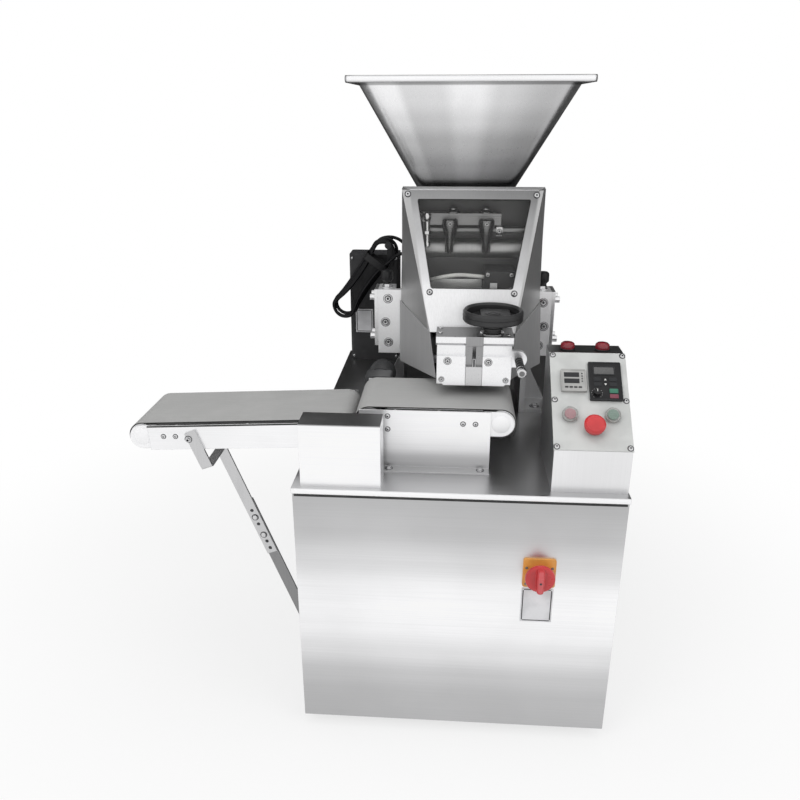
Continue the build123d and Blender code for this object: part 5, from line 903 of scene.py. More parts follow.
LENS = Plastic("pale marks", "pale_plastic", (0.72, 0.72, 0.7), relief=0.02)
SCREEN = Plastic("dark screen", "dark_housing", (0.012, 0.013, 0.015), relief=0.0)
DISPLAY = Plastic("grey display", "dark_housing", (0.10, 0.10, 0.10), relief=0.0)
RED_KEY = Plastic("red key", "red_plastic", (0.2, 0.045, 0.07), 0.34, relief=0.03)
GREEN_KEY = Plastic("green key", "green_plastic", (0.03, 0.16, 0.1), 0.34, relief=0.03)
FACE = Plastic("keypad face", "dark_housing", (0.011, 0.011, 0.012), 0.42, dust=0.01, shine=0.3)
KEYS = Plastic("grey keys", "dark_housing", (0.021, 0.022, 0.024), 0.42, dust=0.01, shine=0.3)
PLATE = Plastic("bare plate", "pale_plastic", (0.78, 0.78, 0.8), 0.34, relief=0.02)
# Dark print on plates, and painted shade in recesses, holes, slots and round screw heads
INK_AND_SHADE = Plastic("dark print and painted shade", "black_plastic", (0.03, 0.03, 0.035), 0.34, relief=0.02)
SHEATH = Plastic("cable sheath", "cable", (0.005, 0.005, 0.006), 0.38, speckle=500.0, relief=0.04, dust=0.004,
                 shine=0.25)
RUBBER = Plastic("black rubber", "foot_rubber", (0.03, 0.03, 0.03), 0.7, speckle=600.0, relief=0.15)
HOSE = Plastic("white hose", "hose_white", (0.93, 0.93, 0.91), relief=0.02, dust=0.0)
BELTING = Belt("food belt", "belt")
PANE = ClearPane("clear pane", "clear_pane")
BOOT = ClearPane("clear silicone boot", "clear_pane", (0.95, 0.95, 0.94), 1.22, 0.12)
LAMP = LampDome("red lamp dome", "lamp_red")

NODE_FINISH: dict[str, Finish] = {
    "base_frame": PRIMER, "levelling_feet": RUBBER, "front_panel": PANEL, "side_panels": SIDE,
    "rear_panel": SIDE, "deck_plate": DECKING, "isolator_plate": AMBER, "isolator_knob": RED,
    "control_box": BOXING, "control_lid": LID, "timer_relay": PALE, "speed_keypad": FACE,
    "speed_dial": BLACK, "start_button": GREEN, "stop_button": PINK, "estop_button": RED,
    "button_bezels": PALE, "pilot_lamps": LAMP, "drop_frame": DROPPING, "drop_belt": BELTING,
    "drop_drive_roller": TURNED_Y, "drop_tail_roller": TURNED_Y, "outfeed_frame": RAILS,
    "outfeed_belt": BELTING, "outfeed_head_roller": TURNED_Y, "outfeed_tail_roller": TURNED_Y,
    "roller_end_blocks": WHITE, "drive_cover": COVERING, "conveyor_gearmotor": MOTOR,
    "conveyor_chain": DARK_STEEL, "strut_upper_bar": BAR, "strut_lower_bar": LOWER_BAR, "strut_lug": BAR,
    "pedestal": STAND, "barrel_housing": BARREL, "ear_covers": MILLED, "feed_screw_left": TURNED_Y,
    "feed_screw_right": TURNED_Y, "main_gearmotor": MOTOR, "hopper": HOPPING, "nozzle_manifold": DRIVE,
    "die_block": DIE_BLOCK, "die_cover_plates": DIE_COVER, "portion_gate": GATE, "handwheel": WHEEL,
    "lock_pin": TURNED_Y, "hood_shell": HOODING, "hood_window": PANE, "lower_guards": GUARDING,
    "clamp_knob_left": BLACK, "clamp_knob_right": BLACK, "rocker": ROCKING, "cutter_roller": TURNED_X,
    "hood_hose": HOSE, "inverter_housing": DARK, "cable_gland": BLACK, "supply_lead": SHEATH,
    "cable_hank": SHEATH, "power_plug": BLACK,
}


def linked(name: str, data: bpy.types.ID) -> Piece:
    """Put data into the scene.

    Args:
        name: Name of the object.
        data: Its mesh, curve, lamp or camera.

    Returns:
        The object.
    """
    made = bpy.data.objects.new(name, data)
    bpy.context.scene.collection.objects.link(made)
    return made


def make_piece(name: str, form: Form, finish: Finish, body: str = "machine", replaces: Sequence[str] = (),
               sharp: float = 32.0) -> Piece:
    """Turn a form into one clean piece that rides a body.

    Args:
        name: Name of the piece.
        form: Its points and faces.
        finish: Its finish.
        body: Body it moves with.
        replaces: CAD nodes it stands for.
        sharp: Angle in degrees above which an edge stays sharp.

    Returns:
        The piece.
    """
    mesh = bpy.data.meshes.new(name)
    mesh.from_pydata(metres(np.concatenate(form.points)).tolist(), [], form.faces)
    work = bmesh.new()
    work.from_mesh(mesh)
    bmesh.ops.remove_doubles(work, verts=work.verts, dist=MERGE)
    bmesh.ops.dissolve_degenerate(work, edges=work.edges, dist=SLIVER)
    bmesh.ops.recalc_face_normals(work, faces=work.faces)
    work.to_mesh(mesh)
    work.free()
    mesh.polygons.foreach_set("use_smooth", np.ones(len(mesh.polygons), bool))
    mesh.set_sharp_from_angle(angle=math.radians(sharp))
    return dress(linked(name, mesh), finish, body, replaces)


def dress(made: Piece, finish: Finish, body: str, replaces: Sequence[str]) -> Piece:
    """Give a piece its finish and body, and hide the nodes it stands for.

    Args:
        made: The piece.
        finish: Its finish.
        body: Body it moves with.
        replaces: CAD nodes it stands for.

    Returns:
        The same piece.
    """
    made.data.materials.append(finish.material())
    if replaces:
        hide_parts(*replaces)
    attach(made, body)
    LOG.info("built %s on %s", made.name, body)
    return made


def turned(name: str, rings: Sequence[Ring], seats: Iterable[Seat], finish: Finish, body: str = "machine",
           steps: int = 36, replaces: Sequence[str] = ()) -> Piece:
    """Build turned solids of one profile as one piece."""
    return make_piece(name, Form().spun(rings, seats, steps), finish, body, replaces)


def slab(name: str, size: Slab, seats: Iterable[Seat], finish: Finish, body: str = "machine") -> Piece:
    """Build rectangular plates of one size as one piece."""
    return make_piece(name, Form().block(size, seats), finish, body)


def make_tube(name: str, points: np.ndarray, radius: float, finish: Finish, replaces: Sequence[str]) -> Piece:
    """Lay one smooth tube along a route.

    Args:
        name: Name of the piece.
        points: The route in machine millimetres.
        radius: Radius of the tube in millimetres.
        finish: Its finish.
        replaces: CAD nodes it stands for.

    Returns:
        The tube.
    """
    curve = bpy.data.curves.new(name, "CURVE")
    curve.dimensions = "3D"
    curve.bevel_depth = radius * MM
    curve.bevel_resolution = 4
    curve.resolution_u = 8
    curve.use_fill_caps = True
    spline = curve.splines.new("NURBS")
    spline.points.add(len(points) - 1)
    flat = np.concatenate([metres(points), np.ones((len(points), 1))], 1)
    spline.points.foreach_set("co", flat.ravel())
    spline.order_u = 3
    spline.use_endpoint_u = True
    return dress(linked(name, curve), finish, "machine", replaces)


def ring_frame(name: str, seat: Seat, size: Vec, half: float, high: float, finish: Finish) -> Piece:
    """Build a raised frame round a rounded rectangle.

    Args:
        name: Name of the piece.
        seat: Middle of the frame.
        size: Width, height and corner radius of the frame's middle line.
        half: Half the frame's width.
        high: Height above the seat.
        finish: Its finish.

    Returns:
        The frame.
    """
    width, height, corner = size
    outer = rounded(width + 2 * half, height + 2 * half, corner + half)
    inner = rounded(width - 2 * half, height - 2 * half, max(corner - half, 0.2))
    return make_piece(name, Form().band(outer, inner, (-0.1, high), [seat]), finish)


def scaled(rings: Sequence[Ring], times: float) -> list[Ring]:
    """Return rings with their radius and height multiplied."""
    return [(ring[0] * times, ring[1] * times, *ring[2:]) for ring in rings]


class Head(Enum):
    """The heads of the screws in use, as rings for a thread of 1."""

    SOCKET = ((0, -0.1), (1.05, -0.1), (1.05, 0.12), (0.99, 0.17), (0.8, 0.17), (0.8, 0.95), (0.72, 1.05),
              (0.48, 1.05), (0.46, 1.0, 6), (0.46, 0.5, 6), (0, 0.42))
    BUTTON = ((0, -0.1), (0.98, -0.1), (0.98, 0.06), (0.9, 0.26), (0.7, 0.45), (0.5, 0.54), (0.4, 0.55),
              (0.37, 0.52, 6), (0.37, 0.22, 6), (0, 0.16))
    HEX = ((0, -0.1), (1.2, -0.1), (1.2, 0.12), (1.14, 0.17), (0.98, 0.17), (0.98, 0.2, 6), (0.98, 0.72, 6),
           (0.86, 0.82), (0, 0.84))
    NUT = ((0, -0.1), (1.2, -0.1), (1.2, 0.12), (1.14, 0.17), (0.98, 0.2, 6), (0.98, 0.85, 6), (0.82, 0.98),
           (0.54, 0.98), (0.5, 1.05), (0.5, 1.3), (0.42, 1.4), (0, 1.4))
    DOME = ((0, -0.1), (1.0, -0.1), (1.0, 0.1), (0.9, 0.32), (0.68, 0.5), (0.36, 0.6), (0, 0.63))
    SUNK = ((0, -0.1), (1.5, -0.1), (1.5, 0.03), (1.42, 0.08), (1.2, 0.08), (1.12, 0.03), (0.86, 0.03),
            (0.84, 0.3), (0.78, 0.36), (0.46, 0.36), (0.44, 0.32, 6), (0.44, 0.06, 6), (0, 0.03))

    def form(self, thread: float, seats: Iterable[Seat], form: Form) -> Form:
        """Add the heads for that thread on all the seats to a form."""
        return form.spun(scaled(self.value, thread), seats)

    def shade(self, thread: float, seats: Sequence[Seat], form: Form) -> Form:
        """Add the painted shade on the floor of the key's recess, and in the groove or gap round the head.

        Args:
            thread: Diameter of the thread.
            seats: Where the heads lie.
            form: Form that takes in the painted shade.

        Returns:
            The same form.
        """
        for outer, inner, low, high, sides in SHADES[self]:
            rings = ((inner, low), (outer, low, sides), (outer, high, sides), (inner, high), (inner, low))
            form.spun(scaled(rings, thread), seats)
        return form


# Outer and inner radius, low and high level and number of flat sides of each part of painted shade, for a
# thread of 1
SHADES: dict[Head, tuple[tuple[float, float, float, float, int], ...]] = {
    Head.SOCKET: ((0.455, 0.0, 0.44, 0.53, 6), (1.3, 1.04, -0.05, 0.05, 0)),
    Head.BUTTON: ((0.365, 0.0, 0.18, 0.25, 6), (1.22, 0.97, -0.05, 0.05, 0)),
    Head.HEX: ((1.5, 1.19, -0.05, 0.05, 0),),
    Head.NUT: ((1.5, 1.19, -0.05, 0.05, 0),),
    Head.DOME: ((1.24, 0.99, -0.05, 0.06, 0),),
    Head.SUNK: ((0.435, 0.0, 0.04, 0.1, 6), (1.11, 0.85, 0.0, 0.06, 0), (1.64, 1.49, -0.05, 0.03, 0)),
}

Fixing = tuple[Head, float, Sequence[Seat]]


def fasten(name: str, *fixings: Fixing, body: str = "machine") -> None:
    """Build a set of screws as one piece, and the painted shade in and round their heads as another.

    Args:
        name: Name of the set.
        fixings: Head, thread and seats of each kind of screw in it.
        body: Body they move with.
    """
    heads, dark = Form(), Form()
    for head, thread, seats in fixings:
        head.form(thread, seats, heads)
        head.shade(thread, seats, dark)
    make_piece(name, heads, BOLTING, body)
    # Painted shade in the recesses and round the heads
    make_piece(name + "_shade", dark, INK_AND_SHADE, body)


@dataclass
class Studio:
    """Camera at the photograph's place, pale floor, soft lamps and dark screens seen only in the steel.

    Sizes are in metres. A lamp is its name, place, size and power, and a screen is its name and tone.
    """

    eye: Vec = (0.1573, -1.6912, 1.2675)
    yaw: float = -4.062
    pitch: float = 21.275
    roll: float = -0.097
    lens: float = 33.877
    sensor: float = 36.0
    aim: Vec = (0.0, 0.0, 0.75)
    lamps: tuple[tuple[str, Vec, float, float], ...] = (
        ("key lamp", (-1.7, -2.4, 2.9), 1.8, 38.0),
        ("fill lamp", (2.2, -1.9, 2.3), 1.8, 20.0),
        ("top lamp", (0.1, -0.3, 3.3), 2.2, 28.0),
    )
    floor_reach: float = 9.0
    floor_tone: float = 0.86
    shadow_reach: Pair = (0.5, 1.7)
    shadow_white: float = 0.72
    surround: float = 0.5
    rear_tone: float = 0.02
    left_tone: float = 0.25
    right_tone: float = 0.12
    screen_side: float = 1.45
    screen_near: float = -0.15
    screen_far: float = 2.0
    screen_tall: float = 2.6
    mat_level: float = 0.004
    mat_inner: float = 0.3

    def build(self) -> None:
        """Set the whole stage."""
        self.camera()
        self.floor()
        self.hang_lamps()
        self.screens()
        self.world()
        bpy.context.scene.view_settings.view_transform = "Standard"

    def camera(self) -> None:
        """Stand the camera at the fitted place."""
        yaw, pitch, roll = (math.radians(turn) for turn in (self.yaw, self.pitch, self.roll))
        ahead = Vector((math.sin(yaw), math.cos(yaw), 0.0))
        right = Vector((math.cos(yaw), -math.sin(yaw), 0.0))
        up = Vector((0.0, 0.0, 1.0))
        look = ahead * math.cos(pitch) - up * math.sin(pitch)
        rise = up * math.cos(pitch) + ahead * math.sin(pitch)
        side = right * math.cos(roll) + rise * math.sin(roll)
        rise = rise * math.cos(roll) - right * math.sin(roll)
        data = bpy.data.cameras.new("camera")
        data.lens = self.lens
        data.sensor_width = self.sensor
        data.dof.use_dof = False
        made = linked("camera", data)
        made.matrix_world = Matrix.Translation(self.eye) @ Matrix((side, rise, -look)).transposed().to_4x4()
        bpy.context.scene.camera = made

    def sheet(self, name: str, corners: Sequence[Vec], material: bpy.types.Material) -> Piece:
        """Add a flat four-cornered piece of the stage.

        Args:
            name: Name of the piece.
            corners: Its corners in order.
            material: Its material.

        Returns:
            The piece.
        """
        mesh = bpy.data.meshes.new(name)
        mesh.from_pydata(list(corners), [], [(0, 1, 2, 3)])
        mesh.materials.append(material)
        made = linked(name, mesh)
        return made

    def floor(self) -> None:
        """Lay a pale floor that keeps the machine's shadow."""
        material = bpy.data.materials.new("pale floor")
        board = Board.cleared(material)
        matt = board.node("BsdfDiffuse", {"Color": grey(self.floor_tone)})
        white = board.node("Emission", {"Color": grey(1.0), "Strength": 1.0})
        away = board.node("VectorMath", {0: board.place()}, operation="LENGTH").outputs["Value"]
        share = board.sum("MULTIPLY", board.seen(), board.spread(away, *self.shadow_reach, self.shadow_white))
        board.end(board.mixed(share, matt.outputs[0], white.outputs[0]))
        reach = self.floor_reach
        corners = ((-reach, -reach, 0), (reach, -reach, 0), (reach, reach, 0), (-reach, reach, 0))
        self.sheet("floor", corners, material)

    def hang_lamps(self) -> None:
        """Hang plain soft lamps before, beside and above the machine."""
        for name, place, size, power in self.lamps:
            data = bpy.data.lights.new(name, "AREA")
            data.energy = power
            data.size = size
            made = linked(name, data)
            made.location = place
            made.rotation_euler = (Vector(self.aim) - Vector(place)).to_track_quat("-Z", "Y").to_euler()
            made.visible_glossy = False

    def screens(self) -> None:
        """Stand dark screens behind and beside, which only mirrors see."""
        side, near, far = self.screen_side, self.screen_near, self.screen_far
        tall, low, inner = self.screen_tall, self.mat_level, self.mat_inner
        for name, tone, corners in (
            ("rear screen", self.rear_tone,
             ((-side, far, 0), (side, far, 0), (side, far, tall), (-side, far, tall))),
            ("left screen", self.left_tone,
             ((-side, near, 0), (-side, far, 0), (-side, far, tall), (-side, near, tall))),
            ("right screen", self.right_tone,
             ((side, near, 0), (side, far, 0), (side, far, tall), (side, near, tall))),
            ("left mat", self.left_tone,
             ((-side, 0, low), (-inner, 0, low), (-inner, far, low), (-side, far, low))),
            ("right mat", self.right_tone,
             ((inner, 0, low), (side, 0, low), (side, far, low), (inner, far, low))),
        ):
            material = bpy.data.materials.new(name + " cloth")
            board = Board.cleared(material)
            board.end(board.node("BsdfDiffuse", {"Color": grey(tone)}).outputs[0])
            made = self.sheet(name, corners, material)
            made.visible_camera = False
            made.visible_diffuse = False
            made.visible_shadow = False
            made.visible_transmission = False

    def world(self) -> None:
        """Fill the surround with even light, white where it is seen or mirrored."""
        world = bpy.data.worlds.new("surround")
        board = Board.cleared(world)
        dim = board.node("Background", {"Color": grey(1.0), "Strength": self.surround})
        white = board.node("Background", {"Color": grey(1.0), "Strength": 1.0})
        board.end(board.mixed(board.seen(), dim.outputs[0], white.outputs[0]), "OutputWorld")
        bpy.context.scene.world = world


@dataclass
class SupplyCable:
    """Supply cable: up from its gland, wound into a hank on the hook, down to its plug.

    The hank leans to one side. Each of its half turns has how far it is fanned out, pinched in at the
    waist, drawn back and staggered along the hank.
    """

    radius: float = 4.5
    length: float = 2.834
    lead: Spots = ((178, 788, 22), (178, 788, 86), (181.5, 786, 160), (178.5, 785, 236),
                   (180.3, 784, 286), (180.1, 784, 314.1), (166.7, 784, 338.4), (143.3, 784, 353.2),
                   (115.7, 784, 355))
    middle: Pair = (55.8, 827.6)
    lean: float = 54.0
    run: float = 189.0
    inner: float = 27.5
    fan: Floats = (4, 6, 1, 3, 6, 7, 2, 4)
    pinch: Floats = (6, 8, 6.5, 8, 14.5, 14.5, 13.5, 15)
    draw: Floats = (0, 0, 7, 7, 12, 11, 4)
    waist: float = 45.0
    stagger: Floats = (0, 3, -4, 2, -6, 5, -2, 0)
    rear: float = 784.0
    pitch: float = 9.6
    entry: float = 74.0
    run_in: float = 27.8
    tail_bend: float = 40.0
    tail_drop: float = 120.0
    strap_at: float = 60.0
    strap_outer: Vec = (72, 53, 13)
    strap_inner: Vec = (69, 50, 11)
    strap_levels: Pair = (-9, 9)
    ribs: int = 7
    rib_pitch: float = 5.2
    rib_taper: float = 0.36
    rib_depth: float = 1.1
    gland_nut: Profile = ((0, -7.5), (10.4, -7.5), (10.8, -7, 12), (10.8, -1.5, 12), (9.6, 1.5), (7.4, 3.4),
                          (5.6, 3.8), (5.2, 3.2), (0, 3.2))

    def hank(self, along: float, across: float, y: float) -> np.ndarray:
        """Return the machine point so far along the hank's leaning middle line, and across to its left."""
        lean = math.radians(self.lean)
        return np.array((self.middle[0] + along * math.cos(lean) - across * math.sin(lean), y,
                         self.middle[1] + along * math.sin(lean) + across * math.cos(lean)))

    def turns(self) -> list[np.ndarray]:
        """Work out the hank's half turns, six points each, and the runs between, drawn in at the waist.

        Returns:
            Points of the route.
        """
        points = []
        ease = 1 / math.cos(math.radians(15))
        for k in range(len(self.fan)):
            towards = 1 if k % 2 else -1
            here = self.inner + self.fan[k]
            y = self.rear - self.pitch / 2 * (k + 0.5)
            points += [self.hank(along * towards, -towards * (here - self.pinch[k]), y)
                       for along in ((self.waist,) if k == 0 else (-self.waist, self.waist))]
            if k + 1 == len(self.fan):
                break
            after = self.inner + self.fan[k + 1]
            along = towards * (self.run / 2 + self.stagger[k] - self.draw[k])
            middle = -towards * (here - after) / 2
            radius = (here + after) / 2 * ease
            y = self.rear - self.pitch / 2 * (k + 1)
            for angle in np.radians(np.arange(15, 180, 30)):
                points.append(self.hank(along + towards * radius * math.sin(angle),
                                        middle - towards * radius * math.cos(angle), y))
        return points

    def tail(self) -> list[np.ndarray]:
        """Work out the bend over the hank's end and the drop to the plug.

        Returns:
            Points of the route.
        """
        y = self.rear - self.pitch / 2 * len(self.fan)
        lean = math.radians(self.lean)
        end = self.hank(self.run / 2, -self.inner - self.fan[-1], y)
        centre = end + self.tail_bend * np.array((math.sin(lean), 0, -math.cos(lean)))
        ease = self.tail_bend / math.cos(math.radians(18))
        bend = [centre + ease * np.array((math.cos(turn), 0, math.sin(turn)))
                for turn in np.radians((126, 90, 54, 18))]
        foot = centre + np.array((self.tail_bend, 0, -self.tail_drop))
        return [end] + bend + [foot]

    def build(self) -> None:
        """Lay the cable, its grip at the plug, the gland's domed nut and the strap."""
        start = [np.array((x, y, DECK + rise)) for x, y, rise in self.lead]
        entry = self.hank(self.entry, self.inner + self.fan[0], self.rear)
        heading = self.hank(1, 0, 0) - self.hank(0, 0, 0)
        route = start + [entry + heading * self.run_in] + self.turns() + self.tail()
        cable = make_tube("supply_cable", np.array(route), self.radius, SHEATH, ("supply_lead", "cable_hank"))
        grip = turned("plug_grip", self.grip(), [TOP.seat(*route[-1])], BLACK)
        collar = turned("gland_nut", self.gland_nut, [TOP.seat(*start[0])], BLACK, steps=48)
        strap = self.strap()

    def strap(self) -> Piece:
        """Build the webbing strap that holds the hank together near the hook.

        Returns:
            The strap.
        """
        middle = self.rear - self.pitch / 4 * len(self.fan)
        across = self.hank(0, 1, 0) - self.hank(0, 0, 0)
        seat = Seat(tuple(self.hank(self.strap_at, 0, middle)), tuple(across), (0, 1, 0))
        outer, inner = rounded(*self.strap_outer), rounded(*self.strap_inner)
        return make_piece("hank_strap", Form().band(outer, inner, self.strap_levels, [seat]), BLACK)

    def grip(self) -> list[Ring]:
        """Work out the ribbed tapered sleeve that guards the cable where it enters the plug.

        Returns:
            Rings of the sleeve.
        """
        rings: list[Ring] = [(0, -1), (8.6, -1), (8.6, 2)]
        for rib in range(self.ribs):
            low, outer = 2.5 + self.rib_pitch * rib, 8.3 - self.rib_taper * rib
            inner = outer - self.rib_depth
            rings += [(outer, low), (outer, low + 3.2), (inner, low + 3.6), (inner, low + 4.8)]
        return rings + [(5.4, 39), (4.9, 40.5), (0, 40.5)]


@dataclass
class HoodHose:
    """White air hose across the inside of the hood, with a fitting at both ends.

    A point of the route is its x, its distance before the plate and its rise above the deck.
    """

    radius: float = 4.5
    length: float = 0.246
    plate: float = 398.0
    route: Spots = ((231, 12, 318), (231, 39, 322), (244.5, 62.4, 333), (267.9, 75.9, 343),
                    (300, 77.5, 349), (322, 77.3, 350), (351.1, 75.9, 347), (374.5, 62.4, 342.5),
                    (388, 39, 345.5), (388, 12, 350.5))
    fitting: Profile = ((0, -0.3), (7.6, -0.3), (7.9, 0.3, 6), (7.9, 6, 6), (6.6, 6.4), (6.6, 12),
                        (6.2, 12.6), (6.2, 13.6), (7.4, 14), (7.4, 16), (6.8, 16.6), (0, 16.6))

    def build(self) -> None:
        """Lay the hose and seat its fittings on the plate."""
        points = np.array([(x, self.plate - before, DECK + rise) for x, before, rise in self.route])
        hose = make_tube("air_hose", points, self.radius, HOSE, ("hood_hose",))
        ends = FRONT.row(self.plate, [(x, z) for x, _, z in (points[0], points[-1])])
        fittings = turned("hose_fittings", self.fitting, ends, BOLTING)


@dataclass
class BarePlate:
    """A plain plate with a dark printed border, four rivets and no words."""

    name: str
    seat: Seat
    width: float
    height: float
    thick: float = 0.8
    ease: float = 0.3
    corner: float = 2.0
    border: float = 2.0
    margin: float = 7.0
    ink: float = 0.16
    inset: float = 3.4
    rivet: Profile = ((0, -0.1), (1.9, -0.1), (1.8, 0.5), (1.2, 0.95), (0, 1.1))

    def build(self) -> None:
        """Build the plate, the border lying on it and the rivets."""
        size = (self.width, self.height, self.thick, self.ease, self.corner)
        slab(self.name + "_sheet", size, [self.seat], PLATE)
        middle = (self.width - self.margin, self.height - self.margin, self.corner)
        face = self.seat.moved(0, 0, self.thick)
        ring_frame(self.name + "_border", face, middle, self.border / 2, self.ink, INK_AND_SHADE)
        across, rise = self.width / 2 - self.inset, self.height / 2 - self.inset
        spots = [(x * across, y * rise) for x in (-1, 1) for y in (-1, 1)]
        turned(self.name + "_rivets", self.rivet, self.seat.spread(spots, self.thick), BOLTING, steps=20)


@dataclass
class Cabinet:
    """Sheet cabinet: the deck's lip with painted shadow and highlight strips, screws, vent flaps and a bare
    plate on the front.
    """

    width: float = 640.0
    # Painted shadow: size of the dark strip under the deck's lip
    lip_shadow: Slab = (634, 5, 0.9, 0.3, 0.8)
    lip: Slab = (642, 9.6, 0.5, 0.3, 0.8)
    side_rows: Vec = (60, 440, 820)
    rear_rows: Vec = (40, 320, 600)
    levels: Vec = (62, 306, 550)
    flap: Slab = (118, 13, 1.2, 0.4, 5.5)
    flaps: int = 7
    flap_tilt: float = 25.0
    flap_pitch: float = 24.0
    flap_out: float = 2.6
    flap_drop: float = 0.4
    screen: Slab = (140, 176, 0.8, 0.3, 4)
    screen_gap: float = 1.2

    def build(self) -> None:
        """Build the cabinet's fittings."""
        BarePlate("front_plate", FRONT.seat(481.6, 0, 339.5), 63, 80).build()
        middle = self.width / 2
        # Painted shadow under the deck's lip, and a pale strip of painted highlight on its front
        slab("lip_shadow_strip", self.lip_shadow, [FRONT.seat(middle, 0, 570.4)], RUBBER)
        edge = FRONT.seat(middle, reach_of(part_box("deck_plate")[0], 1), 579.4)
        slab("lip_face", self.lip, [edge], HIGHLIGHT_SHEET)
        low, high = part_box("side_panels")
        sides = ((LEFT, reach_of(low, 0)), (RIGHT, reach_of(high, 0)))
        seats = [facing.seat(x, y, z) for facing, x in sides for z in self.levels for y in self.side_rows]
        fasten("panel_screws", (Head.BUTTON, 5.0, seats))
        rear = reach_of(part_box("rear_panel")[1], 1)
        spots = [(x, z) for x in self.rear_rows for z in (self.levels[0], self.levels[-1])]
        fasten("rear_screws", (Head.BUTTON, 5.0, REAR.row(rear, spots)))
        self.vents(rear)

    def vents(self, rear: float) -> None:
        """Build the lanced flap over each slot of the rear panel, and a dark screen of painted shade behind
        each bank.

        Args:
            rear: Depth of the panel's outside.
        """
        tilt, middle = math.radians(self.flap_tilt), self.levels[1]
        up = (0, -math.sin(tilt), math.cos(tilt))
        banks = (self.width / 4, self.width * 3 / 4)
        rows = [middle - self.flap_drop + self.flap_pitch * (row - self.flaps // 2)
                for row in range(self.flaps)]
        seats = [Seat((x, rear + self.flap_out, z), REAR.value[0], up) for x in banks for z in rows]
        slab("louvre_flaps", self.flap, seats, SIDE)
        inside = reach_of(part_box("rear_panel")[0], 1) - self.screen_gap
        # Painted shade: dark screens inside the panel behind the slots
        slab("louvre_shade_screens", self.screen, REAR.row(inside, [(x, middle) for x in banks]), RUBBER)


@dataclass
class IsolatorSwitch:
    """Rotary main switch: amber plate with corner screws and a red handle."""

    x: float = 482.0
    z: float = 416.0
    spots: Pairs = ((-25, 12), (25, 12), (-25, -25), (25, -25))
    knob: Profile = ((0, 0), (16, 0), (15, 3), (15, 11), (17, 13.6), (27.8, 14), (29, 15), (29, 19.4),
                     (28.2, 21), (26, 22), (21, 21.4), (0, 20))
    grip: Pairs = ((-6.5, -27.5), (6.5, -27.5), (8, 0), (7, 27.5), (-7, 27.5), (-8, 0))
    grip_ease: float = 6.0
    grip_layers: Pairs = ((-2.6, 18.6), (-1.2, 21), (0, 23.5), (0, 29), (0.8, 31.2), (2.4, 32))
    top_layers: Pairs = ((2.8, 31.7), (3, 32.3), (3.6, 32.5))
    screw: Profile = ((0, 32.3), (2.4, 32.3), (2.4, 32.7), (0, 32.75))

    def build(self) -> None:
        """Build the plate's screws, and the handle that turns."""
        spots = FRONT.seat(self.x, -4, self.z).spread(self.spots)
        make_piece("isolator_screws", Head.BUTTON.form(2.8, spots, Form()), DARK_STEEL)
        knob = FRONT.seat(self.x, -4.5, self.z)
        grip = softened(self.grip, self.grip_ease, 7)
        form = Form().spun(self.knob, [knob], 96).plate(grip, self.grip_layers, [knob])
        make_piece("isolator_handle", form, RED, "isolator", ("isolator_knob",))
        make_piece("isolator_grip_top", Form().plate(grip, self.top_layers, [knob]), GRIP, "isolator")
        turned("isolator_grip_screw", self.screw, [knob.moved(0, -2)], INK_AND_SHADE, "isolator", 20)


@dataclass
class TimerRelay:
    """Panel timer: two dark windows, a row of setting keys, side lights and a rim."""

    face: Seat
    window: Slab = (29, 10, 0.7, 0.3, 0.8)
    windows: Pairs = ((-3.5, 11.8), (-3.5, -1.8))
    key: Slab = (6.4, 3.2, 1, 0.4, 0.8)
    key_start: Pair = (-14, -15.2)
    key_pitch: float = 8.6
    light: Slab = (2.6, 2.6, 0.7, 0.3, 0.5)
    light_start: Pair = (16.4, 14.6)
    light_pitch: float = 5.6
    row: int = 4
    rim: Vec = (46, 46, 2.2)

    def build(self) -> None:
        """Build what stands on the timer's face."""
        slab("timer_windows", self.window, self.face.spread(self.windows), SCREEN)
        x, y = self.key_start
        spots = [(x + self.key_pitch * k, y) for k in range(self.row)]
        keys = Form().block(self.key, self.face.spread(spots))
        x, y = self.light_start
        keys.block(self.light, self.face.spread([(x, y - self.light_pitch * k) for k in range(self.row)]))
        make_piece("timer_keys", keys, DARK)
        ring_frame("timer_rim", self.face, self.rim, 1.1, 0.9, PALE)


@dataclass
class SpeedKeypad:
    """Speed keypad: rim, display, arrows, side keys, and a green and a red key."""

    face: Seat
    rim: Vec = (60.4, 81.4, 1.6)
    display: Slab = (38, 15, 0.6, 0.25, 1)
    display_rim: Vec = (41, 18, 1.4)
    green_key: Slab = (16.5, 9.6, 1.1, 0.45, 1.4)
    red_key: Slab = (16.5, 8.8, 1.1, 0.45, 1.4)
    side_key: Slab = (14.5, 8, 0.9, 0.4, 1.4)
    side_keys: Pairs = ((-15, 3.2), (-15, -7.6), (14.5, 3.2), (14.5, -7.6))
    arrow: Pairs = ((-2.6, -1.8), (2.6, -1.8), (0, 2.4))
    arrow_layers: Pairs = ((0, -0.1), (0, 0.5))
    arrow_levels: Pair = (3, -7.4)

    def build(self) -> None:
        """Build what stands on the keypad's face."""
        face = self.face
        ring_frame("keypad_rim", face, self.rim, 0.9, 0.7, KEYS)
        display = face.moved(-1.5, 22.5)
        slab("keypad_display", self.display, [display], DISPLAY)
        ring_frame("keypad_display_rim", display, self.display_rim, 0.7, 1, SCREEN)
        slab("keypad_green_key", self.green_key, [face.moved(14.5, -21.6)], GREEN_KEY)
        slab("keypad_red_key", self.red_key, [face.moved(14.5, -33)], RED_KEY)
        slab("keypad_side_keys", self.side_key, face.spread(self.side_keys), KEYS)
        up, (high, low) = softened(self.arrow, 0.5, 3), self.arrow_levels
        arrows = Form().plate(up, self.arrow_layers, [face.moved(0, high)])
        make_piece("keypad_arrows", arrows.plate(-up, self.arrow_layers, [face.moved(0, low)]), LENS)


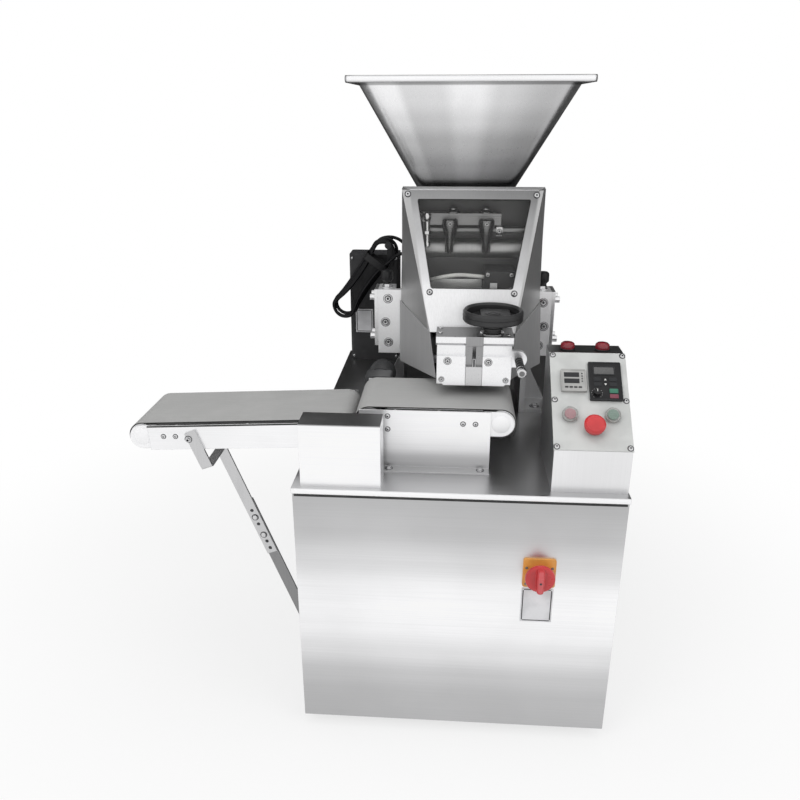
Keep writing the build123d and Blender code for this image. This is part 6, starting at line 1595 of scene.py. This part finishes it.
@dataclass
class SpeedDial:
    """Speed dial: the pointer line on its top and the ticks round it on the keypad."""

    top: Seat
    line: Slab = (1.1, 6, 0.35, 0.15, 0.4)
    tick: Profile = ((0, -0.1), (0.55, -0.1), (0.5, 0.2), (0, 0.25))
    ticks: int = 11
    sweep: Pair = (-50, 230)
    reach: float = 10.2
    drop: float = 8.0

    def build(self) -> None:
        """Build the line and the ticks."""
        slab("dial_pointer", self.line, [self.top.moved(0, 3)], LENS, "dial")
        turns = np.radians(np.linspace(*self.sweep, self.ticks))
        spots = [(self.reach * math.cos(turn), self.reach * math.sin(turn)) for turn in turns]
        turned("dial_ticks", self.tick, self.top.spread(spots, -self.drop), LENS, steps=10)


@dataclass
class ControlBox:
    """Sloping control box: screwed lid, timer, keypad, dial, buttons and lamps.

    Places are along the lid's right, up and outward directions from its lower left corner.
    """

    slope: float = 42.0
    origin: Vec = (495, 18, 673)
    sheet: float = 2.0
    screw_columns: Pair = (5, 140)
    screw_rows: Vec = (6, 104, 203)
    gap_shadow: Vec = (142.6, 205.6, 2)
    buttons: Pairs = ((111.5, 71), (32, 71))
    boot: Profile = ((14, 7.6), (15.2, 7.6), (15.2, 9.4), (14.4, 12), (12.6, 14.6), (9, 16), (0, 16.5),
                     (0, 15.6), (8.6, 15.1), (12, 13.8), (13.5, 11.6), (14, 9.4), (14, 7.6))
    skirt: Profile = ((15.3, 8.6), (18.4, 8.6), (18.8, 9.4), (17, 13.4), (15.3, 13.4), (15.3, 8.6))
    lamps: Spots = ((533, 201.6, 812.2), (602, 201.6, 812.2))
    lamp_base: Profile = ((0, -0.2), (15.6, -0.2), (15.6, 2.4), (14.9, 3.2), (0, 3.2))
    lamp_cap: Profile = ((0, 3), (14, 3), (14.3, 4.2, 20), (14.2, 9.4, 20), (13.3, 12), (10.6, 14.3),
                         (6, 15.3), (0, 15.6))

    def lid(self) -> Seat:
        """Return the lid's lower left corner as a seat."""
        slope = math.radians(self.slope)
        return Seat(self.origin, (1, 0, 0), (0, math.cos(slope), math.sin(slope)))

    def build(self) -> None:
        """Build everything on the lid, and the lamps on the box's top."""
        lid = self.lid()
        spots = [(x, y) for x in self.screw_columns for y in self.screw_rows]
        fasten("lid_screws", (Head.BUTTON, 5.0, lid.spread(spots, self.sheet)))
        # Painted shadow: a dark ring round the lid's edge, along the gap between lid and box
        ring_frame("lid_gap_shadow", lid.moved(72.5, 104, -1.2), self.gap_shadow, 1.4, 1.1, RUBBER)
        TimerRelay(lid.moved(42, 144, 8)).build()
        SpeedKeypad(lid.moved(102.5, 144, 7)).build()
        SpeedDial(lid.moved(85, 117, 15)).build()
        turned("button_boots", self.boot, lid.spread(self.buttons), BOOT, steps=64)
        turned("estop_skirt", self.skirt, [lid.moved(75, 46)], RED, "estop", 64)
        lamps = TOP.seats(self.lamps)
        turned("lamp_bases", self.lamp_base, lamps, BLACK, steps=48)
        turned("lamp_caps", self.lamp_cap, lamps, LAMP, steps=80, replaces=("pilot_lamps",))


@dataclass
class Conveyors:
    """Short and long belt conveyors: plate screws, foot bolts, bearing caps, belt edges and dark seals with
    painted shade.
    """

    face: float = 103.0
    back: float = 289.0
    tilt: float = 2.78
    short: Pairs = ((140, 683.5), (401, 683.5))
    long: Pairs = ((-329.5, 636.9), (75, 656.5))
    plate_front: Pairs = ((177, 697), (177, 669), (326.4, 684), (351, 684))
    plate_rear: Pairs = ((326.4, 684), (351, 684))
    feet: Spots = ((179.5, 92, 588), (363, 94, 588), (179.5, 300, 588), (363, 300, 588))
    rail_screws: Pairs = ((-284, 639), (-259, 639.7))
    cap: Profile = ((0, -0.4), (18, -0.4), (18, 0.3), (17.4, 0.6), (0, 0.7))
    cap_inset: float = 3.0
    belt_thick: float = 2.0
    short_reach: float = 30.4
    long_reach: float = 28.4
    edge_rows: Pair = (110, 282)
    short_seal_shade: Slab = (194, 10, 3, 0.5)
    long_seal_shade: Slab = (338, 9, 3, 0.5)
    rail_strip: Slab = (392, 3.4, 0.5, 0.2)

    def rail(self, x: float, z: float, rear: bool = False) -> Seat:
        """Find a seat on the long conveyor's rail, leaning with it.

        Args:
            x: Place along the machine.
            z: Level.
            rear: Whether it is on the rear rail.

        Returns:
            The seat.
        """
        turn = math.radians(self.tilt)
        along = (math.cos(turn), 0, math.sin(turn))
        up = (-math.sin(turn), 0, math.cos(turn))
        if rear:
            return Seat((x, self.back, z), (-along[0], 0, -along[2]), up)
        return Seat((x, self.face, z), along, up)

    def build(self) -> None:
        """Build the screws, belt edges, seals with their painted shade and bearing caps of both conveyors."""
        plates = FRONT.row(self.face, self.plate_front) + REAR.row(self.back, self.plate_rear)
        fasten("plate_screws", (Head.BUTTON, 4.6, plates), (Head.HEX, 5.5, TOP.seats(self.feet)))
        rails = [self.rail(x, z, rear) for rear in (False, True) for x, z in self.rail_screws]
        fasten("rail_bolts", (Head.BUTTON, 4.6, rails))
        self.edges()
        self.seals_and_shade()
        caps = [seat for x, z in (*self.short, *self.long[::-1])
                for seat in (FRONT.seat(x, self.face + self.cap_inset, z),
                             REAR.seat(x, self.back - self.cap_inset, z))]
        turned("bearing_caps", self.cap, caps, WHITE, steps=48)

    def edges(self) -> None:
        """Build the belts' dark cut edges, each a capsule's rim of the belt's thickness."""
        cut = Form()
        seats = FRONT.seats([(0, y, 0) for y in self.edge_rows])
        for ends, reach in ((self.short, self.short_reach), (self.long, self.long_reach)):
            outer, inner = capsule(*ends, reach), capsule(*ends, reach - self.belt_thick)
            cut.band(outer, inner, (-0.4, 0.4), seats)
        make_piece("belt_edges", cut, RUBBER)

    def seals_and_shade(self) -> None:
        """Build the dark seals in the gaps between belts and side plates, standing in too for the shade in
        those gaps.
        """
        seals_and_shade = Form().block(self.short_seal_shade, [FRONT.seat(270.5, 109.4, 706), REAR.seat(270.5, 282.6, 706)])
        sides = (False, True)
        seals_and_shade.block(self.long_seal_shade, [self.rail(-127.2, 646.7, side).moved(0, 22, -6.4) for side in sides])
        seals_and_shade.block(self.rail_strip, [self.rail(-120, 647, side).moved(0, 21.8) for side in sides])
        make_piece("belt_seals_and_shade", seals_and_shade, RUBBER)


@dataclass
class Strut:
    """Folding strut: bolts with nuts through both bars, painted shade over the spare holes and the hook's
    bolt.
    """

    top: Pair = (-197, 571)
    along: Pair = (0.3502, -0.9367)
    front: float = 196.0
    rear: float = 206.0
    bolts: Pair = (180.5, 228)
    holes: Floats = (162, 198.5, 245.5, 263.7)
    hole: Profile = ((0, -0.4), (3.9, -0.4), (3.9, 0.1), (3.2, 0.15), (0, 0.1))

    def at(self, reach: float) -> Pair:
        """Return the x and z of a point on the strut's middle line."""
        return self.top[0] + self.along[0] * reach, self.top[1] + self.along[1] * reach

    def build(self) -> None:
        """Build the two clamping bolts, their nuts, the painted shade over the holes and the hook's bolt."""
        spots = [self.at(reach) for reach in self.bolts]
        fasten("strut_bolts", (Head.DOME, 6.4, FRONT.row(self.front, spots)),
               (Head.NUT, 7.0, REAR.row(self.rear, spots)))
        holes = FRONT.row(self.front, map(self.at, self.holes))
        # Painted shade: dark discs over the spare holes
        turned("strut_hole_shade", self.hole, holes, INK_AND_SHADE, steps=28)
        leg = FRONT.row(reach_of(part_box("strut_upper_bar")[0], 1), [(-230.5, 636.5)])
        fasten("strut_hook_bolt", (Head.SOCKET, 6.0, leg))


@dataclass
class Extruder:
    """Barrel, ears, throat and pedestal: their screws and bolts, and the clamp knobs' grips."""

    face: float = 408.0
    ears: Pairs = ((153, 860), (147, 805), (153.5, 757), (504, 856), (508.6, 801), (499.3, 755.4))
    throat_columns: Vec = (235, 323, 411)
    throat_sides: Pair = (219, 427)
    throat_rows: Vec = (424, 499, 574)
    throat_levels: Pair = (898, 1088)
    feet: Pair = (149, 503)
    foot_rows: Pair = (440, 558)
    grip: Profile = ((0, 8), (8.6, 8), (9, 8.6), (9, 13), (12.8, 16.4, 10), (14, 18.4, 10), (14, 33, 10),
                     (13, 36.4), (10, 39), (0, 40))
    nut: Profile = ((0, -0.1), (12, -0.1), (12, 1.6), (10.4, 2, 6), (10.4, 7, 6), (9, 7.8), (0, 7.8))

    def build(self) -> None:
        """Build the fastenings and the clamps of the extruder."""
        fasten("ear_screws", (Head.SUNK, 6.6, FRONT.row(self.face, self.ears)))
        spots = [(x, z) for x in self.throat_columns for z in self.throat_levels]
        throat = REAR.row(590, spots)
        throat += [side.seat(x, y, z) for side, x in zip((LEFT, RIGHT), self.throat_sides)
                   for y in self.throat_rows for z in self.throat_levels]
        fasten("throat_screws", (Head.BUTTON, 6.0, throat))
        feet = TOP.seats([(x, y, 593) for x in self.feet for y in self.foot_rows])
        fasten("pedestal_bolts", (Head.HEX, 8.0, feet))
        for side, x in zip(("left", "right"), self.feet):
            seats = [TOP.seat(x, 438, 881)]
            turned(f"clamp_grip_{side}", self.grip, seats, BLACK, f"knob_{side}", 80, (f"clamp_knob_{side}",))
            turned(f"clamp_nut_{side}", self.nut, seats, BOLTING)


@dataclass
class FanGuard:
    """Fan guard of rings, spokes and a hub over a disc of painted shade, at a motor's end."""

    name: str
    at: Vec
    radii: Floats
    bars: int
    bar: Slab = (2.6, 1.6, 0.5)
    half: float = 1.3
    crown: float = 1.9

    def build(self) -> None:
        """Build the disc, and the grid over it as one piece."""
        seat = REAR.seat(*self.at)
        edge, hub = self.radii[-1], self.radii[0] / 2
        disc = ((0, -0.2), (edge, -0.2), (edge, 0.3), (0, 0.3))
        # Painted shade: dark disc behind the grid
        turned(self.name + "_shade_disc", disc, [seat], INK_AND_SHADE, steps=72)
        rings = ((0, -0.1), (hub, -0.1), (hub, 1.6), (hub - 0.8, 2.2), (0, 2.2))
        grid = Form().spun(rings, [seat], 48)
        for radius in self.radii:
            inner, outer = radius - self.half, radius + self.half
            grid.spun(((inner, 0), (outer, 0), (outer, self.half), (radius, self.crown), (inner, self.half),
                       (inner, 0)), [seat], 72)
        grid.block((edge - hub, *self.bar), self.spokes((hub + edge) / 2))
        make_piece(self.name + "_guard", grid, MOTOR)

    def spokes(self, reach: float) -> list[Seat]:
        """Find the seats of the spokes, each with its right direction away from the hub.

        Args:
            reach: Distance of a spoke's middle from the axis.

        Returns:
            The seats.
        """
        seats = []
        for turn in np.linspace(0, 2 * math.pi, self.bars, endpoint=False):
            right = (-math.cos(turn), 0, math.sin(turn))
            place = (self.at[0] + reach * right[0], self.at[1], self.at[2] + reach * right[2])
            seats.append(Seat(place, right, (math.sin(turn), 0, math.cos(turn))))
        return seats


@dataclass
class Drives:
    """Main and conveyor gearmotors: fan guards, covers, flange, plugs and their screws."""

    main: Vec = (326, 860, 795)
    conveyor: Vec = (140, 419, 683.5)
    flange: Profile = ((58, -0.2), (75, -0.2), (75, 7), (73.6, 8.4), (58, 8.4), (58, -0.2))
    flange_y: float = 695.0
    cover: Slab = (78, 128, 4, 1, 12)
    cover_sides: Pair = (241, 411)
    cover_screws: Pairs = ((-31, -55), (-31, 0), (-31, 55), (31, -55), (31, 0), (31, 55))
    flange_screws: Pairs = ((-71, -69), (-71, 69), (71, -69), (71, 69))
    lid: Slab = (67, 55, 3, 0.8, 5)
    lid_screws: Pairs = ((-27, -21), (-27, 21), (27, -21), (27, 21))
    end_screws: Pairs = ((116.5, 707), (163.5, 707), (116.5, 660), (163.5, 660))
    cowl_radius: float = 64.0
    cowl_inset: float = 20.0
    cowl_turns: Floats = (45, 135, 225, 315)
    plug: Profile = ((0, -0.2), (12, -0.2, 6), (12, 5, 6), (9.4, 6), (9.4, 10), (8, 12), (0, 12))
    plugs: Spots = ((362, 728, 866), (362, 758, 866))
    fin: Profile = ((28.4, 0), (31.4, 0.3), (31.4, 3.2), (28.4, 3.5), (28.4, 0))
    fin_rows: Pair = (344, 400)
    fins: int = 9

    def build(self) -> None:
        """Build the fittings of both gearmotors."""
        FanGuard("main_fan", self.main, (18, 28, 38, 48, 57), 8).build()
        FanGuard("conveyor_fan", self.conveyor, (9, 16, 24), 6).build()
        self.gearbox()
        self.terminals()
        spots = [(self.conveyor[0], y, self.conveyor[2]) for y in np.linspace(*self.fin_rows, self.fins)]
        turned("conveyor_motor_fins", self.fin, REAR.seats(spots), MOTOR, steps=72)

    def gearbox(self) -> None:
        """Build the motor's flange, the gearbox's side covers and their screws."""
        x, _, z = self.main
        turned("motor_flange", self.flange, [REAR.seat(x, self.flange_y, z)], MOTOR, steps=96)
        sides = [facing.seat(edge, 642, z) for facing, edge in zip((LEFT, RIGHT), self.cover_sides)]
        slab("gearbox_covers", self.cover, sides, MOTOR)
        covers = [seat for side in sides for seat in side.spread(self.cover_screws, self.cover[2])]
        corners = REAR.row(self.flange_y, [(x + across, z + rise) for across, rise in self.flange_screws])
        fasten("gearbox_screws", (Head.SOCKET, 5.0, covers), (Head.SOCKET, 8.0, corners),
               (Head.HEX, 9.0, [TOP.seat(280, 640, 878)]))

    def terminals(self) -> None:
        """Build the terminal box's lid and plugs, and the small screws of both motors."""
        lid = TOP.seat(self.main[0], 743, 889)
        slab("terminal_lid", self.lid, [lid], MOTOR)
        fasten("terminal_screws", (Head.BUTTON, 4.0, lid.spread(self.lid_screws, self.lid[2])),
               (Head.BUTTON, 4.0, self.cowl()), (Head.SOCKET, 4.0, REAR.row(334, self.end_screws)))
        turned("terminal_plugs", self.plug, RIGHT.seats(self.plugs), BLACK)

    def cowl(self) -> list[Seat]:
        """Find the seats of the screws round the fan cowl, each looking away from the motor's axis.

        Returns:
            The seats.
        """
        x, y, z = self.main
        radius, row = self.cowl_radius, y - self.cowl_inset
        return [Seat((x + radius * math.cos(turn), row, z + radius * math.sin(turn)), (0, 1, 0),
                     (-math.sin(turn), 0, math.cos(turn))) for turn in np.radians(self.cowl_turns)]


@dataclass
class Handwheel:
    """Handwheel: web across its dish, hub rings and cap, handle's boss, rim line and the bush it turns in."""

    axis: Pair = (381, 198.2)
    web: Slab = (60, 80, 8, 1.8, 9)
    boss: Profile = ((0, 875.8), (7.5, 875.8), (7.5, 880.4), (6.6, 881), (4, 881), (3.8, 877), (0, 877))
    hub: Profile = ((17.8, 852), (20.5, 852.6), (20.5, 856.4), (18.6, 857.4), (18.6, 860), (25, 863),
                    (27, 866), (27, 870.2), (17.8, 870.2), (17.8, 852))
    bush: Profile = ((18.4, 843.8), (24, 843.8), (24, 845.4), (22.6, 847), (18.4, 847.4), (18.4, 843.8))
    cap: Profile = ((0, 883), (10, 883), (10, 885), (9.2, 885.8), (5.4, 885.8), (5, 885.2), (0, 885.2))
    line: Profile = ((60, 880.6), (60.35, 880.9), (60.35, 882.1), (60, 882.4), (60, 880.6))

    def build(self) -> None:
        """Build what dresses the wheel, and the bush that stays on the die."""
        axis = [TOP.seat(*self.axis, 0)]
        slab("wheel_web", self.web, [TOP.seat(386, 198.2, 876)], WHEEL, "wheel")
        turned("wheel_handle_boss", self.boss, [TOP.seat(424.5, 198.2, 0)], BLACK, "wheel")
        turned("wheel_hub_rings", self.hub, axis, WHEEL, "wheel", 72)
        turned("wheel_bush", self.bush, axis, BOLTING, steps=72)
        turned("wheel_cap", self.cap, axis, BLACK, "wheel", 48)
        turned("wheel_ring", self.line, axis, BLACK, "wheel", 96)


@dataclass
class Die:
    """Portioning die: screws, slide, pointer line, handwheel and locking pin."""

    face: float = 174.0
    large: Pairs = ((292.8, 790.7), (374.5, 789.3))
    corners: Pairs = ((281, 751.6), (410.6, 751.6))
    top: Spots = ((277, 228, 844), (277, 193, 844), (413, 185, 844))
    slide: Slab = (35, 20, 0.5, 0.2, 0.6)
    pointer: Slab = (3.4, 15.5, 0.6, 0.2, 0.6)
    pin_start: float = 6.0
    pin_end: float = 61.8
    pin_pitch: float = 14.0
    pin_rings: int = 4
    # Radius, and height above a ring's start, of each ring of the pin's grip
    pin_ring: Pairs = ((7.4, 0), (8, 0.8), (8, 6.4), (7.4, 7.2), (6.3, 7.4), (6.3, 13.8))
    pin_band: Profile = ((9, 72), (9.5, 72.4), (9.5, 77), (9, 77.4), (9, 72))
    pin_plug: Profile = ((0, 87.6), (5.4, 87.6), (5.4, 88.4), (4.6, 88.6), (0, 88.6))

    def build(self) -> None:
        """Build the die's fastenings, handwheel, slide, pointer and pin."""
        fasten("die_screws", (Head.SUNK, 5.0, FRONT.row(self.face, self.large)),
               (Head.SUNK, 3.8, FRONT.row(self.face, self.corners)),
               (Head.BUTTON, 4.6, TOP.seats(self.top)))
        Handwheel().build()
        slab("gate_slide", self.slide, [FRONT.seat(346, 168, 834)], STRIP)
        slab("gate_pointer", self.pointer, [FRONT.seat(346, 174.5, 787)], INK_AND_SHADE, "gate")
        pin = [FRONT.seat(435, 182, 794)]
        starts = [self.pin_start + self.pin_pitch * ring for ring in range(self.pin_rings)]
        grip = [(radius, start + height) for start in starts for radius, height in self.pin_ring]
        turned("pin_rings", [(0, self.pin_start), *grip, (0, self.pin_end)], pin, BLACK, "pin")
        turned("pin_grip_ring", self.pin_band, pin, BLACK, "pin")
        turned("pin_end_plug", self.pin_plug, pin, DARK_STEEL, "pin")


@dataclass
class RockerDrive:
    """Drive behind the hood's pane: the beam's bolts and bosses, finger cones, link rod, collar and valve."""

    body: str = "rocker_arm"
    beam: Spots = ((297, 362, 1059), (366, 362, 1059))
    boss: Profile = ((0, -0.5), (15, -0.5), (15, 2), (13.5, 3.5), (10.5, 7), (9, 7.6), (0, 7.6))
    fingers: Pair = (291, 367)
    cone: Profile = ((0, 977.6), (3.8, 977.6), (4.6, 978.8), (6.6, 992), (10, 1007), (13.8, 1022),
                     (16.6, 1034), (17, 1041), (16.2, 1047), (13, 1050), (0, 1050))
    rod: Profile = ((0, 992), (7, 992), (7.8, 993, 6), (7.8, 1000, 6), (6.4, 1001), (6.4, 1016),
                    (8.8, 1017, 6), (8.8, 1024, 6), (6.4, 1025), (6.4, 1044), (8.6, 1047), (9.4, 1052),
                    (8.8, 1057), (6, 1061), (0, 1062))
    valve: Slab = (64, 56, 80, 2.5, 3)
    valve_screws: Pairs = ((-25, 21), (25, 21), (25, -10))
    plate: Slab = (15, 12, 0.7, 0.3, 0.8)
    collar: Profile = ((0, 0), (12.6, 0), (13.2, 0.6), (13.2, 13.4), (12.6, 14), (0, 14))

    def build(self) -> None:
        """Build the rocker's bolts, cones, rod and collar, and the valve block behind them."""
        beam = TOP.seats(self.beam)
        keys = [FRONT.seat(x, 324.4, 1041) for x in self.fingers]
        fasten("beam_bolts", (Head.DOME, 8.0, [seat.moved(0, 0, 7.5) for seat in beam]),
               (Head.SOCKET, 4.6, keys), body=self.body)
        turned("beam_bosses", self.boss, beam, FINGER, self.body, 40)
        cones = TOP.seats([(x, 339.2, 0) for x in self.fingers])
        turned("finger_cones", self.cone, cones, FINGER, self.body, 40)
        turned("link_rod", self.rod, [TOP.seat(242.5, 340, 0)], CHROME, self.body)
        valve = FRONT.seat(398, 396, 916)
        slab("valve_block", self.valve, [valve], DARK)
        face = valve.moved(0, 0, self.valve[2])
        fasten("valve_screws", (Head.SOCKET, 4.0, face.spread(self.valve_screws)))
        slab("valve_plate", self.plate, [face.moved(-12, -2.5)], PLATE)
        turned("shaft_collar", self.collar, [RIGHT.seat(388, 362, 1023)], CHROME, self.body, 48)
        screw = [FRONT.seat(395, 349, 1023)]
        fasten("collar_screw", (Head.SOCKET, 4.2, screw), body=self.body)


@dataclass
class Hood:
    """Hood over the cutter drive: screws and edge strip of the pane, painted highlight on the roof and
    painted reflection by the hose.
    """

    origin: Vec = (339, 255, 827)
    rise: Pair = (73.5, 281.5)
    screws: Pairs = ((-136, 282.5), (127, 281.5), (-87, 83), (88, 82))
    pane_outer: Pairs = ((-84.9, 90.6), (84.9, 90.6), (116.4, 272.9), (-116.4, 272.9))
    pane_inner: Pairs = ((-83.3, 92.2), (83.3, 92.2), (114.6, 271.3), (-114.6, 271.3))
    roof: Pairs = ((207.5, 329), (470.5, 329), (490, 392), (188, 392))
    roof_layers: Pairs = ((0, -0.2), (0, 0.5), (0.4, 0.8))
    reflection_plate: Slab = (130, 26, 1.6, 0.5, 2)

    def front(self) -> Seat:
        """Return the hood's leaning front as a seat."""
        length = math.hypot(*self.rise)
        return Seat(self.origin, (1, 0, 0), (0, self.rise[0] / length, self.rise[1] / length))

    def build(self) -> None:
        """Build the screws, the pane's edge strip, the drive behind it, the roof's painted highlight and the
        painted reflection behind the hose.
        """
        front = self.front()
        fasten("hood_screws", (Head.BUTTON, 5.6, front.spread(self.screws)))
        outer, inner = softened(self.pane_outer, 5, 7), softened(self.pane_inner, 4, 7)
        make_piece("pane_edge", Form().band(outer, inner, (-0.3, 0.7), [front]), RUBBER)
        RockerDrive().build()
        level = TOP.seat(0, 0, reach_of(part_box("hood_shell")[1], 2))
        # Painted highlight: a pale sheet on the hood's roof
        make_piece("roof_highlight_sheet", Form().plate(softened(self.roof, 2), self.roof_layers, [level]), HIGHLIGHT_SHEET)
        # Painted reflection: a pale plate behind the hose
        slab("hose_reflection_plate", self.reflection_plate, [FRONT.seat(299, 397.8, 897)], HIGHLIGHT_SHEET)


@dataclass
class Hopper:
    """Hopper: the rolled bead over its folded rim."""

    middle: Pair = (323, 499)
    line: Vec = (473, 373, 5.5)
    level: float = 1318.5
    wide: float = 7.4
    tall: float = 6.8
    least: float = 0.6

    def build(self) -> None:
        """Build the bead: a superellipse of fourth power carried round the rim."""
        turn = np.linspace(0, 2 * math.pi, 24, endpoint=False)
        out, rise = (np.sign(wave) * np.sqrt(np.abs(wave)) for wave in (np.cos(turn), np.sin(turn)))
        width, depth, corner = self.line
        outlines = [rounded(width + 2 * reach, depth + 2 * reach, max(corner + reach, self.least), 7)
                    for reach in self.wide * out]
        form = Form().hoop(outlines, self.tall * rise, [TOP.seat(*self.middle, self.level)])
        make_piece("hopper_bead", form, RIM, "hopper_body")


@dataclass
class Inverter:
    """Inverter housing: bare plate, cover screws, cooling slots of painted shade, seam and heat sink."""

    front: float = 800.0
    screws: Pairs = ((20, 596), (20, 878), (142, 596), (142, 878))
    sides: Pair = (12, 150)
    side_slot: Slab = (44, 4.6, 0.35, 0.15, 2.2)
    side_slots: tuple[float, float, int] = (628, 708, 8)
    top_rows: Pair = (832, 858)
    top_slot: Slab = (4.6, 18, 0.35, 0.15, 2.2)
    top_slots: tuple[float, float, int] = (36, 126, 9)
    sink: Slab = (116, 250, 1.6, 0.5, 3)
    sink_at: Vec = (81, 878, 742)
    fin: Slab = (2.6, 242, 8, 0.6)
    fins: tuple[float, float, int] = (29, 133, 14)

    def build(self) -> None:
        """Build the housing's fittings."""
        BarePlate("inverter_plate", FRONT.seat(51.5, self.front, 700), 49, 68).build()
        fasten("inverter_screws", (Head.BUTTON, 4.0, FRONT.row(self.front, self.screws)))
        sides = [facing.seat(x, 842, z) for facing, x in zip((LEFT, RIGHT), self.sides)
                 for z in np.linspace(*self.side_slots)]
        tops = [TOP.seat(x, y, 888) for x in np.linspace(*self.top_slots) for y in self.top_rows]
        # Painted shade: dark blocks for the cooling slots
        vents = Form().block(self.side_slot, sides).block(self.top_slot, tops)
        make_piece("inverter_vent_shade", vents, INK_AND_SHADE)
        seam = Form().band(rounded(138.7, 303.7, 0.8), rounded(136, 301, 0.8), (0, 1.3),
                           [FRONT.seat(81, 817, 736.5)])
        make_piece("inverter_seam", seam, INK_AND_SHADE)
        _, y, z = self.sink_at
        fins = REAR.row(y, [(x, z) for x in np.linspace(*self.fins)])
        sink = Form().block(self.sink, [REAR.seat(*self.sink_at)]).block(self.fin, fins)
        make_piece("inverter_heat_sink", sink, MOTOR)


def finish_nodes() -> None:
    """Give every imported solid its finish."""
    for name, finish in NODE_FINISH.items():
        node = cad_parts[name]
        node.data.materials.clear()
        node.data.materials.append(finish.material())


def main() -> None:
    """Build the stage, the finishes and every sub-assembly's pieces."""
    logging.basicConfig(level=logging.INFO, format="%(message)s")
    Studio().build()
    SupplyCable().build()
    HoodHose().build()
    finish_nodes()
    for part in (Cabinet, IsolatorSwitch, ControlBox, Conveyors, Strut, Extruder, Drives, Die, Hood, Hopper,
                 Inverter):
        part().build()
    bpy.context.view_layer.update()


if __name__ == "__main__":
    main()
